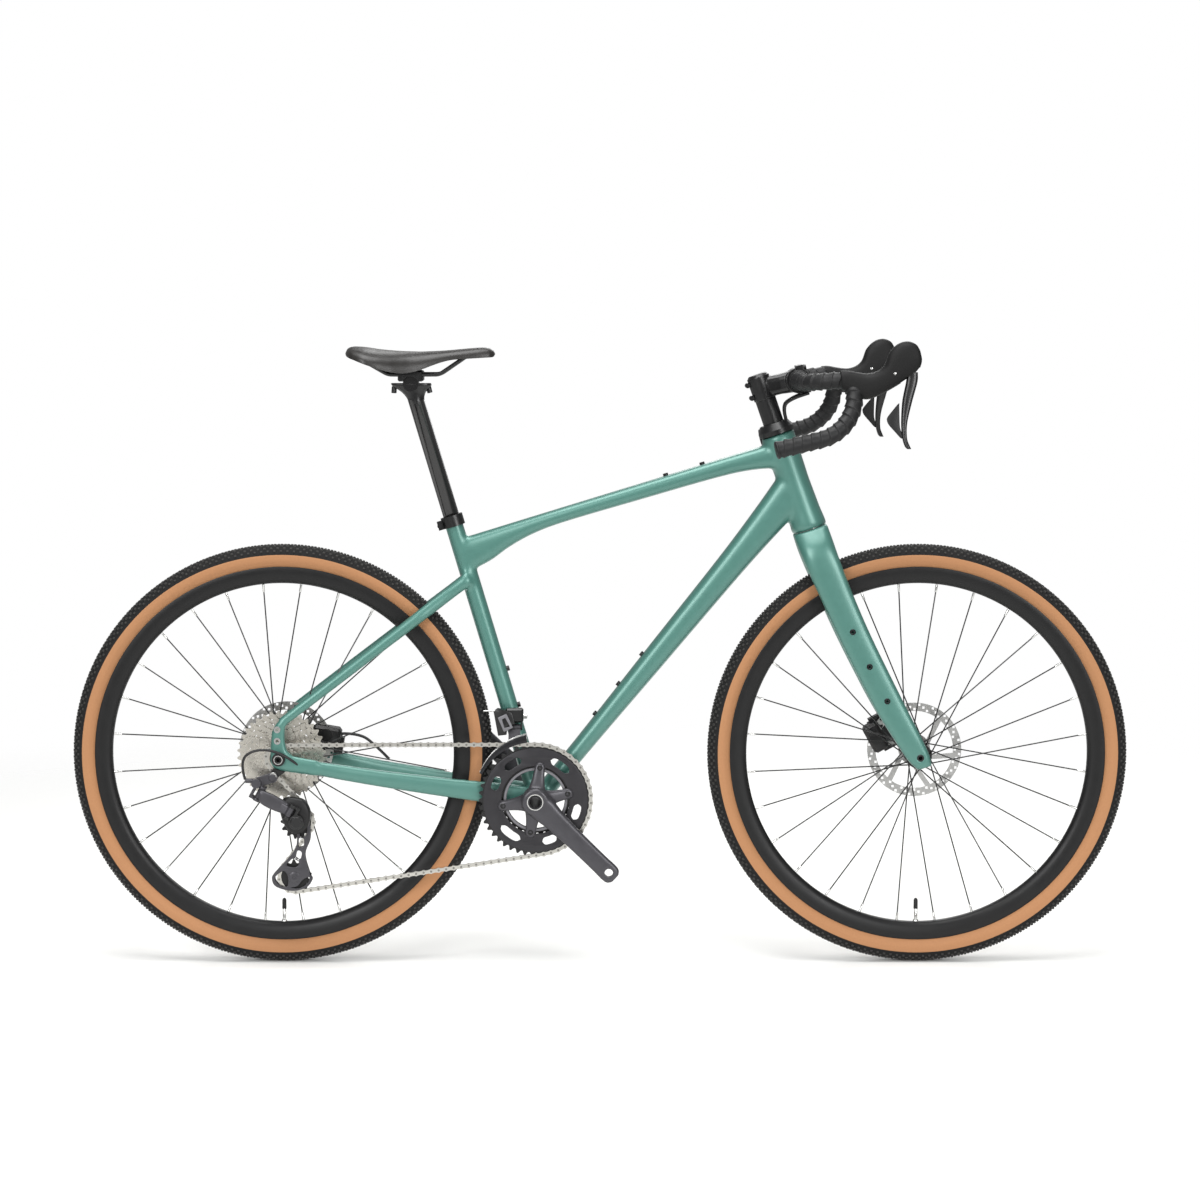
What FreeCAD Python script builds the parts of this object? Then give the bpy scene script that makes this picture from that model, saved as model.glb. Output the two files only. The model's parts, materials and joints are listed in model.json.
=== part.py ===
import FreeCAD, Part
import math
import os
import Sketcher
from FreeCAD import Matrix, Placement, Rotation, Vector

# A gravel bike. +X points forward, +Y to the left, +Z up. The origin is on the ground, midway
# between the axles. The drive side is the right side, -Y. Lengths are millimetres.

doc = FreeCAD.newDocument("GravelBike")
sheet = doc.addObject("Spreadsheet::Sheet", "Sizes")


class Size(float):
    """A number from the sheet that remembers the formula which gives it."""

    def __new__(cls, value, formula):
        size = float.__new__(cls, value)
        size.formula = formula
        return size

    def __add__(self, other):
        return Size(float(self) + float(other), f"({self.formula} + {formula_of(other)})")

    def __radd__(self, other):
        return Size(float(other) + float(self), f"({formula_of(other)} + {self.formula})")

    def __sub__(self, other):
        return Size(float(self) - float(other), f"({self.formula} - {formula_of(other)})")

    def __mul__(self, other):
        return Size(float(self) * float(other), f"({self.formula} * {formula_of(other)})")

    __rmul__ = __mul__

    def __truediv__(self, other):
        return Size(float(self) / float(other), f"({self.formula} / {formula_of(other)})")

    def __neg__(self):
        return Size(-float(self), f"(-{self.formula})")


def formula_of(value):
    """The sheet formula of a size, or a plain number as text."""
    return value.formula if isinstance(value, Size) else repr(float(value))


SIZES = {
    # Layout of the wheels and the frame
    "wheelbase": 1070,
    "wheel_radius": 354,
    "chainstay_length": 433,
    "bb_drop": 72,
    "head_angle": 71,
    "seat_angle": 73.3,
    "fork_length": 418,
    "fork_rake": 49,
    # Clearances shared by the whole bike
    "running_gap": 0.05,
    "seat_gap": 0.1,
    "free_gap": 0.6,
    "cut_overrun": 3,
    # Tyres, rims, spokes and valves
    "tyre_width": 43,
    "tyre_bead_half": 11.2,
    "tyre_wall": 2.4,
    "rim_edge_radius": 316,
    "rim_inner_radius": 288,
    "rim_width": 27,
    "rim_wall": 2,
    "rim_well": 9,
    "rim_flat": 9,
    "spoke_radius": 1,
    "nipple_radius": 2,
    "nipple_length": 13,
    "nipple_gap": 0.9,
    "spoke_lie": 2.8,
    "valve_radius": 3,
    "valve_length": 40,
    "valve_cap_radius": 3.6,
    "valve_cap_length": 18,
    # Hubs, axles and brake discs
    "front_hub_width": 100,
    "rear_hub_width": 142,
    "axle_radius": 6,
    "axle_bore_radius": 3.6,
    "axle_head_radius": 11,
    "axle_head_length": 5,
    "hub_end_radius": 9.5,
    "hub_end_length": 6,
    "hub_shell_radius": 13,
    "hub_bearing_radius": 15,
    "flange_thickness": 3.2,
    "flange_radius": 22,
    "front_flange_right": 35,
    "front_flange_left": 22,
    "rear_flange_right": 18,
    "rear_flange_left": 33,
    "disc_seat_radius": 17,
    "disc_seat_length": 9,
    "disc_radius": 80,
    "disc_track": 14,
    "disc_spider_radius": 27,
    "disc_thickness": 1.8,
    "disc_hole_radius": 2.1,
    "disc_arm_width": 9,
    "disc_inset_front": 10.5,
    "disc_inset_rear": 15.3,
    # Chain, sprockets and cassette
    "chain_pitch": 12.7,
    "roller_radius": 3.85,
    "roller_gap": 0.15,
    "chain_inner_half": 1.15,
    "chain_plate": 0.65,
    "chain_plate_radius": 4.1,
    "tooth_rise": 2.8,
    "cog_thickness": 1.7,
    "cog_step": 3.65,
    "first_cog_inset": 5.5,
    "freehub_radius": 16.4,
    "cog_rim": 7,
    "lockring_radius": 16.4,
    # Cranks, chainrings and bottom bracket
    "crank_length": 170,
    "crank_angle": -43.8,
    "ring_outer_line": 49.5,
    "ring_inner_line": 42.3,
    "ring_thickness": 2.2,
    "ring_rim": 10,
    "ring_bolt_radius": 55,
    "ring_bolt_head_radius": 7,
    "spindle_radius": 12,
    "spindle_bore_radius": 9,
    "crank_inner_face": 46.5,
    "crank_boss_radius": 23,
    "crank_boss_outer": 79,
    "crank_end_outer": 86,
    "crank_end_radius": 14,
    "crank_end_thickness": 13,
    "crank_arm_width": 30,
    "crank_arm_thickness": 17,
    "pedal_hole_radius": 7.14,
    "shell_radius": 22,
    "shell_width": 68,
    "shell_bore_radius": 17,
    "cup_flange_radius": 20.5,
    # Frame tubes
    "head_tube_length": 169,
    "head_tube_lower_radius": 30,
    "head_tube_waist_radius": 26.5,
    "head_tube_upper_radius": 28.5,
    "head_tube_collar": 12,
    "lower_bearing_radius": 26,
    "lower_bearing_height": 8,
    "upper_bearing_radius": 21,
    "upper_bearing_height": 7,
    "seat_tube_length": 491,
    "seat_tube_radius": 15.2,
    "down_tube_depth": 46,
    "down_tube_width": 46,
    "down_tube_foot": 9,
    "down_tube_head_height": 76,
    "top_tube_depth": 25,
    "top_tube_width": 36,
    "top_tube_seat_height": 453,
    "top_tube_head_height": 157,
    "chainstay_width": 16,
    "chainstay_height": 36,
    "chainstay_front_y": 22,
    "chainstay_rear_y": 75,
    "seatstay_width": 14,
    "seatstay_depth": 22,
    "seatstay_top_height": 386,
    "seatstay_top_y": 15,
    "seatstay_rear_y": 75,
    "bridge_radius": 6,
    "dropout_thickness": 8,
    "dropout_reach": 64,
    "eyelet_radius": 2.1,
    "hanger_thickness": 6,
    "hanger_drop": 30,
    "hanger_setback": 10,
    "hanger_bolt_radius": 5.5,
    "seat_clamp_height": 15,
    "seat_clamp_wall": 3.6,
    "bolt_head_radius": 4.4,
    "bolt_head_rise": 4,
    "bottle_bolt_spacing": 64,
    "seat_bore_depth": 240,
    "down_bolt_start": 165,
    "seat_bolt_start": 156,
    "top_bolt_start": 365,
    # Fork
    "fork_crown_half": 14.6,
    "fork_crown_depth": 29.5,
    "fork_end_y": 57,
    "fork_leg_half": 7,
    "fork_end_radius": 13,
    "fork_boss_radius": 5,
    "fork_boss_hole_radius": 2.1,
    "fork_boss_depth": 9,
    "fork_boss_spacing": 64,
    "steerer_radius": 14.3,
    "steerer_lower_radius": 19.9,
    "steerer_length": 268,
    # Headset cover, spacers, stem
    "cover_radius": 30.5,
    "cover_top_radius": 24,
    "cover_height": 19,
    "spacer_radius": 17.5,
    "spacer_height": 14,
    "stem_height": 40,
    "stem_reach": 62,
    "stem_rise_angle": -7,
    "stem_clamp_radius": 19,
    "stem_body_width": 34,
    "stem_bar_radius": 21.5,
    "stem_bar_width": 44,
    "stem_bolt_head": 4.3,
    "top_cap_height": 4,
    # Handlebar and tape
    "bar_clamp_radius": 15.9,
    "bar_clamp_half": 42,
    "bar_radius": 11.9,
    "bar_half_width": 206,
    "bar_corner_y": 186,
    "bar_reach": 80,
    "bar_ramp_rise": 6,
    "bar_drop": 78,
    "bar_hook_back": 8,
    "bar_end_drop": 106,
    "bar_end_back": 47,
    "bar_flare": 30,
    "bar_end_flare": 40,
    "bar_corner_radius": 45,
    "bar_hook_top_radius": 28,
    "bar_hook_radius": 74,
    "tape_radius": 14.4,
    "tape_start": 62,
    "plug_radius": 15,
    "plug_length": 4,
    # Brake and shift levers
    "hood_length": 113,
    "hood_width": 33,
    "hood_depth": 48,
    "hood_horn": 51,
    "lever_out": 8,
    "lever_flare": 24,
    "lever_head_radius": 8,
    "lever_head_width": 15,
    "paddle_pin_radius": 1.4,
    "paddle_ear": 3,
    "lever_length": 122,
    "lever_width": 12,
    "lever_thickness": 9,
    "lever_pin_radius": 2.5,
    "paddle_thickness": 3,
    "paddle_reach": 20,
    # Brake calipers, pads and hoses
    "caliper_length": 62,
    "caliper_height": 28,
    "caliper_width": 34,
    "caliper_slot": 10,
    "caliper_fillet": 5,
    "rear_caliper_forward": 68,
    "rear_caliper_up": 24,
    "front_caliper_back": 66,
    "front_caliper_up": 21,
    "pad_height": 18,
    "pad_thickness": 3.4,
    "pad_gap": 0.35,
    "piston_radius": 11,
    "hose_radius": 2.5,
    "housing_radius": 2.2,
    # Seatpost and saddle
    "post_radius": 13.6,
    "post_insert": 120,
    "post_exposed": 222,
    "post_head_radius": 13,
    "post_head_width": 34,
    "cradle_lift": 4,
    "cradle_width": 52,
    "cradle_height": 9,
    "cradle_length": 42,
    "rail_bend_radius": 22,
    "rail_radius": 3.5,
    "rail_spacing": 44,
    "rail_rear_spacing": 70,
    "rail_nose_spacing": 22,
    "saddle_length": 251,
    "saddle_width": 144,
    "saddle_setback": 117,
    "saddle_top_height": 1038,
    "saddle_thickness": 30,
    "saddle_shell_wall": 3,
    "saddle_cover_side": 2.5,
    "saddle_cover_top": 9,
    "saddle_rail_height": 993,
    # Rear derailleur
    "rd_plate": 2,
    "rd_plate_half_gap": 6.2,
    "rd_pulley_hub_radius": 5,
    "rd_pivot_radius": 2.6,
    "rd_bolt_radius": 4,
    "rd_pulley_spacing": 92,
    "rd_cage_width": 20,
    "rd_knuckle_radius": 12.5,
    "rd_knuckle_width": 20,
    "rd_link_length": 60,
    "rd_link_thickness": 5,
    "rd_link_gap": 14,
    "rd_link_height": 16,
    "rd_b_knuckle_setback": 36,
    "rd_b_knuckle_drop": 38,
    "rd_b_forward": 5,
    "rd_b_fall": 18,
    "rd_boss_radius": 8,
    "rd_link_forward": 51,
    "rd_link_fall": 28,
    "rd_lean_angle": 15,
    "rd_cage_back": -1,
    "rd_cage_up": 5,
    "rd_guide_forward": 30,
    "rd_guide_drop": 107,
    # Front derailleur
    "fd_height": 124,
    "fd_band_height": 12,
    "fd_band_wall": 3.5,
    "fd_body_length": 30,
    "fd_body_width": 18,
    "fd_body_height": 34,
    "fd_link_length": 30,
    "fd_pivot_y": 24,
    "fd_lean_angle": 26,
    "fd_link_thickness": 5,
    "fd_cage_gap": 11,
    "fd_cage_plate": 1.4,
    "fd_cage_depth": 22,
    "fd_cage_clearance": 4,
}

SPOKES = 28
SPOKE_CROSSINGS = 2
COG_TEETH = (11, 12, 13, 14, 15, 17, 19, 21, 24, 28, 32, 36)
RING_TEETH = 46
INNER_RING_TEETH = 30
PULLEY_TEETH = 13
DISC_ARMS = 6
DISC_HOLE_STEPS = 20
CORNER_CHORDS = 3
RING_BOLT_ANGLES = (55, 126, -126, -55)

for row, (name, value) in enumerate(SIZES.items(), start=1):
    sheet.set(f"A{row}", name)
    sheet.set(f"B{row}", str(value))
    sheet.setAlias(f"B{row}", name)
doc.recompute()


class Sheet:
    """Gives each size of the sheet by name."""

    def __getattr__(self, name):
        return Size(sheet.get(name), f"Sizes.{name}")


d = Sheet()
nodes = {}

FORWARD = Vector(1, 0, 0)
LEFT = Vector(0, 1, 0)
UP = Vector(0, 0, 1)
SIDES = (("right", -1), ("left", 1))


def bind(item, **sizes):
    """Sets properties of a document object and ties each one to its sheet formula."""
    for name, value in sizes.items():
        setattr(item, name, float(value))
        item.setExpression(name, formula_of(value))


def node(label, item):
    """Marks a finished object as the sub-part of that name."""
    item.Label = label
    nodes[label] = item
    return item


def turned(x_axis, z_axis, at):
    """The placement whose Z axis is z_axis and whose X axis lies towards x_axis."""
    z = Vector(z_axis).normalize()
    x = Vector(x_axis) - z * z.dot(Vector(x_axis))
    x.normalize()
    y = z.cross(x)
    return Placement(Matrix(x.x, y.x, z.x, at.x, x.y, y.y, z.y, at.y, x.z, y.z, z.z, at.z, 0, 0, 0, 1))


def rod(name, radius, length, at, along):
    """A Part::Cylinder from a point along a direction."""
    item = doc.addObject("Part::Cylinder", name)
    bind(item, Radius=radius, Height=length)
    spare = FORWARD if abs(Vector(along).normalize().dot(FORWARD)) < math.cos(math.pi / 4) else UP
    item.Placement = turned(spare, along, at)
    return item


def block(name, length, width, height, centre, x_axis=FORWARD, z_axis=UP):
    """A Part::Box around its centre, with its length along x_axis and its height along z_axis."""
    item = doc.addObject("Part::Box", name)
    bind(item, Length=length, Width=width, Height=height)
    frame = turned(x_axis, z_axis, centre)
    item.Placement = frame.multiply(Placement(Vector(-length / 2, -width / 2, -height / 2), Rotation()))
    return item


def cut(name, base, *tools):
    """The base with each tool cut away in turn."""
    for index, tool in enumerate(tools):
        step = doc.addObject("Part::Cut", f"{name}_cut_{index}")
        step.Base = base
        step.Tool = tool
        base = step
    return base


def fuse(name, *items):
    """Several objects joined into one solid."""
    item = doc.addObject("Part::MultiFuse", name)
    item.Shapes = list(items)
    item.Refine = True
    return item


def group(name, *items):
    """Separate solids kept together as one sub-part."""
    item = doc.addObject("Part::Compound", name)
    item.Links = list(items)
    return item


def bevelled(name, base, size):
    """Bevels every edge of a block."""
    doc.recompute()
    item = doc.addObject("Part::Chamfer", name)
    item.Base = base
    item.Edges = [(index, float(size), float(size)) for index in range(1, len(base.Shape.Edges) + 1)]
    return item


def feature(name, shape):
    """A shape worked out with Part's own functions."""
    item = doc.addObject("Part::Feature", name)
    item.Shape = shape
    return item


def origin_plane(body, role):
    return next(item for item in body.Origin.OriginFeatures if item.Role == role)


def sketch_outline(body, role, outline, holes=()):
    """A closed sketch on one of the body's origin planes. Each corner is (x, y), or (x, y, via)
    where the stretch to the next corner is an arc through the point via. Each hole is (x, y,
    radius). Every corner, arc and hole is dimensioned from the origin by its sheet formula."""
    sketch = body.newObject("Sketcher::SketchObject", body.Name + "_sketch")
    sketch.AttachmentSupport = [(origin_plane(body, role), "")]
    sketch.MapMode = "FlatFace"
    ends = []
    arcs = []
    for index, corner in enumerate(outline):
        following = outline[(index + 1) % len(outline)]
        start = Vector(corner[0], corner[1], 0)
        stop = Vector(following[0], following[1], 0)
        if len(corner) < 3:
            sketch.addGeometry(Part.LineSegment(start, stop), False)
            ends.append((1, 2))
            continue
        via = Vector(corner[2][0], corner[2][1], 0)
        anticlockwise = (via - start).cross(stop - via).z > 0
        arc = Part.Arc(start, via, stop) if anticlockwise else Part.Arc(stop, via, start)
        sketch.addGeometry(arc, False)
        ends.append((1, 2) if anticlockwise else (2, 1))
        arcs.append((index, corner[2]))

    def place(geometry, vertex, x, y):
        for kind, value, axis in (("DistanceX", x, -2), ("DistanceY", y, -1)):
            if isinstance(value, Size) and float(value) != 0:
                rule = Sketcher.Constraint(kind, -1, 1, geometry, vertex, float(value))
                number = sketch.addConstraint(rule)
                sketch.setExpression(f"Constraints[{number}]", value.formula)
            else:
                sketch.addConstraint(Sketcher.Constraint("PointOnObject", geometry, vertex, axis))

    for index in range(len(outline)):
        following = (index + 1) % len(outline)
        join = (index, ends[index][1], following, ends[following][0])
        sketch.addConstraint(Sketcher.Constraint("Coincident", *join))
    for index, corner in enumerate(outline):
        place(index, ends[index][0], corner[0], corner[1])
    for index, via in arcs:
        point = sketch.addGeometry(Part.Point(Vector(via[0], via[1], 0)), True)
        place(point, 1, *via)
        sketch.addConstraint(Sketcher.Constraint("PointOnObject", point, 1, index))
    for x, y, radius in holes:
        circle = Part.Circle(Vector(x, y, 0), UP, float(radius))
        number = sketch.addGeometry(circle, False)
        place(number, 3, x, y)
        rule = sketch.addConstraint(Sketcher.Constraint("Radius", number, float(radius)))
        sketch.setExpression(f"Constraints[{rule}]", radius.formula)
    return sketch


def lathe(name, outline, at, along=LEFT):
    """A PartDesign body turned about an axis. Each corner of the outline is (along, radius)."""
    body = doc.addObject("PartDesign::Body", name)
    sketch = sketch_outline(body, "YZ_Plane", outline)
    turn = body.newObject("PartDesign::Revolution", name + "_turn")
    turn.Profile = sketch
    turn.ReferenceAxis = (sketch, ["H_Axis"])
    turn.Angle = 360
    body.Tip = turn
    body.Placement = Placement(at, Rotation(LEFT, along))
    return body


def plate(name, outline, thickness, at, holes=()):
    """A PartDesign body padded both ways from the XZ plane, for a flat piece seen from the side."""
    body = doc.addObject("PartDesign::Body", name)
    sketch = sketch_outline(body, "XZ_Plane", outline, holes)
    pad = body.newObject("PartDesign::Pad", name + "_pad")
    pad.Profile = sketch
    bind(pad, Length=thickness)
    pad.SideType = "Symmetric"
    body.Tip = pad
    body.Placement = Placement(at, Rotation())
    return body


def section_wire(centre, across, up, half_across, half_up, corner_share=0.9):
    """A closed section with chorded corners, rounder where the share is nearer one."""
    radius = min(half_across, half_up) * corner_share
    x, y = half_across - radius, half_up - radius
    corners = ((x, y), (-x, y), (-x, -y), (x, -y))
    points = []
    for quarter, (middle_x, middle_y) in enumerate(corners):
        for step in range(CORNER_CHORDS + 1):
            turn = math.pi / 2 * (quarter + step / CORNER_CHORDS)
            a, b = middle_x + radius * math.cos(turn), middle_y + radius * math.sin(turn)
            points.append(centre + across * a + up * b)
    return Part.makePolygon(points + points[:1])


def loft(sections):
    """A solid through sections, each (centre, across, up, half_across, half_up[, corner_share])."""
    return Part.makeLoft([section_wire(*section) for section in sections], True, True)


def rounded_path(points, radii):
    """A wire of straight runs through the points, joined by tangent arcs of the given radii."""
    edges = []
    start = points[0]
    for before, corner, after, radius in zip(points, points[1:], points[2:], radii):
        back = (before - corner).normalize()
        ahead = (after - corner).normalize()
        half_turn = (math.pi - back.getAngle(ahead)) / 2
        tangent = radius * math.tan(half_turn)
        inward = (back + ahead).normalize()
        middle = corner + inward * (radius / math.cos(half_turn) - radius)
        arc_start = corner + back * tangent
        arc_stop = corner + ahead * tangent
        edges.append(Part.LineSegment(start, arc_start).toShape())
        edges.append(Part.Arc(arc_start, middle, arc_stop).toShape())
        start = arc_stop
    edges.append(Part.LineSegment(start, points[-1]).toShape())
    return Part.Wire(edges)


def cord_path(points):
    """A wire whose corners have the widest arcs that the shorter neighbouring run leaves room for."""
    run_share = 0.45
    radii = []
    for before, corner, after in zip(points, points[1:], points[2:]):
        back = before - corner
        ahead = after - corner
        half_turn = (math.pi - back.getAngle(ahead)) / 2
        radii.append(run_share * min(back.Length, ahead.Length) / math.tan(half_turn))
    return rounded_path(points, radii)


def polygon_wire(centre, along, radius, sides):
    """A regular polygon across a direction, flat sides touching the radius."""
    across = along.cross(UP if abs(along.z) < abs(along.y) + abs(along.x) else LEFT).normalize()
    up = along.cross(across).normalize()
    corner = radius / math.cos(math.pi / sides)
    points = []
    for index in range(sides):
        turn = 2 * math.pi * (index + 0.5) / sides
        points.append(centre + across * (corner * math.cos(turn)) + up * (corner * math.sin(turn)))
    return Part.makePolygon(points + points[:1])


def prism(radius, length, at, along, sides):
    """A straight bar with flat sides."""
    return Part.Face(polygon_wire(at, along, radius, sides)).extrude(along * length)


def pipe(path, radius, sides=8):
    """A solid along a wire, with flat sides round it."""
    start = path.Edges[0]
    at = start.valueAt(start.FirstParameter)
    along = start.tangentAt(start.FirstParameter)
    return path.makePipeShell([polygon_wire(at, along, radius, sides)], True, False)


def extruded(wires, thickness, centre_y):
    """A face with holes in the XZ plane, thickened both ways about y."""
    face = Part.makeFace(wires, "Part::FaceMakerBullseye")
    face.translate(Vector(0, centre_y - thickness / 2, 0))
    return face.extrude(LEFT * thickness)


def flat(angle, radius):
    """A point in the XZ plane by its angle from +X towards +Z and its radius."""
    return Vector(radius * math.cos(angle), 0, radius * math.sin(angle))


def circle_wire(centre, radius):
    return Part.Wire([Part.Circle(centre, LEFT, float(radius)).toShape()])


# Places that many pieces share
rear_axle = Vector(-d.wheelbase / 2, 0, d.wheel_radius)
front_axle = Vector(d.wheelbase / 2, 0, d.wheel_radius)
bottom_bracket = rear_axle + Vector(math.sqrt(d.chainstay_length ** 2 - d.bb_drop ** 2), 0, -d.bb_drop)
head_turn = math.radians(d.head_angle)
steer_up = Vector(-math.cos(head_turn), 0, math.sin(head_turn))
steer_forward = Vector(math.sin(head_turn), 0, math.cos(head_turn))
crown = front_axle - steer_forward * d.fork_rake + steer_up * d.fork_length
seat_turn = math.radians(d.seat_angle)
seat_up = Vector(-math.cos(seat_turn), 0, math.sin(seat_turn))
seat_back = Vector(-math.sin(seat_turn), 0, -math.cos(seat_turn))
front_end_y = d.front_hub_width / 2
rear_end_y = d.rear_hub_width / 2
front_disc_y = front_end_y - d.disc_inset_front
rear_disc_y = rear_end_y - d.disc_inset_rear
cog_y = -(rear_end_y - d.first_cog_inset)


def on_steerer(height, forward=0, left=0):
    """A point by its height above the crown along the steering axis."""
    return crown + steer_up * height + steer_forward * forward + LEFT * left


def on_seat_tube(height, back=0, left=0):
    """A point by its height above the bottom bracket along the seat tube."""
    return bottom_bracket + seat_up * height + seat_back * back + LEFT * left


def wheel_tyre(name, axle):
    """A casing on the rim's hooks, open to the rim inside, with a rounded tread."""
    bead = d.rim_edge_radius - d.rim_well / 2
    section = d.wheel_radius - bead
    outer_shares = ((0.42, 1.0), (0.86, 0.8), (1.0, 0.54), (0.9, 0.32))
    inner_shares = ((0.74, 0.36), (0.8, 0.62), (0.4, 0.9))
    half = d.tyre_width / 2
    right = [(-half * out, bead + section * up) for out, up in outer_shares[::-1]]
    left = [(half * out, bead + section * up) for out, up in outer_shares]
    inner_left = [(half * out, bead + section * up) for out, up in inner_shares]
    inner_right = [(-half * out, bead + section * up) for out, up in inner_shares[::-1]]
    inner_half = d.tyre_bead_half - d.tyre_wall
    neck = d.rim_edge_radius + d.seat_gap
    outline = [(-d.tyre_bead_half, bead), (-d.tyre_bead_half, neck)] + right + left
    outline += [(d.tyre_bead_half, neck), (d.tyre_bead_half, bead), (inner_half, bead), (inner_half, neck)]
    outline += inner_left + inner_right + [(-inner_half, neck), (-inner_half, bead)]
    return node(name, lathe(name, outline, axle))


def wheel_rim(name, axle):
    """A hooked box rim, with the tyre valve standing inwards at the bottom."""
    half = d.rim_width / 2
    hook = d.tyre_bead_half + d.seat_gap
    well = d.rim_edge_radius - d.rim_well
    shoulder_share = 0.86
    outline = [
        (-half, d.rim_edge_radius),
        (-half * shoulder_share, d.rim_inner_radius + d.rim_well),
        (-d.rim_flat / 2, d.rim_inner_radius),
        (d.rim_flat / 2, d.rim_inner_radius),
        (half * shoulder_share, d.rim_inner_radius + d.rim_well),
        (half, d.rim_edge_radius),
        (hook, d.rim_edge_radius),
        (hook, well),
        (-hook, well),
        (-hook, d.rim_edge_radius),
    ]
    hoop = lathe(name + "_hoop", outline, axle)
    foot = axle - UP * (d.rim_inner_radius - d.seat_gap)
    stem = rod(name + "_valve", d.valve_radius, d.valve_length, foot, UP)
    cap_at = foot + UP * (d.valve_length - d.valve_cap_length)
    cap = rod(name + "_valve_cap", d.valve_cap_radius, d.valve_cap_length, cap_at, UP)
    return node(name, group(name, hoop, fuse(name + "_valve_whole", stem, cap)))


def wheel_spokes(name, axle, flange_right, flange_left):
    """Tangent spokes, crossed on each side, alternately inside and outside the hub flange."""
    hole_radius = d.flange_radius - d.flange_thickness
    lie = d.flange_thickness / 2 + d.spoke_lie
    end_radius = d.rim_inner_radius - d.nipple_gap
    rim_offset = d.nipple_radius / 2
    per_side = SPOKES // 2
    step = 2 * math.pi / per_side
    solids = []
    for side, flange in ((-1, flange_right), (1, flange_left)):
        for index in range(per_side):
            rim_angle = step * (index + side / 4) - math.pi / 2
            way = 1 if index % 2 else -1
            hub_angle = rim_angle + way * SPOKE_CROSSINGS * step
            start = axle + flat(hub_angle, hole_radius) + LEFT * (side * flange + way * lie)
            stop = axle + flat(rim_angle, end_radius) + LEFT * (side * rim_offset)
            along = (stop - start).normalize()
            length = (stop - start).Length
            wire = prism(d.spoke_radius, length - d.nipple_length, start, along, 6)
            nipple_at = stop - along * d.nipple_length
            nipple = prism(d.nipple_radius, d.nipple_length, nipple_at, along, 4)
            solids += [wire, nipple]
    return node(name, feature(name, Part.makeCompound(solids)))


def hub_outline(right_end, flange_right, flange_left, disc_y, end_y):
    """The left part of a hub's profile: shell, flanges, disc seat and end cap, from its right end."""
    bore = d.axle_radius + d.running_gap
    half = d.flange_thickness / 2
    seat_start = disc_y - d.disc_seat_length
    seat_end = disc_y + d.disc_thickness / 2
    return [
        (right_end, bore),
        (right_end, d.hub_bearing_radius),
        (-flange_right - half, d.hub_bearing_radius),
        (-flange_right - half, d.flange_radius),
        (-flange_right + half, d.flange_radius),
        (-flange_right + half, d.hub_shell_radius),
        (flange_left - half, d.hub_shell_radius),
        (flange_left - half, d.flange_radius),
        (flange_left + half, d.flange_radius),
        (flange_left + half, d.hub_bearing_radius),
        (seat_start, d.hub_bearing_radius),
        (seat_start, d.disc_seat_radius + d.rim_wall),
        (disc_y - d.disc_thickness / 2, d.disc_seat_radius + d.rim_wall),
        (disc_y - d.disc_thickness / 2, d.disc_seat_radius),
        (seat_end + d.hub_end_length / 2, d.disc_seat_radius),
        (seat_end + d.hub_end_length / 2, d.hub_end_radius),
        (end_y, d.hub_end_radius),
        (end_y, bore),
    ]


def front_hub():
    """Front hub, with a cap at each end that meets the fork."""
    outline = hub_outline(-d.front_flange_right - d.hub_end_length, d.front_flange_right,
                          d.front_flange_left, front_disc_y, front_end_y)
    bore = d.axle_radius + d.running_gap
    right = [
        (-front_end_y, bore),
        (-front_end_y, d.hub_end_radius),
        (-d.front_flange_right - d.hub_end_length, d.hub_end_radius),
    ]
    return node("front_hub", lathe("front_hub", right + outline[1:], front_axle))


def rear_hub():
    """Rear hub shell. The cassette and its driver turn beside it on the same axle."""
    outline = hub_outline(-d.rear_flange_right - d.flange_thickness, d.rear_flange_right,
                          d.rear_flange_left, rear_disc_y, rear_end_y)
    return node("rear_hub", lathe("rear_hub", outline, rear_axle))


def brake_disc(name, axle, disc_y):
    """A drilled steel disc on six slanted arms."""
    track_inner = d.disc_radius - d.disc_track
    slant_share = 0.35
    step = 2 * math.pi / DISC_ARMS
    wires = [circle_wire(Vector(), d.disc_radius), circle_wire(Vector(), d.disc_seat_radius)]
    for index in range(DISC_ARMS):
        inner_half = (step - d.disc_arm_width / d.disc_spider_radius) / 2
        outer_half = (step - d.disc_arm_width / track_inner) / 2
        inner = step * index
        outer = inner + step * slant_share
        corners = [flat(inner - inner_half, d.disc_spider_radius), flat(inner, d.disc_spider_radius),
                   flat(inner + inner_half, d.disc_spider_radius), flat(outer + outer_half, track_inner),
                   flat(outer, track_inner), flat(outer - outer_half, track_inner)]
        wires.append(Part.Wire([
            Part.Arc(corners[0], corners[1], corners[2]).toShape(),
            Part.LineSegment(corners[2], corners[3]).toShape(),
            Part.Arc(corners[3], corners[4], corners[5]).toShape(),
            Part.LineSegment(corners[5], corners[0]).toShape(),
        ]))
    row_shares = (0.22, 0.5, 0.78)
    for index in range(DISC_HOLE_STEPS):
        for row, share in enumerate(row_shares):
            angle = 2 * math.pi * (index + row / len(row_shares)) / DISC_HOLE_STEPS
            wires.append(polygon_wire(flat(angle, track_inner + d.disc_track * share), LEFT,
                                      d.disc_hole_radius, 4))
    shape = extruded(wires, d.disc_thickness, 0)
    item = feature(name, shape)
    item.Placement = Placement(axle + LEFT * disc_y, Rotation())
    return node(name, item)


def thru_axle(name, axle, outer_right, outer_left):
    """A hollow axle with a head on the drive side and its threaded end flush on the other."""
    outline = [
        (-outer_right - d.axle_head_length, d.axle_bore_radius),
        (-outer_right - d.axle_head_length, d.axle_head_radius),
        (-outer_right, d.axle_head_radius),
        (-outer_right, d.axle_radius),
        (outer_left, d.axle_radius),
        (outer_left, d.axle_bore_radius),
    ]
    return node(name, lathe(name, outline, axle))


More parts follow.
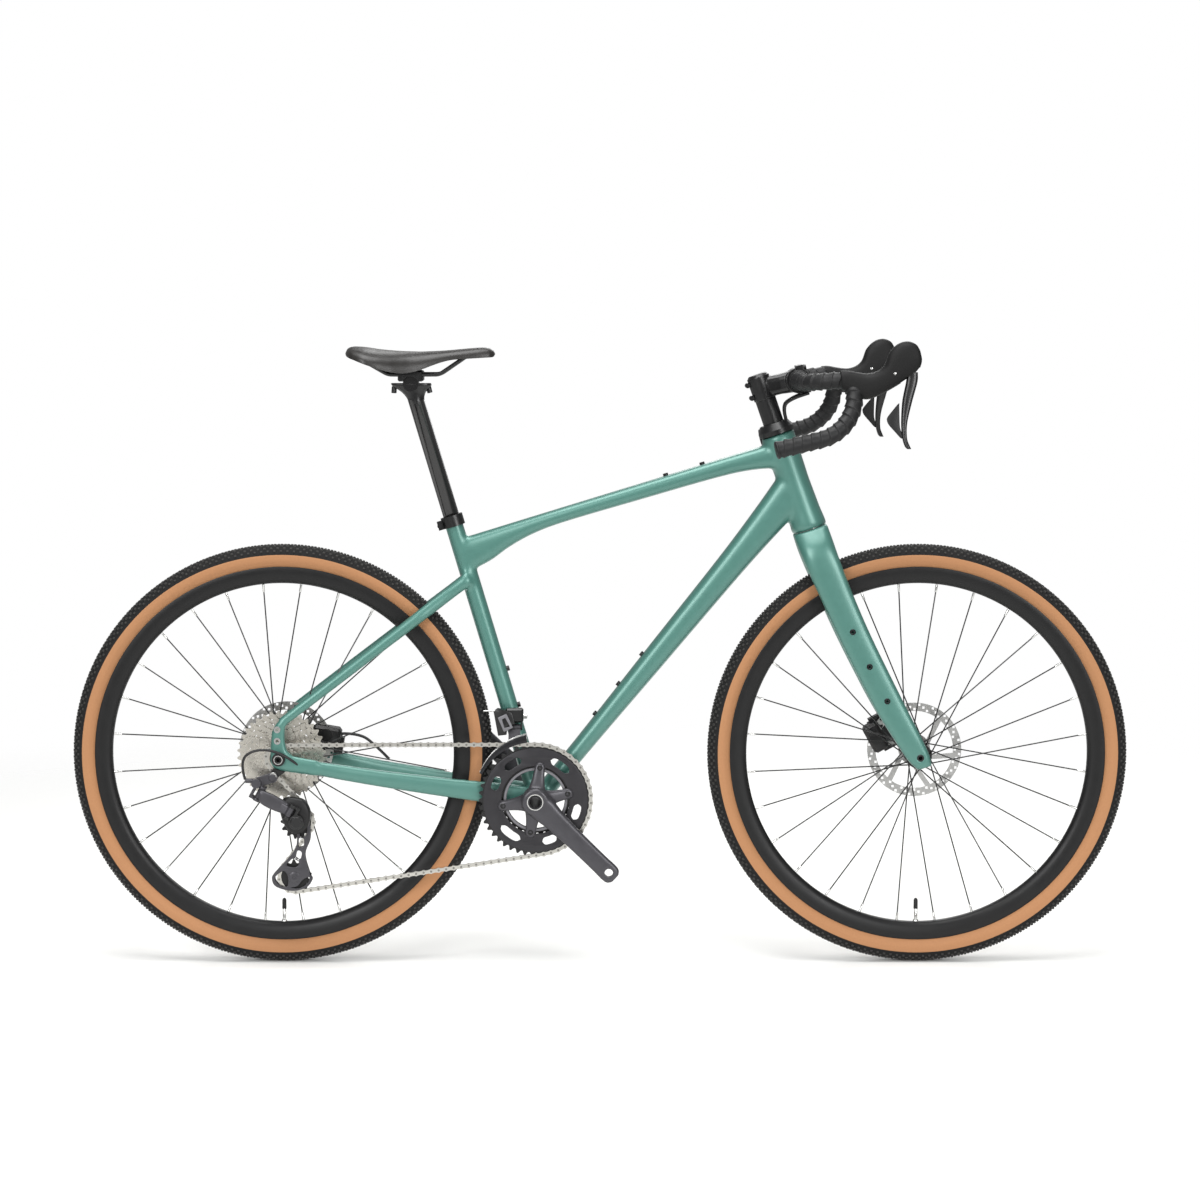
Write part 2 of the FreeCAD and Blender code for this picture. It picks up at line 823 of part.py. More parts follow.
def pitch_radius(teeth):
    return d.chain_pitch / (2 * math.sin(math.pi / teeth))


def sprocket_wire(teeth, phase):
    """A toothed outline: each gap has a flat seat that the roller rests on and flanks up to the tips."""
    centre_radius = pitch_radius(teeth)
    seat = d.roller_radius + d.roller_gap
    seat_half = seat * math.tan(math.radians(30))
    tip_radius = centre_radius + d.tooth_rise
    points = []
    for index in range(teeth):
        angle = phase + 2 * math.pi * index / teeth
        out = flat(angle, 1)
        across = flat(angle + math.pi / 2, 1)
        low = out * (centre_radius - seat)
        points.append(low - across * seat_half)
        points.append(low + across * seat_half)
        points.append(flat(angle + math.pi / teeth, tip_radius))
    return Part.makePolygon(points + points[:1])


def window(inner_radius, outer_radius, middle, half_angle):
    """A ring-shaped window between two radii."""
    corners = [flat(middle - half_angle, inner_radius), flat(middle, inner_radius),
               flat(middle + half_angle, inner_radius), flat(middle + half_angle, outer_radius),
               flat(middle, outer_radius), flat(middle - half_angle, outer_radius)]
    return Part.Wire([
        Part.Arc(corners[0], corners[1], corners[2]).toShape(),
        Part.LineSegment(corners[2], corners[3]).toShape(),
        Part.Arc(corners[3], corners[4], corners[5]).toShape(),
        Part.LineSegment(corners[5], corners[0]).toShape(),
    ])


# The chain's way round: ring, smallest cog, guide pulley, tension pulley and back to the ring
guide_pulley = rear_axle + Vector(d.rd_guide_forward, 0, -d.rd_guide_drop)


def wrap_radius(teeth):
    return d.chain_pitch * teeth / (2 * math.pi)


def tangent_angles(first, first_radius, first_way, second, second_radius, second_way):
    """Where a straight run leaves the first wheel and meets the second. Ways are +1 for a wheel
    that the chain goes round anticlockwise, seen from the drive side, and -1 for the other way."""
    gap = second - first
    heading = math.atan2(gap.z, gap.x)
    lean = math.asin((first_way * first_radius - second_way * second_radius) / gap.Length)
    side = heading - math.pi / 2 + lean
    leave = side if first_way > 0 else side + math.pi
    meet = side if second_way > 0 else side + math.pi
    return leave, meet


def chain_route(cage_turn):
    """The wheels of the loop with the angles at which the chain meets and leaves each one."""
    tension = guide_pulley + flat(cage_turn, d.rd_pulley_spacing)
    wheels = [
        (bottom_bracket, wrap_radius(RING_TEETH), 1, -d.ring_outer_line),
        (rear_axle, wrap_radius(COG_TEETH[0]), 1, cog_y),
        (guide_pulley, wrap_radius(PULLEY_TEETH), -1, cog_y),
        (tension, wrap_radius(PULLEY_TEETH), 1, cog_y),
    ]
    meets = [0.0] * len(wheels)
    leaves = [0.0] * len(wheels)
    for index, wheel in enumerate(wheels):
        other = (index + 1) % len(wheels)
        leaves[index], meets[other] = tangent_angles(*wheel[:3], *wheels[other][:3])
    return wheels, meets, leaves


def route_pieces(cage_turn):
    """Arcs and straight runs of the loop in order, each with its length."""
    wheels, meets, leaves = chain_route(cage_turn)
    pieces = []
    for index, (centre, radius, way, y) in enumerate(wheels):
        sweep = (way * (leaves[index] - meets[index])) % (2 * math.pi)
        pieces.append(("arc", radius * sweep, index))
        other = (index + 1) % len(wheels)
        start = centre + flat(leaves[index], radius)
        stop = wheels[other][0] + flat(meets[other], wheels[other][1])
        pieces.append(("run", (stop - start).Length, index))
    return wheels, meets, leaves, pieces


def route_length(cage_turn):
    return sum(piece[1] for piece in route_pieces(cage_turn)[3])


def solve_cage_turn():
    """Swings the cage from its photographed angle until the loop is a whole, even number of links."""
    shown = math.radians(-92)
    reach = math.radians(24)
    links = 2 * round(route_length(shown) / d.chain_pitch / 2)
    low, high = shown - reach, shown + reach
    for _ in range(60):
        middle = (low + high) / 2
        if (route_length(middle) < links * d.chain_pitch) == (route_length(low) < route_length(high)):
            low = middle
        else:
            high = middle
    return (low + high) / 2, links


cage_turn, chain_links = solve_cage_turn()
tension_pulley = guide_pulley + flat(cage_turn, d.rd_pulley_spacing)


def chain_points():
    """The roller centres round the loop, a pitch apart, and each toothed wheel's matching phase."""
    wheels, meets, leaves, pieces = route_pieces(cage_turn)
    teeth = (RING_TEETH, COG_TEETH[0], PULLEY_TEETH, PULLEY_TEETH)
    straight_share = 0.12
    points = []
    phases = {}
    for link in range(chain_links):
        left_over = link * d.chain_pitch
        for kind, length, index in pieces:
            if left_over < length:
                break
            left_over -= length
        centre, radius, way, y = wheels[index]
        if kind == "arc":
            angle = meets[index] + way * left_over / radius
            phases.setdefault(index, angle)
            points.append(centre + flat(angle, pitch_radius(teeth[index])) + LEFT * y)
            continue
        other = (index + 1) % len(wheels)
        start = centre + flat(leaves[index], radius)
        stop = wheels[other][0] + flat(meets[other], wheels[other][1])
        share = left_over / length
        slide = min(1, max(0, (share - straight_share) / (1 - 2 * straight_share)))
        points.append(start + (stop - start) * share + LEFT * (y + (wheels[other][3] - y) * slide))
    return points, [phases[index] for index in range(len(wheels))]


rollers, (ring_phase, cog_phase, guide_phase, tension_phase) = chain_points()


def link_plate(inner_y):
    """One side plate of a link, pointed beyond both pins, with the first pin at the origin."""
    radius = d.chain_plate_radius
    pitch = d.chain_pitch
    corner = radius / 2
    points = [Vector(-radius, 0, 0), Vector(-corner, 0, -radius), Vector(pitch + corner, 0, -radius),
              Vector(pitch + radius, 0, 0), Vector(pitch + corner, 0, radius), Vector(-corner, 0, radius)]
    return extruded([Part.makePolygon(points + points[:1])], d.chain_plate, inner_y + d.chain_plate / 2)


def chain():
    """Roller chain: inner links hold the rollers between their plates, and outer plates lie over them."""
    inner_y = d.chain_inner_half
    outer_y = inner_y + d.chain_plate
    rollers_at = [Vector(x, -inner_y, 0) for x in (0, d.chain_pitch)]
    sleeves = [prism(d.roller_radius * math.cos(math.pi / 6), 2 * inner_y, at, LEFT, 6) for at in rollers_at]
    inner = link_plate(inner_y).fuse([link_plate(-outer_y)] + sleeves).removeSplitter()
    outer = [link_plate(outer_y), link_plate(-outer_y - d.chain_plate)]
    solids = []
    for index, start in enumerate(rollers):
        stop = rollers[(index + 1) % len(rollers)]
        along = (stop - start).normalize()
        up = along.cross(LEFT).normalize()
        middle = (start + stop) / 2
        place = turned(along, up, middle - along * (d.chain_pitch / 2))
        for piece in (outer if index % 2 else [inner]):
            link = piece.copy()
            link.Placement = place
            solids += link.Solids
    return node("chain", feature("chain", Part.makeCompound(solids)))


def cassette():
    """Twelve cogs on the splined driver, held by a lockring."""
    solids = []
    window_count = 6
    window_share = 0.6
    splines = 12
    for index, teeth in enumerate(COG_TEETH):
        y = cog_y + d.cog_step * index
        phase = cog_phase if index == 0 else 0.0
        wires = [sprocket_wire(teeth, phase), polygon_wire(Vector(), LEFT, d.freehub_radius, splines)]
        outer = pitch_radius(teeth) - d.cog_rim
        inner = d.freehub_radius + d.cog_rim
        if outer > inner + d.cog_rim / 2:
            half = math.pi / window_count * window_share
            for count in range(window_count):
                middle = 2 * math.pi * count / window_count
                corners = [flat(middle - half, inner), flat(middle + half, inner),
                           flat(middle + half, outer), flat(middle - half, outer)]
                wires.append(Part.makePolygon(corners + corners[:1]))
        solids.append(extruded(wires, d.cog_thickness, y))
    bore = d.axle_radius + d.running_gap
    lock_y = cog_y - d.cog_thickness / 2
    driver_end = -d.rear_flange_right - d.flange_thickness - d.free_gap
    driver = prism(d.freehub_radius, driver_end - lock_y, LEFT * lock_y, LEFT, splines)
    hole = Part.makeCylinder(float(bore), float(2 * rear_end_y), LEFT * -rear_end_y, LEFT)
    solids.append(driver.cut(hole))
    shape = Part.makeCompound(solids)
    shape.translate(rear_axle)
    cogs = feature("cassette_cogs", shape)
    outline = [
        (-rear_end_y, bore),
        (-rear_end_y, d.hub_end_radius),
        (lock_y - d.disc_thickness, d.hub_end_radius),
        (lock_y - d.disc_thickness, d.lockring_radius),
        (lock_y, d.lockring_radius),
        (lock_y, bore),
    ]
    lockring = lathe("lockring", outline, rear_axle)
    return node("cassette", group("cassette", cogs, lockring))


def ring_plate(teeth, phase, y, bolt_radius, window_half):
    """A chainring with a web that has a window between each pair of bolts."""
    outer = pitch_radius(teeth) - d.ring_rim
    inner = bolt_radius - d.ring_bolt_head_radius
    wires = [sprocket_wire(teeth, phase), circle_wire(Vector(), inner)]
    if outer > bolt_radius + d.ring_bolt_head_radius:
        turns = [math.radians(d.crank_angle + angle) for angle in RING_BOLT_ANGLES]
        for first, second in zip(turns, turns[1:] + turns[:1]):
            middle = first + ((second - first) % (2 * math.pi)) / 2
            wires.append(window(bolt_radius + d.ring_bolt_head_radius / 2, outer, middle, window_half))
    shape = extruded(wires, d.ring_thickness, y)
    shape.translate(bottom_bracket)
    return shape


def chainrings():
    """The two chainrings with the bolts that hold them to the crank's arms."""
    window_half = math.radians(24)
    small_bolt_share = 0.74
    outer = ring_plate(RING_TEETH, ring_phase, -d.ring_outer_line, d.ring_bolt_radius, window_half)
    inner = ring_plate(INNER_RING_TEETH, ring_phase, -d.ring_inner_line,
                       d.ring_bolt_radius * small_bolt_share, window_half)
    solids = [outer, inner]
    reach = d.ring_outer_line - d.ring_inner_line - d.ring_thickness
    between_y = -(d.ring_outer_line + d.ring_inner_line) / 2
    for angle in RING_BOLT_ANGLES:
        turn = math.radians(d.crank_angle + angle)
        at = bottom_bracket + flat(turn, d.ring_bolt_radius - d.ring_bolt_head_radius / 3)
        at = at + LEFT * (between_y - reach / 2)
        solids.append(Part.makeCylinder(float(d.ring_bolt_head_radius / 2), float(reach), at, LEFT))
    return node("chainrings", feature("chainrings", Part.makeCompound(solids)))


def crank_arm(side, turn):
    """A crank arm that tapers from the spindle boss to a round end with the pedal hole."""
    along = flat(turn, 1)
    across = flat(turn + math.pi / 2, 1)
    boss_middle = (d.crank_inner_face + d.crank_boss_outer) / 2
    end_middle = d.crank_end_outer - d.crank_end_thickness / 2
    arm_shares = ((0.0, 1.15, 1.0), (0.25, 1.0, 1.05), (0.6, 0.82, 0.85), (1.0, 0.78, 0.7))
    start_y = d.crank_boss_outer - d.crank_arm_thickness / 2
    sections = []
    for place, width, thickness in arm_shares:
        y = side * (start_y + (end_middle - start_y) * place)
        centre = bottom_bracket + along * (d.crank_length * place) + LEFT * y
        sections.append((centre, across, LEFT, d.crank_arm_width / 2 * width,
                         d.crank_arm_thickness / 2 * thickness, 0.6))
    arm = loft(sections)
    boss = Part.makeCylinder(float(d.crank_boss_radius), 2 * (boss_middle - d.crank_inner_face),
                             bottom_bracket + LEFT * (side * d.crank_inner_face), LEFT * side)
    tip = bottom_bracket + along * d.crank_length
    end_at = tip + LEFT * (side * (d.crank_end_outer - d.crank_end_thickness))
    end = Part.makeCylinder(float(d.crank_end_radius), float(d.crank_end_thickness), end_at, LEFT * side)
    hole_at = tip + LEFT * (side * (d.crank_end_outer + d.cut_overrun))
    hole = Part.makeCylinder(float(d.pedal_hole_radius), d.crank_end_thickness + 2 * d.cut_overrun,
                             hole_at, LEFT * -side)
    return arm.fuse([boss, end]).cut(hole)


def crank_right():
    """The drive-side crank: arm and four-armed spider, with the hollow spindle set against its inner face."""
    turn = math.radians(d.crank_angle)
    solid = crank_arm(-1, turn)
    arms = []
    face_y = -(d.ring_outer_line + d.ring_thickness / 2)
    spider_shares = ((0.3, 0.9, 0.36), (0.7, 0.7, 0.2), (1.12, 0.5, 0.06))
    depth = d.crank_boss_outer - d.ring_outer_line
    for angle in RING_BOLT_ANGLES:
        arm_turn = turn + math.radians(angle)
        out = flat(arm_turn, 1)
        across = flat(arm_turn + math.pi / 2, 1)
        sections = []
        for place, width, rise in spider_shares:
            thickness = d.chain_plate * 4 + depth * rise
            centre = bottom_bracket + out * (d.ring_bolt_radius * place) + LEFT * (face_y - thickness / 2)
            sections.append((centre, across, LEFT, d.crank_boss_radius / 2 * width, thickness / 2, 0.35))
        arms.append(loft(sections))
    solid = solid.fuse(arms)
    face = Part.makeBox(4 * d.crank_length, 4 * d.crank_length, 4 * d.crank_length)
    face.translate(bottom_bracket + Vector(-2 * d.crank_length, face_y, -2 * d.crank_length))
    hub = Part.makeCylinder(float(d.crank_boss_radius), float(d.ring_outer_line), bottom_bracket
                            - LEFT * (d.ring_outer_line + d.ring_thickness), LEFT)
    solid = solid.cut(face.cut(hub))
    spindle_length = d.crank_inner_face + d.crank_boss_outer
    spindle = Part.makeCylinder(float(d.spindle_radius), float(spindle_length),
                                bottom_bracket - LEFT * d.crank_inner_face, LEFT)
    bore_at = bottom_bracket - LEFT * (d.crank_boss_outer + d.crank_arm_thickness)
    bore = Part.makeCylinder(float(d.spindle_bore_radius), 4 * d.crank_boss_outer, bore_at, LEFT)
    bolts = []
    for angle in RING_BOLT_ANGLES:
        at = bottom_bracket + flat(turn + math.radians(angle), d.ring_bolt_radius) + LEFT * face_y
        head = float(d.ring_bolt_head_radius)
        bolts.append(Part.makeCylinder(head, head, at, -LEFT))
    arm = solid.fuse(bolts).cut(bore).removeSplitter()
    solid = Part.makeCompound(arm.Solids + spindle.cut(bore).Solids)
    return node("crank_right", feature("crank_right", solid))


def crank_left():
    """The other crank, slit and clamped on the spindle's end."""
    turn = math.radians(d.crank_angle) + math.pi
    solid = crank_arm(1, turn)
    fit = d.spindle_radius
    hole = Part.makeCylinder(float(fit), 4 * d.crank_boss_outer, bottom_bracket, LEFT)
    return node("crank_left", feature("crank_left", solid.cut(hole)))


def bottom_bracket_cups():
    """Two threaded cups with the bearings that the spindle turns in."""
    bore = d.spindle_radius + d.running_gap
    flange = d.crank_inner_face - d.free_gap
    cups = []
    for name, side in SIDES:
        inner = d.shell_width / 2 - d.shell_radius / 2
        face = d.shell_width / 2
        outline = [
            (inner, bore),
            (inner, d.shell_bore_radius),
            (face, d.shell_bore_radius),
            (face, d.cup_flange_radius),
            (flange, d.cup_flange_radius),
            (flange, bore),
        ]
        cups.append(lathe("cup_" + name, outline, bottom_bracket, LEFT * side))
    return node("bottom_bracket_cups", group("bottom_bracket_cups", *cups))


# Frame

def head_tube_blank():
    """The head tube's outside: drawn in between a wide lower collar and the upper collar."""
    top = d.head_tube_length
    waist = (top / 2, d.head_tube_waist_radius)
    outline = [
        (d.free_gap, 0),
        (d.free_gap, d.head_tube_lower_radius),
        (d.head_tube_collar, d.head_tube_lower_radius, waist),
        (top - d.head_tube_collar, d.head_tube_upper_radius),
        (top, d.head_tube_upper_radius),
        (top, 0),
    ]
    return lathe("head_tube_blank", outline, crown, steer_up)


def head_tube_bore():
    """The bearing seats at both ends of the head tube and the passage between them."""
    top = d.head_tube_length
    passage = d.upper_bearing_radius - d.running_gap * 2
    lower_seat = d.free_gap + d.lower_bearing_height
    outline = [
        (-d.cut_overrun, 0),
        (-d.cut_overrun, d.lower_bearing_radius),
        (lower_seat, d.lower_bearing_radius),
        (lower_seat, passage),
        (top - d.upper_bearing_height, passage),
        (top - d.upper_bearing_height, d.upper_bearing_radius),
        (top + d.cut_overrun, d.upper_bearing_radius),
        (top + d.cut_overrun, 0),
    ]
    return lathe("head_tube_bore", outline, crown, steer_up)


def headset_bearings():
    """Two ring bearings that the fork's steerer turns in."""
    lower_bore = d.steerer_lower_radius + d.running_gap
    lower = lathe("lower_bearing", [
        (d.free_gap, lower_bore),
        (d.free_gap, d.lower_bearing_radius),
        (d.free_gap + d.lower_bearing_height, d.lower_bearing_radius),
        (d.free_gap + d.lower_bearing_height, lower_bore),
    ], crown, steer_up)
    upper_bore = d.steerer_radius + d.running_gap
    top = d.head_tube_length
    upper = lathe("upper_bearing", [
        (top - d.upper_bearing_height, upper_bore),
        (top - d.upper_bearing_height, d.upper_bearing_radius),
        (top, d.upper_bearing_radius),
        (top, upper_bore),
    ], crown, steer_up)
    return node("headset_bearings", group("headset_bearings", lower, upper))


def share_at(table, place, column):
    """A share read between the rows of a table whose first column is the place."""
    for before, after in zip(table, table[1:]):
        if before[0] <= place <= after[0]:
            part = (place - before[0]) / (after[0] - before[0])
            return before[column] + (after[column] - before[column]) * part
    return table[-1][column]


down_foot = bottom_bracket + FORWARD * d.down_tube_foot
down_head = on_steerer(d.down_tube_head_height)
down_along = (down_head - down_foot).normalize()
down_up = LEFT.cross(down_along) * -1
down_up = down_up if down_up.z > 0 else down_up * -1
down_shares = ((0.0, 0.66, 1.15), (0.17, 0.67, 1.06), (0.45, 0.84, 1.0), (0.74, 1.0, 1.0),
               (0.89, 1.2, 1.02), (1.0, 1.44, 1.04))

top_rear = on_seat_tube(d.top_tube_seat_height)
top_front = on_steerer(d.top_tube_head_height)
top_along = (top_front - top_rear).normalize()
top_up = Vector(-top_along.z, 0, top_along.x)
top_shares = ((0.0, 2.32, 0.80), (0.075, 2.0, 0.80), (0.14, 1.5, 0.84), (0.22, 1.12, 0.92), (0.32, 0.98, 1.0),
              (0.55, 1.04, 1.05), (0.79, 1.14, 1.1), (0.9, 1.36, 1.16), (1.0, 1.9, 1.24))


def down_tube():
    """A deep tube, flatter above the bottom bracket and deepest at the head tube."""
    sections = []
    for place, depth, width in down_shares:
        centre = down_foot + (down_head - down_foot) * place
        sections.append((centre, LEFT, down_up, d.down_tube_width / 2 * width,
                         d.down_tube_depth / 2 * depth, 0.8))
    return feature("down_blank", loft(sections))


def top_tube():
    """A slim tube with a straight top line, deepened below into a gusset at the seat tube."""
    sections = []
    for place, depth, width in top_shares:
        half = d.top_tube_depth / 2 * depth
        centre = top_rear + (top_front - top_rear) * place - top_up * half
        sections.append((centre, LEFT, top_up, d.top_tube_width / 2 * width, half, 0.8))
    return feature("top_blank", loft(sections))


def frame_bolt_rods():
    """Bolts in the frame's threaded bosses: down tube, seat tube and top tube."""
    rods = []
    down_length = (down_head - down_foot).Length
    for index in range(3):
        along = d.down_bolt_start + d.bottle_bolt_spacing * index
        half = d.down_tube_depth / 2 * share_at(down_shares, along / down_length, 1)
        at = down_foot + down_along * along
        rods.append(rod(f"down_bolt_{index}", d.bolt_head_radius, half + d.bolt_head_rise, at, down_up))
    for index in range(2):
        at = on_seat_tube(d.seat_bolt_start + d.bottle_bolt_spacing * index, -d.seat_tube_radius / 2)
        length = d.seat_tube_radius / 2 + d.bolt_head_rise
        rods.append(rod(f"seat_bolt_{index}", d.bolt_head_radius, length, at, -seat_back))
    top_length = (top_front - top_rear).Length
    for index in range(2):
        along = d.top_bolt_start + d.bottle_bolt_spacing * index
        half = d.top_tube_depth / 2 * share_at(top_shares, along / top_length, 1)
        at = top_rear + top_along * along - top_up * half
        rods.append(rod(f"top_bolt_{index}", d.bolt_head_radius, half + d.bolt_head_rise, at, top_up))
    return rods


def chainstay(side):
    """A stay squeezed between tyre and chainrings, then swelling and running out to the dropout."""
    shares = ((0.03, -0.02, 0.02, 0.95, 1.25), (0.2, -0.11, 0.21, 1.0, 0.75), (0.36, -0.17, 0.36, 0.92, 0.9),
              (0.6, -0.2, 0.6, 0.8, 1.0), (0.78, -0.16, 0.86, 0.72, 0.9), (0.88, -0.12, 1.0, 0.66, 0.45))
    line = rear_axle - bottom_bracket
    spread = d.chainstay_rear_y - d.chainstay_front_y
    sections = []
    for place, drop, out, height, width in shares:
        centre = bottom_bracket + line * place + UP * (d.chainstay_height * drop)
        centre = centre + LEFT * (side * (d.chainstay_front_y + spread * out))
        sections.append((centre, LEFT, UP, d.chainstay_width / 2 * width, d.chainstay_height / 2 * height,
                         0.8))
    return loft(sections)


seatstay_top = on_seat_tube(d.seatstay_top_height)
seatstay_foot_shares = (0.06, 0.94)
seatstay_foot = rear_axle + Vector(d.dropout_reach * seatstay_foot_shares[0], 0,
                                   d.dropout_reach * seatstay_foot_shares[1])
seatstay_shares = ((0.0, 0.0, 1.0, 1.04), (0.1, 0.07, 1.0, 1.0), (0.2, 0.22, 1.0, 1.0),
                   (0.28, 0.35, 1.0, 0.96),
                   (0.45, 0.5, 1.0, 0.9), (0.7, 0.73, 0.95, 0.85), (1.0, 1.0, 0.52, 0.8))


def seatstay(side):
    """A stay from the seat tube's flank, bowed out round the tyre, to the dropout."""
    line = seatstay_foot - seatstay_top
    along = Vector(line).normalize()
    up = Vector(along.z, 0, -along.x)
    spread = d.seatstay_rear_y - d.seatstay_top_y
    sections = []
    for place, out, width, depth in seatstay_shares:
        centre = seatstay_top + line * place + LEFT * (side * (d.seatstay_top_y + spread * out))
        sections.append((centre, LEFT, up, d.seatstay_width / 2 * width, d.seatstay_depth / 2 * depth))
    return loft(sections)


def dropout(name, side):
    """A flat end plate that holds the axle and joins both stays, with two threaded eyelets."""
    reach = d.dropout_reach
    outline = [
        (reach * -0.19, reach * 0.7),
        (reach * -0.06, reach * 0.95),
        (reach * 0.2, reach * 1.06),
        (reach * 0.17, reach * 0.75),
        (reach * 0.17, reach * 0.44, (reach * 0.21, reach * 0.22)),
        (reach * 0.36, reach * 0.09),
        (reach * 1.0, reach * -0.03),
        (reach * 1.0, reach * -0.44),
        (reach * 0.17, reach * -0.33),
        (reach * -0.14, reach * -0.24, (reach * -0.22, reach * -0.06)),
        (reach * -0.22, reach * 0.1),
    ]
    eyelet_shares = ((-0.03, 0.78), (-0.03, 0.48))
    holes = [(reach * x, reach * z, d.eyelet_radius) for x, z in eyelet_shares]
    holes.append((0, 0, d.axle_radius))
    y = side * (rear_end_y + d.dropout_thickness / 2)
    return plate("dropout_" + name, outline, d.dropout_thickness, rear_axle + LEFT * y, holes)


def derailleur_hanger():
    """A replaceable plate under the right dropout that carries the rear derailleur."""
    reach = d.dropout_reach
    radius = d.hanger_bolt_radius + d.hanger_thickness / 2
    bolt = (-d.hanger_setback, -d.hanger_drop)
    outline = [
        (reach * -0.14, reach * -0.24),
        (reach * 0.17, reach * -0.33),
        (bolt[0] + radius, bolt[1], (bolt[0], bolt[1] - radius)),
        (bolt[0] - radius, bolt[1]),
    ]
    y = -(rear_end_y + d.hanger_thickness / 2)
    holes = [(bolt[0], bolt[1], d.hanger_bolt_radius)]
    return node("derailleur_hanger", plate("derailleur_hanger", outline, d.hanger_thickness,
                                           rear_axle + LEFT * y, holes))


def frame():
    """Front triangle and rear triangle, with the bolts in their bosses."""
    bolts = frame_bolt_rods()
    head_blank = head_tube_blank()
    shell_at = bottom_bracket - LEFT * (d.shell_width / 2)
    shell_blank = rod("shell_blank", d.shell_radius, d.shell_width, shell_at, LEFT)
    seat_blank = rod("seat_blank", d.seat_tube_radius, d.seat_tube_length, bottom_bracket, seat_up)
    shell_bore = rod("shell_bore", d.shell_bore_radius, d.shell_width + 2 * d.cut_overrun,
                     shell_at - LEFT * d.cut_overrun, LEFT)
    bore_foot = on_seat_tube(d.seat_tube_length - d.seat_bore_depth)
    seat_bore = rod("seat_bore", d.post_radius + d.running_gap, d.seat_bore_depth + d.cut_overrun,
                    bore_foot, seat_up)
    head = cut("head_tube", head_blank, head_tube_bore())
    shell = cut("shell", shell_blank, shell_bore)
    seat = cut("seat_tube", seat_blank, shell_blank, seat_bore, *bolts[3:5])
    down_blank = down_tube()
    down = cut("down_tube", down_blank, head_blank, shell_blank, seat_blank, *bolts[:3])
    top = cut("top_tube", top_tube(), head_blank, seat_blank, down_blank, *bolts[5:])
    node("front_triangle", group("front_triangle", head, shell, seat, down, top))
    node("frame_bolts", group("frame_bolts", *bolts))
    halves = []
    doc.recompute()
    for name, side in SIDES:
        end = dropout(name, side)
        doc.recompute()
        stays = [stay.cut([shell_blank.Shape, seat_blank.Shape]) for stay in (chainstay(side),
                                                                              seatstay(side))]
        halves.append(feature("rear_half_" + name, end.Shape.fuse(stays)))
    bridge_place_share = 0.12
    bridge_middle = seatstay_top + (seatstay_foot - seatstay_top) * bridge_place_share
    spread = d.seatstay_rear_y - d.seatstay_top_y
    half_length = d.seatstay_top_y + spread * share_at(seatstay_shares, bridge_place_share, 1)
    bridge = rod("bridge", d.bridge_radius, half_length * 2, bridge_middle - LEFT * half_length, LEFT)
    bridge = cut("bridge_fitted", bridge, *halves)
    node("rear_triangle", group("rear_triangle", *halves, bridge))


def seat_clamp():
    """A split collar round the top of the seat tube, drawn tight by one bolt behind it."""
    outer = d.seat_tube_radius + d.seat_clamp_wall
    at = on_seat_tube(d.seat_tube_length - d.seat_clamp_height)
    lip = d.seat_clamp_wall
    ring = lathe("clamp_ring", [
        (0, d.seat_tube_radius),
        (0, outer),
        (d.seat_clamp_height + lip, outer),
        (d.seat_clamp_height + lip, d.post_radius + d.running_gap),
        (d.seat_clamp_height, d.post_radius + d.running_gap),
        (d.seat_clamp_height, d.seat_tube_radius),
    ], at, seat_up)
    ear_at = on_seat_tube(d.seat_tube_length - d.seat_clamp_height / 2, outer)
    ears = block("clamp_ears", d.seat_clamp_height, d.seat_tube_radius, d.seat_clamp_height, ear_at,
                 seat_back, seat_up)
    core = rod("clamp_core", d.seat_tube_radius, d.seat_clamp_height, at, seat_up)
    slot = block("clamp_slot", d.seat_clamp_height * 2, d.disc_thickness, d.seat_clamp_height * 4, ear_at,
                 seat_back, seat_up)
    bolt_at = ear_at + seat_back * (d.seat_clamp_height / 4) - LEFT * (d.seat_tube_radius / 2 + d.bolt_head_rise)
    bolt = rod("clamp_bolt", d.bolt_head_radius, d.seat_tube_radius + d.bolt_head_rise, bolt_at, LEFT)
    collar = fuse("clamp_collar", ring, ears)
    return node("seat_clamp", cut("seat_clamp", fuse("clamp_whole", cut("clamp_split", collar, core, slot),
                                                     bolt)))


# Fork, headset cover and stem

leg_shares = ((0.0, 0.0, 0.0, 2.08, 1.0), (0.07, 0.0, 0.28, 3.0, 1.0), (0.15, 0.02, 0.6, 1.86, 0.96),
              (0.29, 0.1, 0.68, 1.62, 0.9), (0.45, 0.22, 0.76, 1.5, 0.87), (0.6, 0.38, 0.84, 1.42, 0.85),
              (0.77, 0.59, 0.92, 1.28, 0.82), (0.92, 0.83, 1.0, 1.08, 0.72), (1.0, 0.96, 1.0, 1.0, 0.62),
              (1.045, 1.05, 1.0, 0.95, 0.42))


def leg_centre(place, rake, out, side):
    """The middle of a fork leg at a share of the fork's length below the crown."""
    spread = d.fork_end_y - d.fork_crown_half
    y = side * (d.fork_crown_half + spread * out)
    return crown - steer_up * (d.fork_length * place) + steer_forward * (d.fork_rake * rake) + LEFT * y


def fork_leg(side):
    """A blade from the crown, arched round the tyre, then slimming towards the axle."""
    sections = []
    for place, rake, out, width, depth in leg_shares:
        centre = leg_centre(place, rake, out, side)
        sections.append((centre, LEFT, steer_forward, d.fork_leg_half * width, d.fork_crown_depth * depth,
                         0.8))
    return loft(sections)


def fork_boss_places(side):
    """The outer mouths of the three threaded bosses on a fork leg and the way they face."""
    first_share = 0.435
    places = []
    for index in range(3):
        place = first_share + d.fork_boss_spacing * index / d.fork_length
        rake = share_at(leg_shares, place, 1)
        out = share_at(leg_shares, place, 2)
        half = d.fork_leg_half * share_at(leg_shares, place, 3)
        places.append(leg_centre(place, rake, out, side) + LEFT * (side * half))
    return places


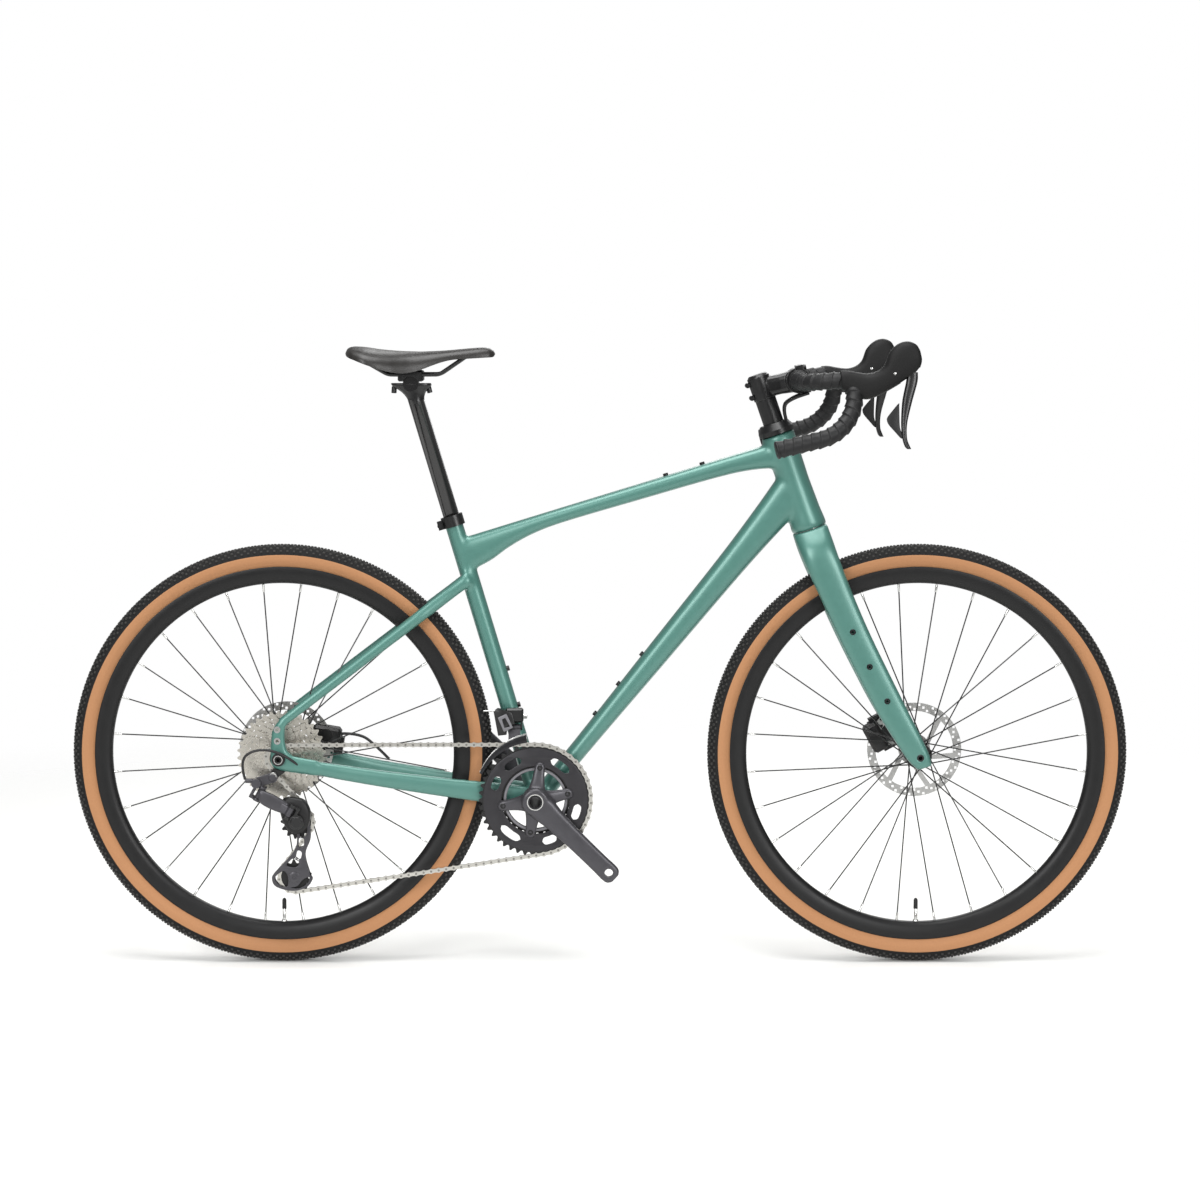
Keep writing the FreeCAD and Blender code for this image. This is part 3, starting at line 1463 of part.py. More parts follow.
def fork():
    """Tapered steerer, crown and two legs in one piece, with bosses and axle ends."""
    steerer = lathe("steerer", [
        (-d.steerer_radius, 0),
        (-d.steerer_radius, d.steerer_lower_radius),
        (d.lower_bearing_height * 2, d.steerer_lower_radius),
        (d.lower_bearing_height * 8, d.steerer_radius),
        (d.steerer_length, d.steerer_radius),
        (d.steerer_length, 0),
    ], crown, steer_up)
    legs = []
    holes = []
    for name, side in SIDES:
        leg = fork_leg(side)
        pads = []
        for mouth in fork_boss_places(side):
            length = d.fork_boss_depth
            pads.append(Part.makeCylinder(float(d.fork_boss_radius), float(length + d.seat_gap * 5),
                                          mouth - LEFT * (side * length), LEFT * side))
            holes.append(rod("boss_hole", d.fork_boss_hole_radius, d.fork_boss_depth + d.cut_overrun,
                             mouth - LEFT * (side * (d.fork_boss_depth - d.cut_overrun / 2)), LEFT * side))
        end_at = front_axle + LEFT * (side * front_end_y)
        end = Part.makeCylinder(float(d.fork_end_radius), float((d.fork_end_y - front_end_y) * 2), end_at,
                                LEFT * side)
        hollow = Part.makeCylinder(float(d.fork_end_radius * 2), float(front_end_y), front_axle, LEFT * side)
        legs.append(feature("leg_" + name, leg.fuse(pads + [end]).cut(hollow)))
    axle_at = front_axle - LEFT * d.front_hub_width
    axle_hole = rod("axle_hole", d.axle_radius, d.front_hub_width * 2, axle_at, LEFT)
    whole = fuse("fork_whole", steerer, *legs)
    above = rod("crown_trim", d.fork_crown_depth * 3, d.fork_length, crown, steer_up)
    above = cut("crown_trim_ring", above, rod("steerer_keep", d.steerer_lower_radius, d.fork_length, crown,
                                              steer_up))
    return node("fork", cut("fork", whole, axle_hole, above, *holes))


cover_foot = d.head_tube_length + d.free_gap
spacer_foot = cover_foot + d.cover_height
stem_foot = spacer_foot + 3 * d.spacer_height
stem_middle = stem_foot + d.stem_height / 2
stem_turn = math.radians(d.stem_rise_angle)
stem_along = steer_forward * math.cos(stem_turn) + steer_up * math.sin(stem_turn)
stem_up = steer_up * math.cos(stem_turn) - steer_forward * math.sin(stem_turn)
bar_centre = on_steerer(stem_middle) + stem_along * d.stem_reach


def headset_cover():
    """The sloped cover that the hoses enter, and the spacers under the stem."""
    bore = d.steerer_radius
    lip_share = 0.4
    blank = lathe("headset_cap_blank", [
        (cover_foot, bore),
        (cover_foot, d.cover_radius),
        (cover_foot + d.cover_height * lip_share, d.cover_radius),
        (spacer_foot, d.cover_top_radius),
        (spacer_foot, bore),
    ], crown, steer_up)
    pieces = [cut("headset_cap", blank, nodes["control_hoses"])]
    for index in range(3):
        low = spacer_foot + d.spacer_height * index
        high = low + d.spacer_height
        pieces.append(lathe(f"spacer_{index}", [
            (low, bore),
            (low, d.spacer_radius),
            (high, d.spacer_radius),
            (high, bore),
        ], crown, steer_up))
    return node("headset_cover", group("headset_cover", *pieces))


def stem():
    """Steerer clamp, tapered body and the rear half of the bar clamp, with a cap on top."""
    height = d.stem_height
    sleeve = rod("stem_sleeve", d.stem_clamp_radius, height, on_steerer(stem_foot), steer_up)
    start = on_steerer(stem_middle)
    body_shares = ((0.0, 1.0, 0.9), (0.5, 0.9, 0.84), (1.0, 1.1, 0.96))
    sections = []
    for place, width, depth in body_shares:
        sections.append((start + stem_along * (d.stem_reach * place), LEFT, stem_up,
                         d.stem_body_width / 2 * width, height / 2 * depth, 0.6))
    body = feature("stem_body", loft(sections))
    clamp_at = bar_centre - LEFT * (d.stem_bar_width / 2)
    clamp = rod("bar_clamp", d.stem_bar_radius, d.stem_bar_width, clamp_at, LEFT)
    bar_hole = rod("bar_hole", d.bar_clamp_radius, d.stem_bar_width * 2,
                   bar_centre - LEFT * d.stem_bar_width, LEFT)
    steerer_hole = rod("steerer_hole", d.steerer_radius, height * 3, on_steerer(stem_foot - height), steer_up)
    front = block("faceplate_side", d.stem_reach, d.stem_bar_width * 2, height * 2,
                  bar_centre + stem_along * (d.stem_reach / 2 - d.free_gap / 2), stem_along, stem_up)
    whole = fuse("stem_whole", sleeve, body, clamp)
    solid = cut("stem_solid", whole, bar_hole, steerer_hole, front)
    cap_at = stem_foot + height
    cap = lathe("top_cap", [
        (cap_at, 0),
        (cap_at, d.stem_clamp_radius - d.top_cap_height / 2),
        (cap_at + d.top_cap_height / 2, d.stem_clamp_radius - d.top_cap_height / 2),
        (cap_at + d.top_cap_height, d.steerer_radius),
        (cap_at + d.top_cap_height, 0),
    ], crown, steer_up)
    node("stem", group("stem", solid, cap))
    half = rod("faceplate_blank", d.stem_bar_radius, d.stem_bar_width, clamp_at, LEFT)
    rear = block("stem_side", d.stem_reach, d.stem_bar_width * 2, height * 2,
                 bar_centre - stem_along * (d.stem_reach / 2 - d.free_gap / 2), stem_along, stem_up)
    ears = block("faceplate_ears", d.stem_bolt_head * 3, d.stem_bar_width, d.stem_bar_radius * 2.3,
                 bar_centre + stem_along * (d.stem_bolt_head * 1.5), stem_along, stem_up)
    bolts = []
    bolt_out = d.stem_bar_radius - d.stem_bolt_head / 2
    bolt_side = d.stem_bar_width / 2 - d.stem_bolt_head * 1.6
    for up_way in (-1, 1):
        for left_way in (-1, 1):
            at = bar_centre + stem_up * (up_way * bolt_out) + LEFT * (left_way * bolt_side)
            head_at = at + stem_along * (d.stem_bolt_head * 3)
            bolts.append(rod("faceplate_bolt", d.stem_bolt_head, d.stem_bolt_head, head_at, stem_along))
    for low in (0.22, 0.78):
        at = on_steerer(stem_foot + height * low, -d.stem_clamp_radius - d.stem_bolt_head / 2)
        at = at - LEFT * (d.stem_clamp_radius / 2)
        bolts.append(rod("steerer_bolt", d.stem_bolt_head, d.stem_clamp_radius, at, LEFT))
    face = cut("faceplate", fuse("faceplate_whole", half, ears), rear, bar_hole, *bolts[:4])
    node("stem_faceplate", face)
    sleeve_keep = [cut("stem_bolt_fit", bolt, sleeve) for bolt in bolts[4:]]
    node("stem_bolts", group("stem_bolts", *bolts[:4], *sleeve_keep))


# Handlebar, tape, hoods, levers

def bar_points(side):
    """The corners of one half of the handlebar, from its top out to the end of the drop."""
    corner = bar_centre + LEFT * (side * d.bar_corner_y)
    ramp = bar_centre + Vector(d.bar_reach, side * d.bar_half_width, d.bar_ramp_rise)
    hook = bar_centre + Vector(d.bar_reach - d.bar_hook_back, side * (d.bar_half_width + d.bar_flare),
                               -d.bar_drop)
    end = bar_centre + Vector(-d.bar_end_back, side * (d.bar_half_width + d.bar_end_flare), -d.bar_end_drop)
    return [corner, ramp, hook, end]


bar_radii = [d.bar_corner_radius, d.bar_hook_top_radius, d.bar_hook_radius]


def handlebar():
    """A drop bar bent from one tube, swollen at the stem."""
    right = bar_points(-1)
    left = bar_points(1)
    path = rounded_path(right[::-1] + left, bar_radii[::-1] + bar_radii)
    tube = feature("bar_tube", pipe(path, d.bar_radius, 12))
    half = d.bar_clamp_half
    swell = lathe("bar_swell", [
        (-d.tape_start, d.bar_radius),
        (-half, d.bar_clamp_radius),
        (half, d.bar_clamp_radius),
        (d.tape_start, d.bar_radius),
        (d.tape_start, 0),
        (-d.tape_start, 0),
    ], bar_centre)
    return node("handlebar", fuse("handlebar", tube, swell))


def tape_path(side):
    """The taped stretch of one half of the bar."""
    start = bar_centre + LEFT * (side * (d.tape_start + d.seat_gap))
    return rounded_path([start] + bar_points(side), bar_radii)


def bar_tape():
    """Wound tape over each half of the bar, with a plug in each end."""
    doc.recompute()
    bar = nodes["handlebar"].Shape
    pieces = []
    for name, side in SIDES:
        path = tape_path(side)
        pieces.append(feature("tape_" + name, pipe(path, d.tape_radius, 12).cut(bar)))
        points = bar_points(side)
        way = (points[-1] - points[-2]).normalize()
        pieces.append(rod("plug_" + name, d.plug_radius, d.plug_length, points[-1] + way * d.seat_gap, way))
    return node("bar_tape", group("bar_tape", *pieces))


hood_shares = ((0.0, 0.0, 0.36, 0.92), (0.28, -0.08, 0.44, 0.98), (0.54, 0.06, 0.5, 1.0),
               (0.75, 0.42, 0.5, 0.96),
               (0.9, 0.78, 0.37, 0.84), (1.0, 0.98, 0.13, 0.36))


def hood_start(side):
    return bar_centre + Vector(d.bar_reach * 0.77, side * d.bar_half_width, d.bar_ramp_rise / 2)


def lever_pivot(side):
    forward_share = 0.72
    up_share = 0.27
    return hood_start(side) + Vector(d.hood_length * forward_share, side * d.lever_out,
                                     d.hood_horn * up_share)


def hood_loft(side):
    """The lever's rubber-covered body: level along the bar, then rising to a rounded horn."""
    start = hood_start(side)
    centres = [start + Vector(d.hood_length * forward, side * d.lever_out * forward, d.hood_horn * up)
               for forward, up, depth, width in hood_shares]
    sections = []
    for index, (forward, up, depth, width) in enumerate(hood_shares):
        before = centres[max(index - 1, 0)]
        after = centres[min(index + 1, len(centres) - 1)]
        along = Vector(after.x - before.x, 0, after.z - before.z).normalize()
        raised = Vector(-along.z, 0, along.x)
        sections.append((centres[index], LEFT, raised, d.hood_width / 2 * width, d.hood_depth * depth, 0.8))
    return loft(sections)


def lever_slot(side):
    """The space in the body's nose that the brake lever swings in."""
    pivot = lever_pivot(side)
    back = d.lever_head_radius + d.free_gap
    length = d.hood_length / 2
    height = d.hood_depth * 2
    box = Part.makeBox(float(length), float(d.lever_head_width + 2 * d.free_gap), float(height))
    box.translate(pivot + Vector(-back, -(d.lever_head_width / 2 + d.free_gap), back - height))
    return box


def lever_hood(name, side):
    """One lever body with its slot and the pin that the lever turns on."""
    body = hood_loft(side).cut(lever_slot(side)).cut(pipe(tape_path(side), d.tape_radius, 12))
    solid = max(body.Solids, key=lambda piece: piece.Volume)
    pivot = lever_pivot(side)
    length = d.lever_head_width + d.lever_pin_radius * 3
    pin = Part.makeCylinder(float(d.lever_pin_radius), float(length), pivot - LEFT * (length / 2), LEFT)
    return node("lever_hood_" + name, feature("lever_hood_" + name, solid.fuse(pin)))


lever_shares = ((0.22, 0.0, 0.0, 1.0, 0.95), (0.21, 0.13, 0.06, 1.0, 1.0), (0.145, 0.39, 0.3, 1.05, 0.85),
                (0.1, 0.68, 0.62, 0.95, 0.52), (0.11, 0.85, 0.82, 0.85, 0.42), (0.155, 1.0, 1.0, 0.75, 0.46))


def lever_centre(side, forward, down, out):
    pivot = lever_pivot(side)
    return pivot + Vector(d.lever_length * forward, side * d.lever_flare * out, -d.lever_length * down)


def brake_lever(name, side):
    """A curved blade hung from a round head on the pivot pin, with a hinge pin for the paddle."""
    pivot = lever_pivot(side)
    sections = []
    for forward, down, out, width, depth in lever_shares:
        centre = lever_centre(side, forward, down, out)
        sections.append((centre, LEFT, FORWARD, d.lever_width / 2 * width, d.lever_thickness * depth, 0.8))
    blade = loft(sections)
    head = Part.makeCylinder(float(d.lever_head_radius), float(d.lever_head_width),
                             pivot - LEFT * (d.lever_head_width / 2), LEFT)
    arm = Part.makeBox(float(d.lever_length * lever_shares[0][0]), float(d.lever_width),
                       float(d.lever_head_radius * 1.6))
    arm.translate(pivot + Vector(0, -d.lever_width / 2, -d.lever_head_radius))
    bore = Part.makeCylinder(float(d.lever_pin_radius + d.running_gap), float(d.lever_head_width * 2),
                             pivot - LEFT * d.lever_head_width, LEFT)
    top, bottom = paddle_axis(side)
    along = (top - bottom).normalize()
    length = (top - bottom).Length
    pin = Part.makeCylinder(float(d.paddle_pin_radius), length + 2 * d.paddle_ear,
                            bottom - along * d.paddle_ear, along)
    ears = []
    for end, way in ((top, along), (bottom, -along)):
        at = end + way * d.running_gap
        ear_length = d.paddle_ear - d.running_gap
        ears.append(Part.makeCylinder(float(d.paddle_pin_radius * 2), float(ear_length), at, way))
        reach = Part.makeCylinder(float(d.paddle_pin_radius), float(d.lever_thickness),
                                  at + way * (ear_length / 2), FORWARD)
        ears.append(reach)
    solid = blade.fuse([head, arm]).cut(bore).fuse([pin] + ears)
    return node("brake_lever_" + name, feature("brake_lever_" + name, solid))


def paddle_axis(side):
    """The upper and lower end of the line that a shift paddle swings about, behind the blade."""
    high, low = 0.44, 0.8
    ends = []
    for down in (high, low):
        forward = share_at([(row[1], row[0]) for row in lever_shares], down, 1)
        out = share_at([(row[1], row[2]) for row in lever_shares], down, 1)
        depth = share_at([(row[1], row[4]) for row in lever_shares], down, 1)
        back = d.lever_thickness * depth + d.paddle_pin_radius * 2 + d.paddle_ear
        ends.append(lever_centre(side, forward, down, out) - FORWARD * back)
    return ends


def shift_paddle(name, side):
    """A thin paddle behind the brake lever, hinged so that a finger pushes it inwards."""
    top, bottom = paddle_axis(side)
    along = (top - bottom).normalize()
    length = (top - bottom).Length
    barrel = Part.makeCylinder(float(d.paddle_pin_radius * 2), length, bottom, along)
    back = Vector(-1, 0, 0)
    half = LEFT * (d.paddle_thickness / 2)
    corner_shares = ((0.0, 0.92), (0.75, 0.5), (1.0, 0.24), (0.9, 0.08), (0.0, 0.08))
    corners = [bottom + along * (length * up) + back * (d.paddle_reach * rear) - half for rear,
               up in corner_shares]
    blade = Part.Face(Part.makePolygon(corners + corners[:1])).extrude(half * 2)
    bore = Part.makeCylinder(float(d.paddle_pin_radius + d.running_gap), length * 2,
                             bottom - along * (length / 2), along)
    return node("shift_paddle_" + name, feature("shift_paddle_" + name, barrel.fuse(blade).cut(bore)))


def control_hoses():
    """Brake hoses and shift housings from under the bar into the headset cover, and the front hose."""
    wires = []
    entry = on_steerer(spacer_foot - d.cover_height / 2, d.cover_top_radius - d.hose_radius)
    for side in (-1, 1):
        for lane in (0, 1):
            spread = d.hose_radius * 2.4
            out = side * (d.hose_radius * 1.3 + spread * lane)
            start = bar_centre + Vector(d.bar_clamp_radius,
                                        side * (d.stem_bar_width / 2 + spread * (lane + 2)),
                                        -d.bar_clamp_radius - d.hose_radius * 2)
            middle = bar_centre + Vector(-d.hose_radius * 7, out + side * d.hose_radius * 4,
                                         -d.bar_clamp_radius * 2)
            low = entry + steer_up * (d.cover_height * 0.8) + LEFT * out
            wires.append(cord_path([start, middle, low + steer_up * d.cover_height / 2, entry + LEFT * out]))
    solids = [pipe(wire, d.hose_radius) for wire in wires]
    return node("control_hoses", feature("control_hoses", Part.makeCompound(solids)))


# Disc brakes

def caliper(name, centre, along, out, axle, disc_y, mount_y, against):
    """A flat-mount caliper astride the disc, with its feet on the frame or fork and two bolts."""
    width = d.caliper_width
    middle = centre + LEFT * (disc_y + (mount_y - disc_y) * 0.3)
    body = block(name + "_body", d.caliper_length * 0.8, width, d.caliper_height, middle, along, out)
    body = bevelled(name + "_rounded", body, d.caliper_fillet)
    foot_centre = centre + LEFT * mount_y - out * d.caliper_height * 0.6
    foot = block(name + "_foot", d.caliper_length, width * 0.5, d.caliper_height, foot_centre, along, out)
    whole = fuse(name + "_whole", body, foot)
    slot_at = axle + LEFT * (disc_y - d.caliper_slot / 2)
    slot = rod(name + "_slot", d.disc_radius + d.disc_thickness, d.caliper_slot, slot_at, LEFT)
    pistons = []
    for way in (-1, 1):
        face = middle + LEFT * (way * width / 2)
        pistons.append(rod(name + "_piston", d.piston_radius, d.caliper_fillet / 2, face, LEFT * way))
    bolts = []
    for end in (-0.36, 0.36):
        at = centre + LEFT * mount_y + along * (d.caliper_length * end) - out * (d.caliper_height * 0.1)
        bolts.append(rod(name + "_bolt", d.bolt_head_radius, d.bolt_head_rise, at, out))
    solid = cut(name + "_cut", fuse(name + "_all", whole, *pistons, *bolts), slot, *against)
    return node(name, solid)


def brake_pad(name, axle, disc_y, angle, way):
    """A brake pad with its backing, a small gap off the disc."""
    radial = flat(angle, 1)
    middle_radius = d.disc_radius - d.disc_track / 2
    y = disc_y + way * (d.disc_thickness / 2 + d.pad_gap + d.pad_thickness / 2)
    centre = axle + radial * middle_radius + LEFT * y
    pad = block(name, d.disc_track, d.pad_thickness, d.pad_height, centre, radial, LEFT.cross(radial))
    return node(name, pad)


def frame_hoses():
    """Rear shift housing from the chainstay to the derailleur, and the rear brake hose."""
    y = -(rear_end_y + d.dropout_thickness)
    exit_at = rear_axle + Vector(d.dropout_reach * 0.5, y + d.housing_radius, d.dropout_reach * -0.15)
    housing = [
        exit_at,
        rear_axle + Vector(d.dropout_reach * 0.12, y - d.housing_radius * 4, d.dropout_reach * 0.2),
        rear_axle + Vector(d.dropout_reach * -0.55, y - d.housing_radius * 6, d.dropout_reach * 0.32),
        rear_axle + Vector(d.dropout_reach * -1.0, y - d.housing_radius * 6, d.dropout_reach * 0.02),
        rd_b_pivot + Vector(-d.rd_knuckle_radius * 1.5, y - d.housing_radius * 4, d.rd_knuckle_radius * 0.5),
    ]
    start = rear_caliper_centre + Vector(d.caliper_length * 0.4, rear_disc_y + d.hose_radius * 2, 0)
    brake = [
        start,
        start + Vector(d.caliper_length * 0.5, d.hose_radius * 2, 0),
        start + Vector(d.caliper_length * 0.95, -d.hose_radius, -d.caliper_height * 0.7),
        start + Vector(d.caliper_length * 1.25, -d.hose_radius * 2, -d.caliper_height * 1.25),
    ]
    seats = [nodes[name].Shape for name in ("rear_triangle", "rear_caliper", "rd_knuckle")]
    solids = []
    for route, radius in ((housing, d.housing_radius), (brake, d.hose_radius)):
        pieces = pipe(cord_path(route), radius).cut(seats).Solids
        solids.append(max(pieces, key=lambda piece: piece.Volume))
    return node("frame_hoses", feature("frame_hoses", Part.makeCompound(solids)))


# Seatpost and saddle

post_head = on_seat_tube(d.seat_tube_length + d.post_exposed + d.post_head_radius)
saddle_rear_x = post_head.x - d.saddle_setback
saddle_shares = ((0.0, 0.5, -0.12, 0.3), (0.035, 0.8, -0.03, 0.45), (0.12, 1.0, 0.0, 0.62),
                 (0.28, 0.9, -0.12, 0.85),
                 (0.42, 0.66, -0.23, 0.88), (0.55, 0.5, -0.28, 0.95), (0.61, 0.45, -0.26, 1.16),
                 (0.72, 0.39, -0.2, 0.96), (0.88, 0.31, -0.05, 0.68), (0.97, 0.22, -0.02, 0.5), (1.0, 0.12,
                                                                                                 -0.1, 0.36))
arch_shares = ((1.0, 0.0), (0.98, 0.36), (0.92, 0.66), (0.78, 0.86), (0.46, 0.97), (0.0, 1.0))


def saddle_solid(side_inset, top_inset, below):
    """A solid under the saddle's crown: arched cross-sections from the wide rear to the nose. The
    insets draw its sides, ends and top inwards, and below lets its floor down."""
    wires = []
    for place, width, top, skirt in saddle_shares:
        length = d.saddle_length - 2 * side_inset
        x = saddle_rear_x + side_inset + length * place
        half = max(d.saddle_width / 2 * width - side_inset, d.saddle_shell_wall)
        crest = d.saddle_top_height + d.saddle_thickness * top
        floor = crest - d.saddle_thickness * skirt - below
        high = crest - top_inset - floor
        arch = [Vector(x, half * across, floor + high * up) for across, up in arch_shares]
        arch += [Vector(x, -point.y, point.z) for point in reversed(arch[:-1])]
        wires.append(Part.makePolygon(arch + arch[:1]))
    return Part.makeLoft(wires, True, True)


def rail_points(side):
    """One saddle rail: out of the rear of the shell, level through the clamp and up into the nose."""
    level = d.saddle_rail_height
    rear = Vector(saddle_rear_x + d.saddle_length * 0.12, side * d.rail_rear_spacing / 2,
                  d.saddle_top_height - d.saddle_cover_top * 1.6)
    nose = Vector(saddle_rear_x + d.saddle_length * 0.89, side * d.rail_nose_spacing / 2,
                  d.saddle_top_height - d.saddle_cover_top * 1.8)
    back = Vector(post_head.x - d.cradle_length * 0.9, side * d.rail_spacing / 2, level)
    front = Vector(post_head.x + d.cradle_length * 1.2, side * d.rail_spacing / 2, level)
    return [rear, back, front, nose]


def saddle():
    """Cover over a thin shell, on two steel rails held in the seatpost's cradle."""
    below = d.saddle_shell_wall
    side_inset = d.saddle_cover_side
    top_inset = d.saddle_cover_top
    wall = d.saddle_shell_wall
    outside = saddle_solid(0, 0, 0)
    lining = saddle_solid(side_inset, top_inset, below)
    cavity = saddle_solid(side_inset + wall, top_inset + wall, below * 2)
    cover = outside.cut(lining)
    shell = lining.common(outside).cut(cavity)
    node("saddle_cover", feature("saddle_cover", max(cover.Solids, key=lambda piece: piece.Volume)))
    node("saddle_shell", feature("saddle_shell", max(shell.Solids, key=lambda piece: piece.Volume)))
    bends = [d.rail_bend_radius, d.rail_bend_radius]
    rails = [pipe(rounded_path(rail_points(side), bends), d.rail_radius) for name, side in SIDES]
    trimmed = []
    for rail in rails:
        pieces = rail.cut([nodes["saddle_cover"].Shape, nodes["saddle_shell"].Shape]).Solids
        trimmed.append(max(pieces, key=lambda piece: piece.Volume))
    node("saddle_rails", feature("saddle_rails", Part.makeCompound(trimmed)))
    level = d.saddle_rail_height
    high = level + d.rail_radius + d.cradle_height / 3
    low = post_head.z + d.cradle_lift
    centre = Vector(post_head.x, 0, (high + low) / 2)
    body = block("cradle_body", d.cradle_length, d.cradle_width, Size(high - low, repr(float(high - low))),
                 centre)
    ends = LEFT * d.cradle_width
    head = rod("cradle_seat", d.post_head_radius + d.running_gap, d.cradle_width * 2, post_head - ends, LEFT)
    bolts = []
    for end in (-0.32, 0.32):
        at = Vector(post_head.x + d.cradle_length * end, 0, high)
        bolts.append(rod("cradle_bolt", d.bolt_head_radius, d.bolt_head_rise / 2, at, UP))
    body = bevelled("cradle_rounded", body, d.cradle_height / 4)
    seats = [nodes[name] for name in ("saddle_rails", "saddle_shell", "saddle_cover")]
    node("saddle_cradle", cut("saddle_cradle", fuse("cradle_whole", body, *bolts), head, *seats))


def seatpost():
    """A plain round post with a cross head that the saddle's cradle tilts on."""
    foot = on_seat_tube(d.seat_tube_length - d.post_insert)
    length = d.post_insert + d.post_exposed + d.post_head_radius
    tube = rod("post_tube", d.post_radius, length, foot, seat_up)
    head = rod("post_head", d.post_head_radius, d.post_head_width,
               post_head - LEFT * (d.post_head_width / 2), LEFT)
    clear = rod("post_head_clear", d.post_head_radius, d.post_head_width,
                post_head - LEFT * (d.post_head_width / 2), LEFT)
    above = block("post_trim", d.post_head_width * 2, d.post_head_width * 2, d.post_head_width,
                  post_head + UP * (d.post_head_width / 2))
    return node("seatpost", fuse("seatpost", cut("post_trimmed", tube, above, clear), head))


# Rear derailleur

rd_b_pivot = rear_axle + Vector(-d.rd_b_knuckle_setback, 0, -d.rd_b_knuckle_drop)
rd_along = Vector(d.rd_link_forward, 0, -d.rd_link_fall).normalize()
rd_axis = Vector(-rd_along.z, 0, rd_along.x)
rd_lean = math.radians(d.rd_lean_angle)
rd_link_way = rd_along * math.cos(rd_lean) - LEFT * math.sin(rd_lean)
rd_inner_y = -(rear_end_y + d.hanger_thickness / 2)
rd_b_end = rd_b_pivot + Vector(d.rd_b_forward, rd_inner_y, -d.rd_b_fall)
rd_p_end = rd_b_end + rd_link_way * d.rd_link_length
cage_pivot = guide_pulley + Vector(-d.rd_cage_back, 0, d.rd_cage_up)
cage_outer_y = cog_y - d.rd_plate_half_gap - d.rd_plate


def pivot_ears(ends, toward, reach):
    """A pair of ears above and below the two link pivots, joined by a web, with both pivot pins."""
    half = d.rd_link_height / 2
    ear = d.rd_link_thickness
    radius = d.rd_pivot_radius * 2.4
    solids = []
    for way in (-1, 1):
        outline = []
        for end in ends:
            at = end + rd_axis * (way * (half + d.free_gap / 2))
            solids.append(Part.makeCylinder(float(radius), float(ear), at, rd_axis * way))
            outline.append(at)
        across = (outline[1] - outline[0])
        corners = [outline[0], outline[1], outline[1] + toward * reach, outline[0] + toward * reach]
        face = Part.Face(Part.makePolygon(corners + corners[:1]))
        solids.append(face.extrude(rd_axis * (way * ear)))
    base = ends[0] + toward * reach - rd_axis * (half + d.free_gap / 2 + ear)
    across = ends[1] - ends[0]
    web = Part.Face(Part.makePolygon([base, base + across, base + across + toward * ear,
                                      base + toward * ear, base]))
    solids.append(web.extrude(rd_axis * (2 * (half + ear) + d.free_gap)))
    for end in ends:
        at = end - rd_axis * (half + d.free_gap)
        solids.append(Part.makeCylinder(float(d.rd_pivot_radius), float(2 * half + 2 * d.free_gap), at,
                                        rd_axis))
    return solids


def rd_ends(first):
    return [first, first - LEFT * d.rd_link_gap]


def rd_knuckle():
    """The upper knuckle: bolted to the hanger, it carries the outer ends of both links."""
    outside = -(rear_end_y + d.hanger_thickness)
    hanger_bolt = rear_axle + Vector(-d.hanger_setback, outside, -d.hanger_drop)
    boss_at = Vector(rd_b_pivot.x, outside, rd_b_pivot.z)
    radius = d.hanger_bolt_radius + d.hanger_thickness / 2
    thickness = float(d.hanger_thickness)
    link = [Part.makeCylinder(float(radius), thickness, at, -LEFT) for at in (hanger_bolt, boss_at)]
    along = (boss_at - hanger_bolt).normalize()
    up = along.cross(LEFT).normalize()
    corners = [hanger_bolt + up * radius, boss_at + up * radius, boss_at - up * radius,
               hanger_bolt - up * radius]
    link.append(Part.Face(Part.makePolygon(corners + corners[:1])).extrude(-LEFT * thickness))
    bolt = Part.makeCylinder(float(d.hanger_bolt_radius), float(d.hanger_thickness * 2.4),
                             hanger_bolt + LEFT * d.hanger_thickness, -LEFT)
    boss = Part.makeCylinder(float(d.rd_boss_radius), float(d.rd_knuckle_width), boss_at, -LEFT)
    ears = pivot_ears(rd_ends(rd_b_end), rd_along * -1, d.rd_pivot_radius * 3.4)
    entry_at = rd_b_pivot + Vector(-d.rd_knuckle_radius * 1.5, outside - d.rd_knuckle_width / 2,
                                   d.rd_knuckle_radius * 0.3)
    entry = Part.makeCylinder(float(d.housing_radius * 1.8), float(d.rd_knuckle_radius * 1.5), entry_at,
                              FORWARD)
    solid = link[0].fuse(link[1:] + [bolt, boss, entry] + ears).removeSplitter()
    return node("rd_knuckle", feature("rd_knuckle", solid))


def rd_link(name, start, thickness):
    """One link of the parallelogram: two bored barrels and a web that is thinner in the middle."""
    half = d.rd_link_height / 2
    barrel = d.rd_pivot_radius * 2
    solids = []
    stop = start + rd_link_way * d.rd_link_length
    for at in (start, stop):
        solids.append(Part.makeCylinder(float(barrel), float(2 * half), at - rd_axis * half, rd_axis))
    across = rd_axis.cross(rd_link_way)
    corners = [start + across * (thickness / 2), stop + across * (thickness / 2),
               stop - across * (thickness / 2), start - across * (thickness / 2)]
    web = Part.Face(Part.makePolygon(corners + corners[:1]))
    web.translate(rd_axis * (-half * 0.85))
    solids.append(web.extrude(rd_axis * (half * 1.7)))
    solid = solids[0].fuse(solids[1:])
    for at in (start, stop):
        bore = Part.makeCylinder(float(d.rd_pivot_radius + d.running_gap), float(4 * half),
                                 at - rd_axis * (2 * half), rd_axis)
        solid = solid.cut(bore)
    return node(name, feature(name, solid))


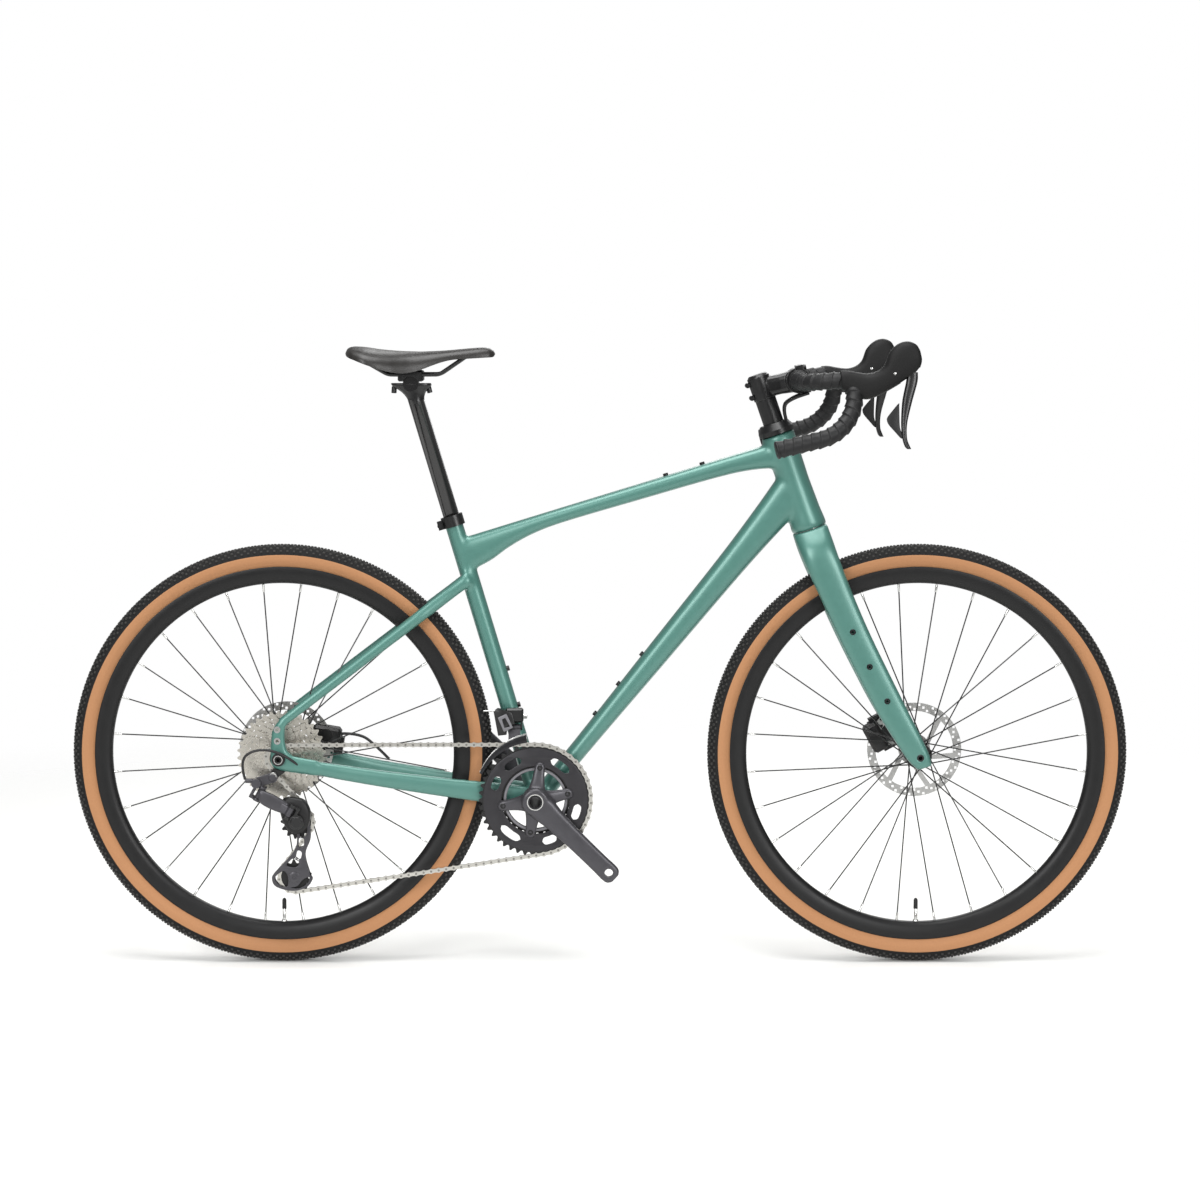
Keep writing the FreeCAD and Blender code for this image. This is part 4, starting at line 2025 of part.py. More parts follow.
def rd_p_knuckle():
    """The lower knuckle: it holds the links' other ends and the sprung pivot of the cage."""
    ears = pivot_ears(rd_ends(rd_p_end), rd_along, d.rd_pivot_radius * 3.4)
    start = Vector(cage_pivot.x, cage_outer_y - d.free_gap, cage_pivot.z)
    width = -(rd_p_end.y - d.rd_link_gap) + start.y
    drum = Part.makeCylinder(float(d.rd_knuckle_radius), float(width), start, -LEFT)
    cap = Part.makeCylinder(float(d.rd_knuckle_radius * 0.7), float(d.rd_plate), start - LEFT * width, -LEFT)
    shaft = Part.makeCylinder(float(d.rd_bolt_radius), float(d.rd_plate + d.free_gap),
                              start + LEFT * (d.rd_plate + d.free_gap), -LEFT)
    solid = drum.fuse(ears + [cap, shaft]).removeSplitter()
    return node("rd_p_knuckle", feature("rd_p_knuckle", solid))


def cage_plate(name, y):
    """A long plate with lightening windows, wider round the lower pulley."""
    span = d.rd_pulley_spacing
    wide = d.rd_cage_width
    outline = [
        (wide * 0.55, wide * 0.1, (0, wide * 0.75)),
        (-wide * 0.55, wide * 0.1),
        (-wide * 0.5, span * -0.5),
        (-wide * 1.5, span * -0.92, (-wide * 1.66, span * -1.06)),
        (-wide * 1.3, span * -1.16, (0, span * -1.26)),
        (wide * 1.05, span * -1.1, (wide * 1.2, span * -0.97)),
        (wide * 0.62, span * -0.72),
        (wide * 0.3, span * -0.5),
    ]
    holes = [(0, -span, d.rd_bolt_radius * 0.5), (-wide * 0.02, span * -0.42, wide * 0.2),
             (wide * 0.02, span * -0.22, wide * 0.2)]
    holes.append((-wide * 0.2, span * -0.68, wide * 0.24))
    holes.append((-wide * 0.75, span * -0.98, wide * 0.26))
    holes.append((wide * 0.68, span * -0.98, wide * 0.18))
    down = flat(cage_turn, 1)
    body = plate(name, outline, d.rd_plate, Vector(), holes)
    body.Placement = turned(down.cross(LEFT) * -1, down * -1, guide_pulley + LEFT * y)
    return body


def rd_cage():
    """Two plates with the pulley bolts between them, turning on the lower knuckle's shaft."""
    outer_y = cog_y - d.rd_plate_half_gap - d.rd_plate / 2
    inner_y = cog_y + d.rd_plate_half_gap + d.rd_plate / 2
    plates = [cage_plate("cage_outer", outer_y), cage_plate("cage_inner", inner_y)]
    length = 2 * (d.rd_plate_half_gap + d.rd_plate)
    bolts = [rod("pulley_bolt", d.rd_pivot_radius, length, at + LEFT * (outer_y - d.rd_plate / 2), LEFT)
             for at in (guide_pulley, tension_pulley)]
    shaft_at = cage_pivot + LEFT * (cage_outer_y - d.cut_overrun)
    shaft = rod("cage_bore", d.rd_bolt_radius + d.running_gap, d.rd_plate + d.cut_overrun, shaft_at, LEFT)
    whole = fuse("cage_whole", *plates, *bolts)
    return node("rd_cage", cut("rd_cage", whole, shaft))


def pulley(name, centre, phase):
    """A toothed guide wheel with a boss that keeps it between the cage plates."""
    bore = d.rd_pivot_radius + d.running_gap
    wires = [sprocket_wire(PULLEY_TEETH, phase), circle_wire(Vector(), bore)]
    wheel = extruded(wires, d.cog_thickness, 0)
    width = 2 * (d.rd_plate_half_gap - d.free_gap / 2)
    boss = extruded([circle_wire(Vector(), d.rd_pulley_hub_radius), circle_wire(Vector(), bore)], width, 0)
    item = feature(name, wheel.fuse(boss))
    item.Placement = Placement(centre + LEFT * cog_y, Rotation())
    return node(name, item)


# Front derailleur

fd_pivot = on_seat_tube(d.fd_height, 0, -d.fd_pivot_y)
fd_lean = math.radians(d.fd_lean_angle)
fd_link_way = UP * -math.cos(fd_lean) - LEFT * math.sin(fd_lean)
fd_cage_pivot = fd_pivot + fd_link_way * d.fd_link_length


def fd_body():
    """A band on the seat tube and a housing with two ears that the link hangs from."""
    band = lathe("fd_band", [
        (-d.fd_band_height / 2, d.seat_tube_radius),
        (-d.fd_band_height / 2, d.seat_tube_radius + d.fd_band_wall),
        (d.fd_band_height / 2, d.seat_tube_radius + d.fd_band_wall),
        (d.fd_band_height / 2, d.seat_tube_radius),
    ], on_seat_tube(d.fd_height + d.fd_body_height / 2), seat_up)
    middle = fd_pivot + UP * (d.fd_body_height * 0.6)
    housing = block("fd_housing", d.fd_body_length, d.fd_body_width, d.fd_body_height * 0.7, middle)
    housing = bevelled("fd_housing_rounded", housing, d.fd_cage_plate * 2)
    core = rod("fd_core", d.seat_tube_radius, d.seat_tube_length, bottom_bracket, seat_up)
    pieces = [band, housing]
    half = d.fd_body_length / 3 + d.free_gap / 2
    for way in (-1, 1):
        at = fd_pivot + FORWARD * (way * (half + d.fd_cage_plate))
        pieces.append(rod("fd_ear", d.fd_link_thickness, d.fd_cage_plate * 2,
                          at - FORWARD * d.fd_cage_plate, FORWARD))
        tall = d.fd_body_height * 0.5
        pieces.append(block("fd_ear_web", d.fd_cage_plate * 2, d.fd_link_thickness * 2, tall,
                            at + UP * (tall / 2)))
    pin_at = fd_pivot - FORWARD * half
    pieces.append(rod("fd_pin", d.rd_pivot_radius, half * 2, pin_at, FORWARD))
    return node("fd_body", cut("fd_body", fuse("fd_body_whole", *pieces), core))


def fd_link():
    """The swinging link between the housing and the cage."""
    half = d.fd_body_length / 3
    solids = [Part.makeCylinder(float(d.fd_link_thickness), float(2 * half), at - FORWARD * half, FORWARD)
              for at in (fd_pivot, fd_cage_pivot)]
    across = FORWARD.cross(fd_link_way) * (d.fd_link_thickness / 2)
    corners = [fd_pivot + across, fd_cage_pivot + across, fd_cage_pivot - across, fd_pivot - across]
    web = Part.Face(Part.makePolygon(corners + corners[:1]))
    web.translate(FORWARD * (-half))
    solids.append(web.extrude(FORWARD * (2 * half)))
    solid = solids[0].fuse(solids[1:])
    for at in (fd_pivot, fd_cage_pivot):
        solid = solid.cut(Part.makeCylinder(float(d.rd_pivot_radius + d.running_gap), float(4 * half),
                                            at - FORWARD * (2 * half), FORWARD))
    return node("fd_link", feature("fd_link", solid))


def fd_cage():
    """Two curved plates either side of the chain, joined above it and at the tail."""
    low = pitch_radius(RING_TEETH) + d.tooth_rise + d.fd_cage_clearance
    high = low + d.fd_cage_depth
    start, stop = math.radians(88), math.radians(153)
    tail_share = 0.45
    tail = low + d.fd_cage_depth * tail_share
    middle = (start + stop) / 2
    corners = [flat(start, low), flat(middle, low), flat(stop, low), flat(stop, tail), flat(middle, high),
               flat(start, high)]
    wire = Part.Wire([
        Part.Arc(corners[0], corners[1], corners[2]).toShape(),
        Part.LineSegment(corners[2], corners[3]).toShape(),
        Part.Arc(corners[3], corners[4], corners[5]).toShape(),
        Part.LineSegment(corners[5], corners[0]).toShape(),
    ])
    plates = []
    offset = d.fd_cage_gap / 2 + d.fd_cage_plate / 2
    for way in (-1, 1):
        plates.append(extruded([wire], d.fd_cage_plate, way * offset))
    bridges = []
    width = d.fd_cage_gap + 2 * d.fd_cage_plate
    for turn, radius in ((stop - d.fd_cage_plate / low, (low + tail) / 2),
                         (start + math.radians(12), high - d.fd_cage_plate * 2)):
        at = flat(turn, radius) - LEFT * (width / 2)
        bridges.append(Part.makeCylinder(float(d.fd_cage_plate * 1.4), float(width), at, LEFT))
    solid = plates[0].fuse(plates[1:] + bridges)
    solid.translate(bottom_bracket - LEFT * d.ring_outer_line)
    half = d.fd_body_length / 3 + d.free_gap / 2
    inner_y = -d.ring_outer_line + d.fd_cage_gap / 2 + d.fd_cage_plate
    ears = []
    reach = fd_cage_pivot.y - inner_y + d.fd_cage_plate
    for way in (-1, 1):
        at = fd_cage_pivot + FORWARD * (way * (half + d.fd_cage_plate) - d.fd_cage_plate)
        ears.append(Part.makeCylinder(float(d.fd_link_thickness), float(2 * d.fd_cage_plate), at, FORWARD))
        arm = Part.makeBox(float(2 * d.fd_cage_plate), float(reach), float(d.fd_link_thickness * 2))
        arm.translate(Vector(at.x, inner_y - d.fd_cage_plate, fd_cage_pivot.z - d.fd_link_thickness))
        ears.append(arm)
    ears.append(Part.makeCylinder(float(d.rd_pivot_radius), float(2 * half), fd_cage_pivot - FORWARD * half,
                                  FORWARD))
    return node("fd_cage", feature("fd_cage", solid.fuse(ears)))


def build():
    """Every sub-part of the bike."""
    frame()
    headset_bearings()
    bottom_bracket_cups()
    seat_clamp()
    derailleur_hanger()
    fork()
    control_hoses()
    headset_cover()
    stem()
    handlebar()
    bar_tape()
    for name, side in SIDES:
        lever_hood(name, side)
        brake_lever(name, side)
        shift_paddle(name, side)
    for end, axle in (("front", front_axle), ("rear", rear_axle)):
        wheel_tyre(end + "_tyre", axle)
        wheel_rim(end + "_rim", axle)
    wheel_spokes("front_spokes", front_axle, d.front_flange_right, d.front_flange_left)
    wheel_spokes("rear_spokes", rear_axle, d.rear_flange_right, d.rear_flange_left)
    front_hub()
    rear_hub()
    brake_disc("front_disc", front_axle, front_disc_y)
    brake_disc("rear_disc", rear_axle, rear_disc_y)
    leg_outer = front_end_y + (d.fork_end_y - front_end_y) * 2
    thru_axle("front_thru_axle", front_axle, leg_outer + d.free_gap, leg_outer)
    plate_outer = rear_end_y + d.dropout_thickness
    thru_axle("rear_thru_axle", rear_axle, plate_outer, plate_outer)
    chain()
    cassette()
    chainrings()
    crank_right()
    crank_left()
    doc.recompute()
    saddle()
    seatpost()
    along = Vector(bottom_bracket - rear_axle).normalize()
    caliper("rear_caliper", rear_caliper_centre, along, Vector(-along.z, 0, along.x), rear_axle,
            rear_disc_y, d.chainstay_rear_y - d.cut_overrun, [nodes["rear_triangle"]])
    leg_along = (leg_centre(0.6, 0.38, 1, 1) - leg_centre(1.0, 0.96, 1, 1)).normalize()
    caliper("front_caliper", front_caliper_centre, leg_along, Vector(-leg_along.z, 0, leg_along.x),
            front_axle,
            front_disc_y, d.fork_end_y, [nodes["fork"]])
    for end, axle, disc_y, centre in (("front", front_axle, front_disc_y, front_caliper_centre),
                                      ("rear", rear_axle, rear_disc_y, rear_caliper_centre)):
        angle = math.atan2(centre.z - axle.z, centre.x - axle.x)
        brake_pad(end + "_pad_inner", axle, disc_y, angle, -1)
        brake_pad(end + "_pad_outer", axle, disc_y, angle, 1)
    rd_knuckle()
    doc.recompute()
    frame_hoses()
    inner_end, outer_end = rd_ends(rd_b_end)
    rd_link("rd_inner_link", inner_end, d.rd_link_thickness)
    rd_link("rd_outer_link", outer_end, d.rd_link_thickness)
    rd_p_knuckle()
    rd_cage()
    pulley("rd_pulley_upper", guide_pulley, guide_phase)
    pulley("rd_pulley_lower", tension_pulley, tension_phase)
    fd_body()
    fd_link()
    fd_cage()


rear_caliper_centre = rear_axle + Vector(d.rear_caliper_forward, 0, d.rear_caliper_up)
front_caliper_centre = front_axle + Vector(-d.front_caliper_back, 0, d.front_caliper_up)
build()
doc.recompute()

for item in doc.Objects:
    if "Invalid" in item.State or "Error" in item.State:
        raise RuntimeError(f"{item.Label} could not be made: {item.State}")
os.makedirs("parts", exist_ok=True)
for label, item in nodes.items():
    if item.Shape.isNull() or not item.Shape.isValid():
        raise RuntimeError(f"{label} has no valid shape")
    item.Shape.exportStep(f"parts/{label}.step")
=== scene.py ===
import json
import math

import bmesh
import bpy
import numpy as np
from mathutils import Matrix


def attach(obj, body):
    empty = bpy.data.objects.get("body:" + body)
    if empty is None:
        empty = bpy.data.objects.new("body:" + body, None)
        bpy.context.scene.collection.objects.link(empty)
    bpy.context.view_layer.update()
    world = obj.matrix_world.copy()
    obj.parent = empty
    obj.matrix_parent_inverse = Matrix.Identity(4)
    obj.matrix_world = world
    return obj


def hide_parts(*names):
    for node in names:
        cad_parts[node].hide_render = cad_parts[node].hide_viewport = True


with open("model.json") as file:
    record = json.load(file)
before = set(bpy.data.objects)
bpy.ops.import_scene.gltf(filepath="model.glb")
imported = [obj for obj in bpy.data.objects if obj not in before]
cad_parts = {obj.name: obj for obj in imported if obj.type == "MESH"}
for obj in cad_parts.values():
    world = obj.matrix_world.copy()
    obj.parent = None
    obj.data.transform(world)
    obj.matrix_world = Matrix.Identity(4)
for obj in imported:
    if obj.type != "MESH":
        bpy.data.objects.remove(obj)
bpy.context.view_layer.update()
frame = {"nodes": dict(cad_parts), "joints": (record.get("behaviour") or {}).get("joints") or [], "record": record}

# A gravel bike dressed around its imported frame. +X is forward, +Y left, +Z up, in metres. The drive side,
# -Y, faces the camera. Sizes, profiles and outlines are in millimetres, and MM brings them to metres.

MM = 0.001
FORWARD = np.array([1.0, 0.0, 0.0])
LEFT = np.array([0.0, 1.0, 0.0])
UP = np.array([0.0, 0.0, 1.0])
SIDES = {"right": -1, "left": 1}
JOINTS = {joint["name"]: joint for joint in frame["joints"]}


def pivot(joint):
    """Where a joint of the frame turns, at rest."""
    return np.array(JOINTS[joint]["pos_m"], float)


FRONT_AXLE = pivot("front_wheel_spin")
REAR_AXLE = pivot("rear_wheel_spin")
BRACKET = pivot("crank_spin")
CROWN = pivot("steering")
STEER_UP = np.array(JOINTS["steering"]["axis"], float)
STEER_FORWARD = np.array([STEER_UP[2], 0.0, -STEER_UP[0]])
SEAT_UP = np.array(JOINTS["seatpost_height"]["axis"], float)


# Surfaces worked out as arrays

def angles(count):
    """Equal steps once round a circle."""
    return np.linspace(0.0, 2 * math.pi, count, endpoint=False)


def unit(vectors):
    """Vectors brought to length one along their last axis."""
    vectors = np.asarray(vectors, float)
    return vectors / np.linalg.norm(vectors, axis=-1, keepdims=True)


def flat_way(turn):
    """Directions in the bike's plane, turned up from forward."""
    turn = np.asarray(turn, float)
    return np.stack([np.cos(turn), np.zeros_like(turn), np.sin(turn)], -1)


def catmull_rom(a, b, c, d, t):
    """The cubic from b to c whose slope at each of them is half the step between its neighbours."""
    square, cube = 2 * a - 5 * b + 4 * c - d, 3 * b - a - 3 * c + d
    return 0.5 * (2 * b + (c - a) * t + square * t ** 2 + cube * t ** 3)


def smooth_rows(rows, count):
    """Rows read in equal steps on a cubic through the given ones."""
    rows = np.asarray(rows, float)
    padded = np.vstack([2 * rows[0] - rows[1], rows, 2 * rows[-1] - rows[-2]])
    places = np.linspace(0, len(rows) - 1, count)
    index = np.minimum(places.astype(int), len(rows) - 2)
    return catmull_rom(*(padded[index + step] for step in range(4)), (places - index)[:, None])


def rounded_outline(corners, steps=8):
    """A closed outline on a cubic through its corners, each stretch read in equal steps."""
    corners = np.asarray(corners, float)
    t = np.linspace(0, 1, steps, endpoint=False)[None, :, None]
    return catmull_rom(*(np.roll(corners, step, 0)[:, None] for step in (1, 0, -1, -2)), t).reshape(-1, 2)


def rounded_square(turn, power):
    """A superellipse's coordinates: cosine and sine raised to a power, with their signs kept."""
    cosine, sine = np.cos(turn), np.sin(turn)
    return np.sign(cosine) * np.abs(cosine) ** power, np.sign(sine) * np.abs(sine) ** power


def skin(grid, wrap_along=False, wrap_round=True, lids=True, finish=0):
    """A grid of points as faces between neighbouring rows and columns, with a lid on each end ring."""
    rows, columns = grid.shape[:2]
    number = np.arange(rows * columns).reshape(rows, columns)
    along = np.arange(rows if wrap_along else rows - 1)[:, None]
    around = np.arange(columns if wrap_round else columns - 1)[None, :]
    after, beside = (along + 1) % rows, (around + 1) % columns
    quads = np.stack([number[along, around], number[along, beside], number[after, beside],
                      number[after, around]], -1)
    ends = [number[0, ::-1], number[-1]] if lids and not wrap_along else []
    return {"points": grid.reshape(-1, 3), "quads": quads.reshape(-1, 4), "lids": ends, "finish": finish}


def turned(profile, at, along, sides=96, finish=0, closed=False):
    """A profile of (along, radius) rows turned once about an axis."""
    profile = np.asarray(profile, float) * MM
    across = unit(np.cross(along, UP if abs(along[2]) < 0.9 else FORWARD))
    turn = angles(sides)[:, None]
    ring = np.cos(turn) * across + np.sin(turn) * np.cross(along, across)
    grid = at + profile[:, None, :1] * along + profile[:, None, 1:] * ring
    return skin(grid, wrap_along=closed, finish=finish)


def rod(at, along, start, stop, radius, sides=32, finish=0):
    """A plain round bar between two distances along an axis."""
    return turned([(start, radius), (stop, radius)], at, along, sides, finish)


def station(centre, wide, high, squareness):
    """One section of a tube: its centre, its half sizes and its superellipse's squareness."""
    return np.append(centre, (wide * MM, high * MM, squareness))


def tube(stations, across, up, sides=48, count=72, finish=0):
    """A closed tube on a cubic through its stations. Each section is a superellipse, |cos|^(2/squareness)
    across and |sin|^(2/squareness) up."""
    rows = smooth_rows(stations, count)
    wide, high = rounded_square(angles(sides), 2 / rows[:, 5:6])
    wide, high = wide * rows[:, 3:4], high * rows[:, 4:5]
    return skin(rows[:, None, :3] + wide[..., None] * across + high[..., None] * up, finish=finish)


def slab(outline, thickness, middle, finish=0):
    """A flat plate: an outline in X and Z, drawn out to both sides along Y."""
    outline = np.asarray(outline, float) * MM
    flat = middle + outline[:, :1] * FORWARD + outline[:, 1:] * UP
    half = LEFT * thickness * MM / 2
    return skin(np.stack([flat - half, flat + half]), finish=finish)


def walk(line):
    """The length walked along a line up to each of its points."""
    return np.concatenate([[0], np.cumsum(np.linalg.norm(np.diff(line, axis=0), axis=1))])


def read_line(line, places):
    """Points on a line at given lengths along it."""
    length = walk(line)
    return np.stack([np.interp(places, length, line[:, axis]) for axis in range(3)], -1)


def bent_line(points, radii, step):
    """A line of straight runs joined by tangent arcs, read at equal steps of its length."""
    stretches = [np.asarray(points[0])[None]]
    for before, corner, after, radius in zip(points, points[1:], points[2:], np.array(radii) * MM):
        back, ahead = unit(before - corner), unit(after - corner)
        half = (math.pi - math.acos(np.dot(back, ahead))) / 2
        inward = unit(back + ahead)
        centre = corner + inward * radius / math.cos(half)
        sweep = np.linspace(-half, half, 24)[:, None]
        tangent = unit(ahead - back)
        stretches.append(centre - inward * np.cos(sweep) * radius + tangent * np.sin(sweep) * radius)
    line = np.vstack(stretches + [np.asarray(points[-1])[None]])
    return read_line(line, np.arange(0, walk(line)[-1] + step * MM / 2, step * MM))


def round_tube(path, radius, sides=16, finish=0):
    """A round tube of one radius, or a radius per station and angle, along a path. Its up is carried from
    station to station without twist."""
    along = unit(np.gradient(path, axis=0))
    start_up = UP + FORWARD * 0.01
    ups = [unit(start_up - along[0] * np.dot(start_up, along[0]))]
    for way in along[1:]:
        ups.append(unit(ups[-1] - way * np.dot(ups[-1], way)))
    up = np.array(ups)
    turn = angles(sides)[:, None]
    ring = np.cos(turn) * np.cross(along, up)[:, None] + np.sin(turn) * up[:, None]
    reach = np.broadcast_to(np.asarray(radius, float) * MM, (len(path), sides))
    return skin(path[:, None] + ring * reach[..., None], finish=finish)


def copies(surface, origins, along, up):
    """A small surface set down at many places, its X along each one's direction and its Z up."""
    local = surface["points"]
    across = np.cross(up, along)
    points = origins[:, None] + local[None, :, :1] * along[:, None]
    points = points + local[None, :, 1:2] * across[:, None] + local[None, :, 2:] * up[:, None]
    steps = np.arange(len(origins)) * len(local)
    quads = (surface["quads"][None] + steps[:, None, None]).reshape(-1, 4)
    lids = [lid + step for step in steps for lid in surface["lids"]]
    return {"points": points.reshape(-1, 3), "quads": quads, "lids": lids, "finish": surface["finish"]}


def circle(centre, radius, count=32):
    """A round outline in X and Z."""
    return np.asarray(centre) + radius * flat_way(angles(count))[:, [0, 2]]


def sector(middle, half, inner, outer, count=14):
    """A ring sector as an outline in X and Z. Its corners are eased by the sixth power of the angle."""
    turn = np.linspace(-half, half, count)
    ease = 0.5 * (outer - inner) * (np.abs(turn) / half) ** 6
    low = flat_way(middle + turn)[:, [0, 2]] * (inner + ease)[:, None]
    high = flat_way(middle - turn)[:, [0, 2]] * (outer - ease)[:, None]
    return np.concatenate([low[1:-1], high])


def read(items, name, width=1, kind=float):
    """One value of every vertex, edge, corner or face of a mesh, as an array."""
    values = np.empty(len(items) * width, kind)
    items.foreach_get(name, values)
    return values.reshape(-1, width) if width > 1 else values


def cut_plate(outlines, thickness, at, bevel=0.0, finish=0):
    """A plate with holes: the outlines, in X and Z about a point, filled by the even-odd rule, drawn out
    along Y, and its edges broken by a small bevel."""
    curve = bpy.data.curves.new("plate", "CURVE")
    curve.dimensions = "2D"
    curve.fill_mode = "BOTH"
    curve.extrude = (thickness / 2 - bevel) * MM
    curve.bevel_depth = bevel * MM
    curve.bevel_resolution = 1
    curve.offset = -bevel * MM
    for outline in outlines:
        spline = curve.splines.new("POLY")
        spline.points.add(len(outline) - 1)
        flat = np.zeros((len(outline), 4))
        flat[:, :2] = np.asarray(outline) * MM
        flat[:, 3] = 1.0
        spline.points.foreach_set("co", flat.ravel())
        spline.use_cyclic_u = True
    holder = bpy.data.objects.new("plate", curve)
    mesh = bpy.data.meshes.new_from_object(holder)
    work = bmesh.new()
    work.from_mesh(mesh)
    bmesh.ops.remove_doubles(work, verts=work.verts, dist=MM / 200)
    work.to_mesh(mesh)
    work.free()
    points = read(mesh.vertices, "co", 3)
    starts = read(mesh.polygons, "loop_start", 1, int)
    faces = np.split(read(mesh.loops, "vertex_index", 1, int), starts[1:])
    bpy.data.objects.remove(holder)
    bpy.data.curves.remove(curve)
    bpy.data.meshes.remove(mesh)
    placed = at + points[:, :1] * FORWARD + points[:, 1:2] * UP - points[:, 2:] * LEFT
    return {"points": placed, "quads": np.zeros((0, 4), int), "lids": faces, "finish": finish}


# Pieces

def settle(obj, body, nodes):
    """Puts a finished object on its CAD body, in place of the nodes it stands for."""
    bpy.context.scene.collection.objects.link(obj)
    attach(obj, body)
    if nodes:
        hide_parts(*nodes)
    return obj


def mesh_of(name, surfaces, sharp=40):
    """One mesh of several surfaces, faces outward, smooth but for edges sharper than an angle."""
    points, faces, marks, start = [], [], [], 0
    for surface in surfaces:
        points.append(surface["points"])
        found = (surface["quads"] + start).tolist() + [(lid + start).tolist() for lid in surface["lids"]]
        faces += found
        marks += [surface["finish"]] * len(found)
        start += len(surface["points"])
    mesh = bpy.data.meshes.new(name)
    mesh.from_pydata(np.vstack(points).tolist(), [], faces)
    mesh.polygons.foreach_set("material_index", marks)
    work = bmesh.new()
    work.from_mesh(mesh)
    bmesh.ops.recalc_face_normals(work, faces=work.faces)
    work.to_mesh(mesh)
    work.free()
    mesh.shade_smooth()
    mesh.set_sharp_from_angle(angle=math.radians(sharp))
    return mesh


def piece(name, body, surfaces, finishes, nodes=(), sharp=40):
    """One object made of several surfaces, on a CAD body in place of CAD nodes."""
    mesh = mesh_of(name, surfaces, sharp)
    for finish in finishes:
        mesh.materials.append(finish)
    return settle(bpy.data.objects.new(name, mesh), body, nodes)


def body_of(node):
    """The CAD body that a node belongs to."""
    groups = frame["record"]["behaviour"]["bodies"]
    return next(body for body, members in groups.items() if node in members)


def welded(node, finish, bevel=0.0, sharp=32):
    """A CAD node's own shape as a welded copy: flat facets melted together, round ones shaded smooth,
    and its edges broken by a small bevel."""
    mesh = frame["nodes"][node].data.copy()
    mesh.name = node + "_skin"
    work = bmesh.new()
    work.from_mesh(mesh)
    bmesh.ops.remove_doubles(work, verts=work.verts, dist=MM / 100)
    bmesh.ops.dissolve_limit(work, angle_limit=math.radians(1), verts=work.verts, edges=work.edges)
    work.to_mesh(mesh)
    work.free()
    mesh.shade_smooth()
    mesh.set_sharp_from_angle(angle=math.radians(sharp))
    mesh.materials.clear()
    mesh.materials.append(finish)
    obj = settle(bpy.data.objects.new(node + "_skin", mesh), body_of(node), [node])
    if bevel:
        edge = obj.modifiers.new("broken_edges", "BEVEL")
        edge.width = bevel * MM
        edge.segments = 2
        edge.limit_method = "ANGLE"
        edge.angle_limit = math.radians(sharp)
        edge.harden_normals = True
    return obj


def blended(obj, voxel, passes, cutters=()):
    """Joins a piece's overlapping surfaces into one skin on a grid, eases it, as filed welds are, and
    then bores or slots it with the cutters."""
    union = obj.modifiers.new("one_skin", "REMESH")
    union.mode = "VOXEL"
    union.voxel_size = voxel * MM
    union.use_smooth_shade = True
    ease = obj.modifiers.new("filed_welds", "SMOOTH")
    ease.factor = 0.5
    ease.iterations = passes
    if cutters:
        tool = bpy.data.objects.new("cutters", mesh_of("cutters", cutters))
        bpy.context.scene.collection.objects.link(tool)
        cut = obj.modifiers.new("bored", "BOOLEAN")
        cut.operation = "DIFFERENCE"
        cut.solver = "EXACT"
        cut.object = tool
        bpy.context.view_layer.update()
        ready = obj.evaluated_get(bpy.context.evaluated_depsgraph_get())
        mesh = bpy.data.meshes.new_from_object(ready)
        mesh.name = obj.name
        obj.modifiers.clear()
        obj.data = mesh
        even_shading(mesh)
        bpy.data.objects.remove(tool)
    return obj


def even_shading(mesh, passes=12, limit=50):
    """Shades a grid skin evenly: corner normals are averaged along the edges, over and over, but a
    corner whose face leans away from that average by more than a limit keeps its face's own."""
    mesh.shade_smooth()
    near = math.cos(math.radians(limit))
    normals = read(mesh.vertices, "normal", 3)
    first, second = read(mesh.edges, "vertices", 2, int).T
    for _ in range(passes):
        alike = (normals[first] * normals[second]).sum(1) > near
        total = normals.copy()
        for axis in range(3):
            total[:, axis] += np.bincount(first, normals[second, axis] * alike, len(normals))
            total[:, axis] += np.bincount(second, normals[first, axis] * alike, len(normals))
        normals = total / np.maximum(np.linalg.norm(total, axis=1, keepdims=True), 1e-9)
    own = np.repeat(read(mesh.polygons, "normal", 3), read(mesh.polygons, "loop_total", 1, int), axis=0)
    shared = normals[read(mesh.loops, "vertex_index", 1, int)]
    smooth = (own * shared).sum(1, keepdims=True) > near
    mesh.normals_split_custom_set(np.where(smooth, shared, own).tolist())


def softened(node, finish, voxel, passes):
    """A CAD node's shape as one eased skin, for forged and moulded pieces."""
    return blended(welded(node, finish), voxel, passes)


def hose(name, route, diameter, body, nodes):
    """A hose or housing: one smooth spline with the route's points as its control points."""
    curve = bpy.data.curves.new(name, "CURVE")
    curve.dimensions = "3D"
    curve.resolution_u = 16
    spline = curve.splines.new("NURBS")
    spline.points.add(len(route) - 1)
    spline.points.foreach_set("co", np.column_stack([route, np.ones(len(route))]).ravel())
    spline.use_endpoint_u = True
    spline.order_u = 3
    obj = settle(bpy.data.objects.new(name, curve), body, nodes)
    bare = bpy.data.meshes.new_from_object(obj)
    length = float(walk(read(bare.vertices, "co", 3))[-1])
    bpy.data.meshes.remove(bare)
    curve.bevel_depth = diameter * MM / 2
    curve.bevel_resolution = 4
    curve.use_fill_caps = True
    curve.materials.append(HOSE)
    return obj


# Materials

def linear(colour):
    """An sRGB hex colour as the linear values that a shader takes."""
    parts = np.array([int(colour[index:index + 2], 16) for index in (1, 3, 5)]) / 255
    values = np.where(parts <= 0.04045, parts / 12.92, ((parts + 0.055) / 1.055) ** 2.4)
    return tuple(float(value) for value in values) + (1.0,)


def add(tree, kind, inputs=(), **settings):
    """Adds a node with its settings, and sets or links its inputs by name or number."""
    made = tree.nodes.new(kind)
    for name, value in settings.items():
        setattr(made, name, value)
    for name, value in dict(inputs).items():
        if isinstance(value, bpy.types.NodeSocket):
            tree.links.new(value, made.inputs[name])
        else:
            made.inputs[name].default_value = value
    return made


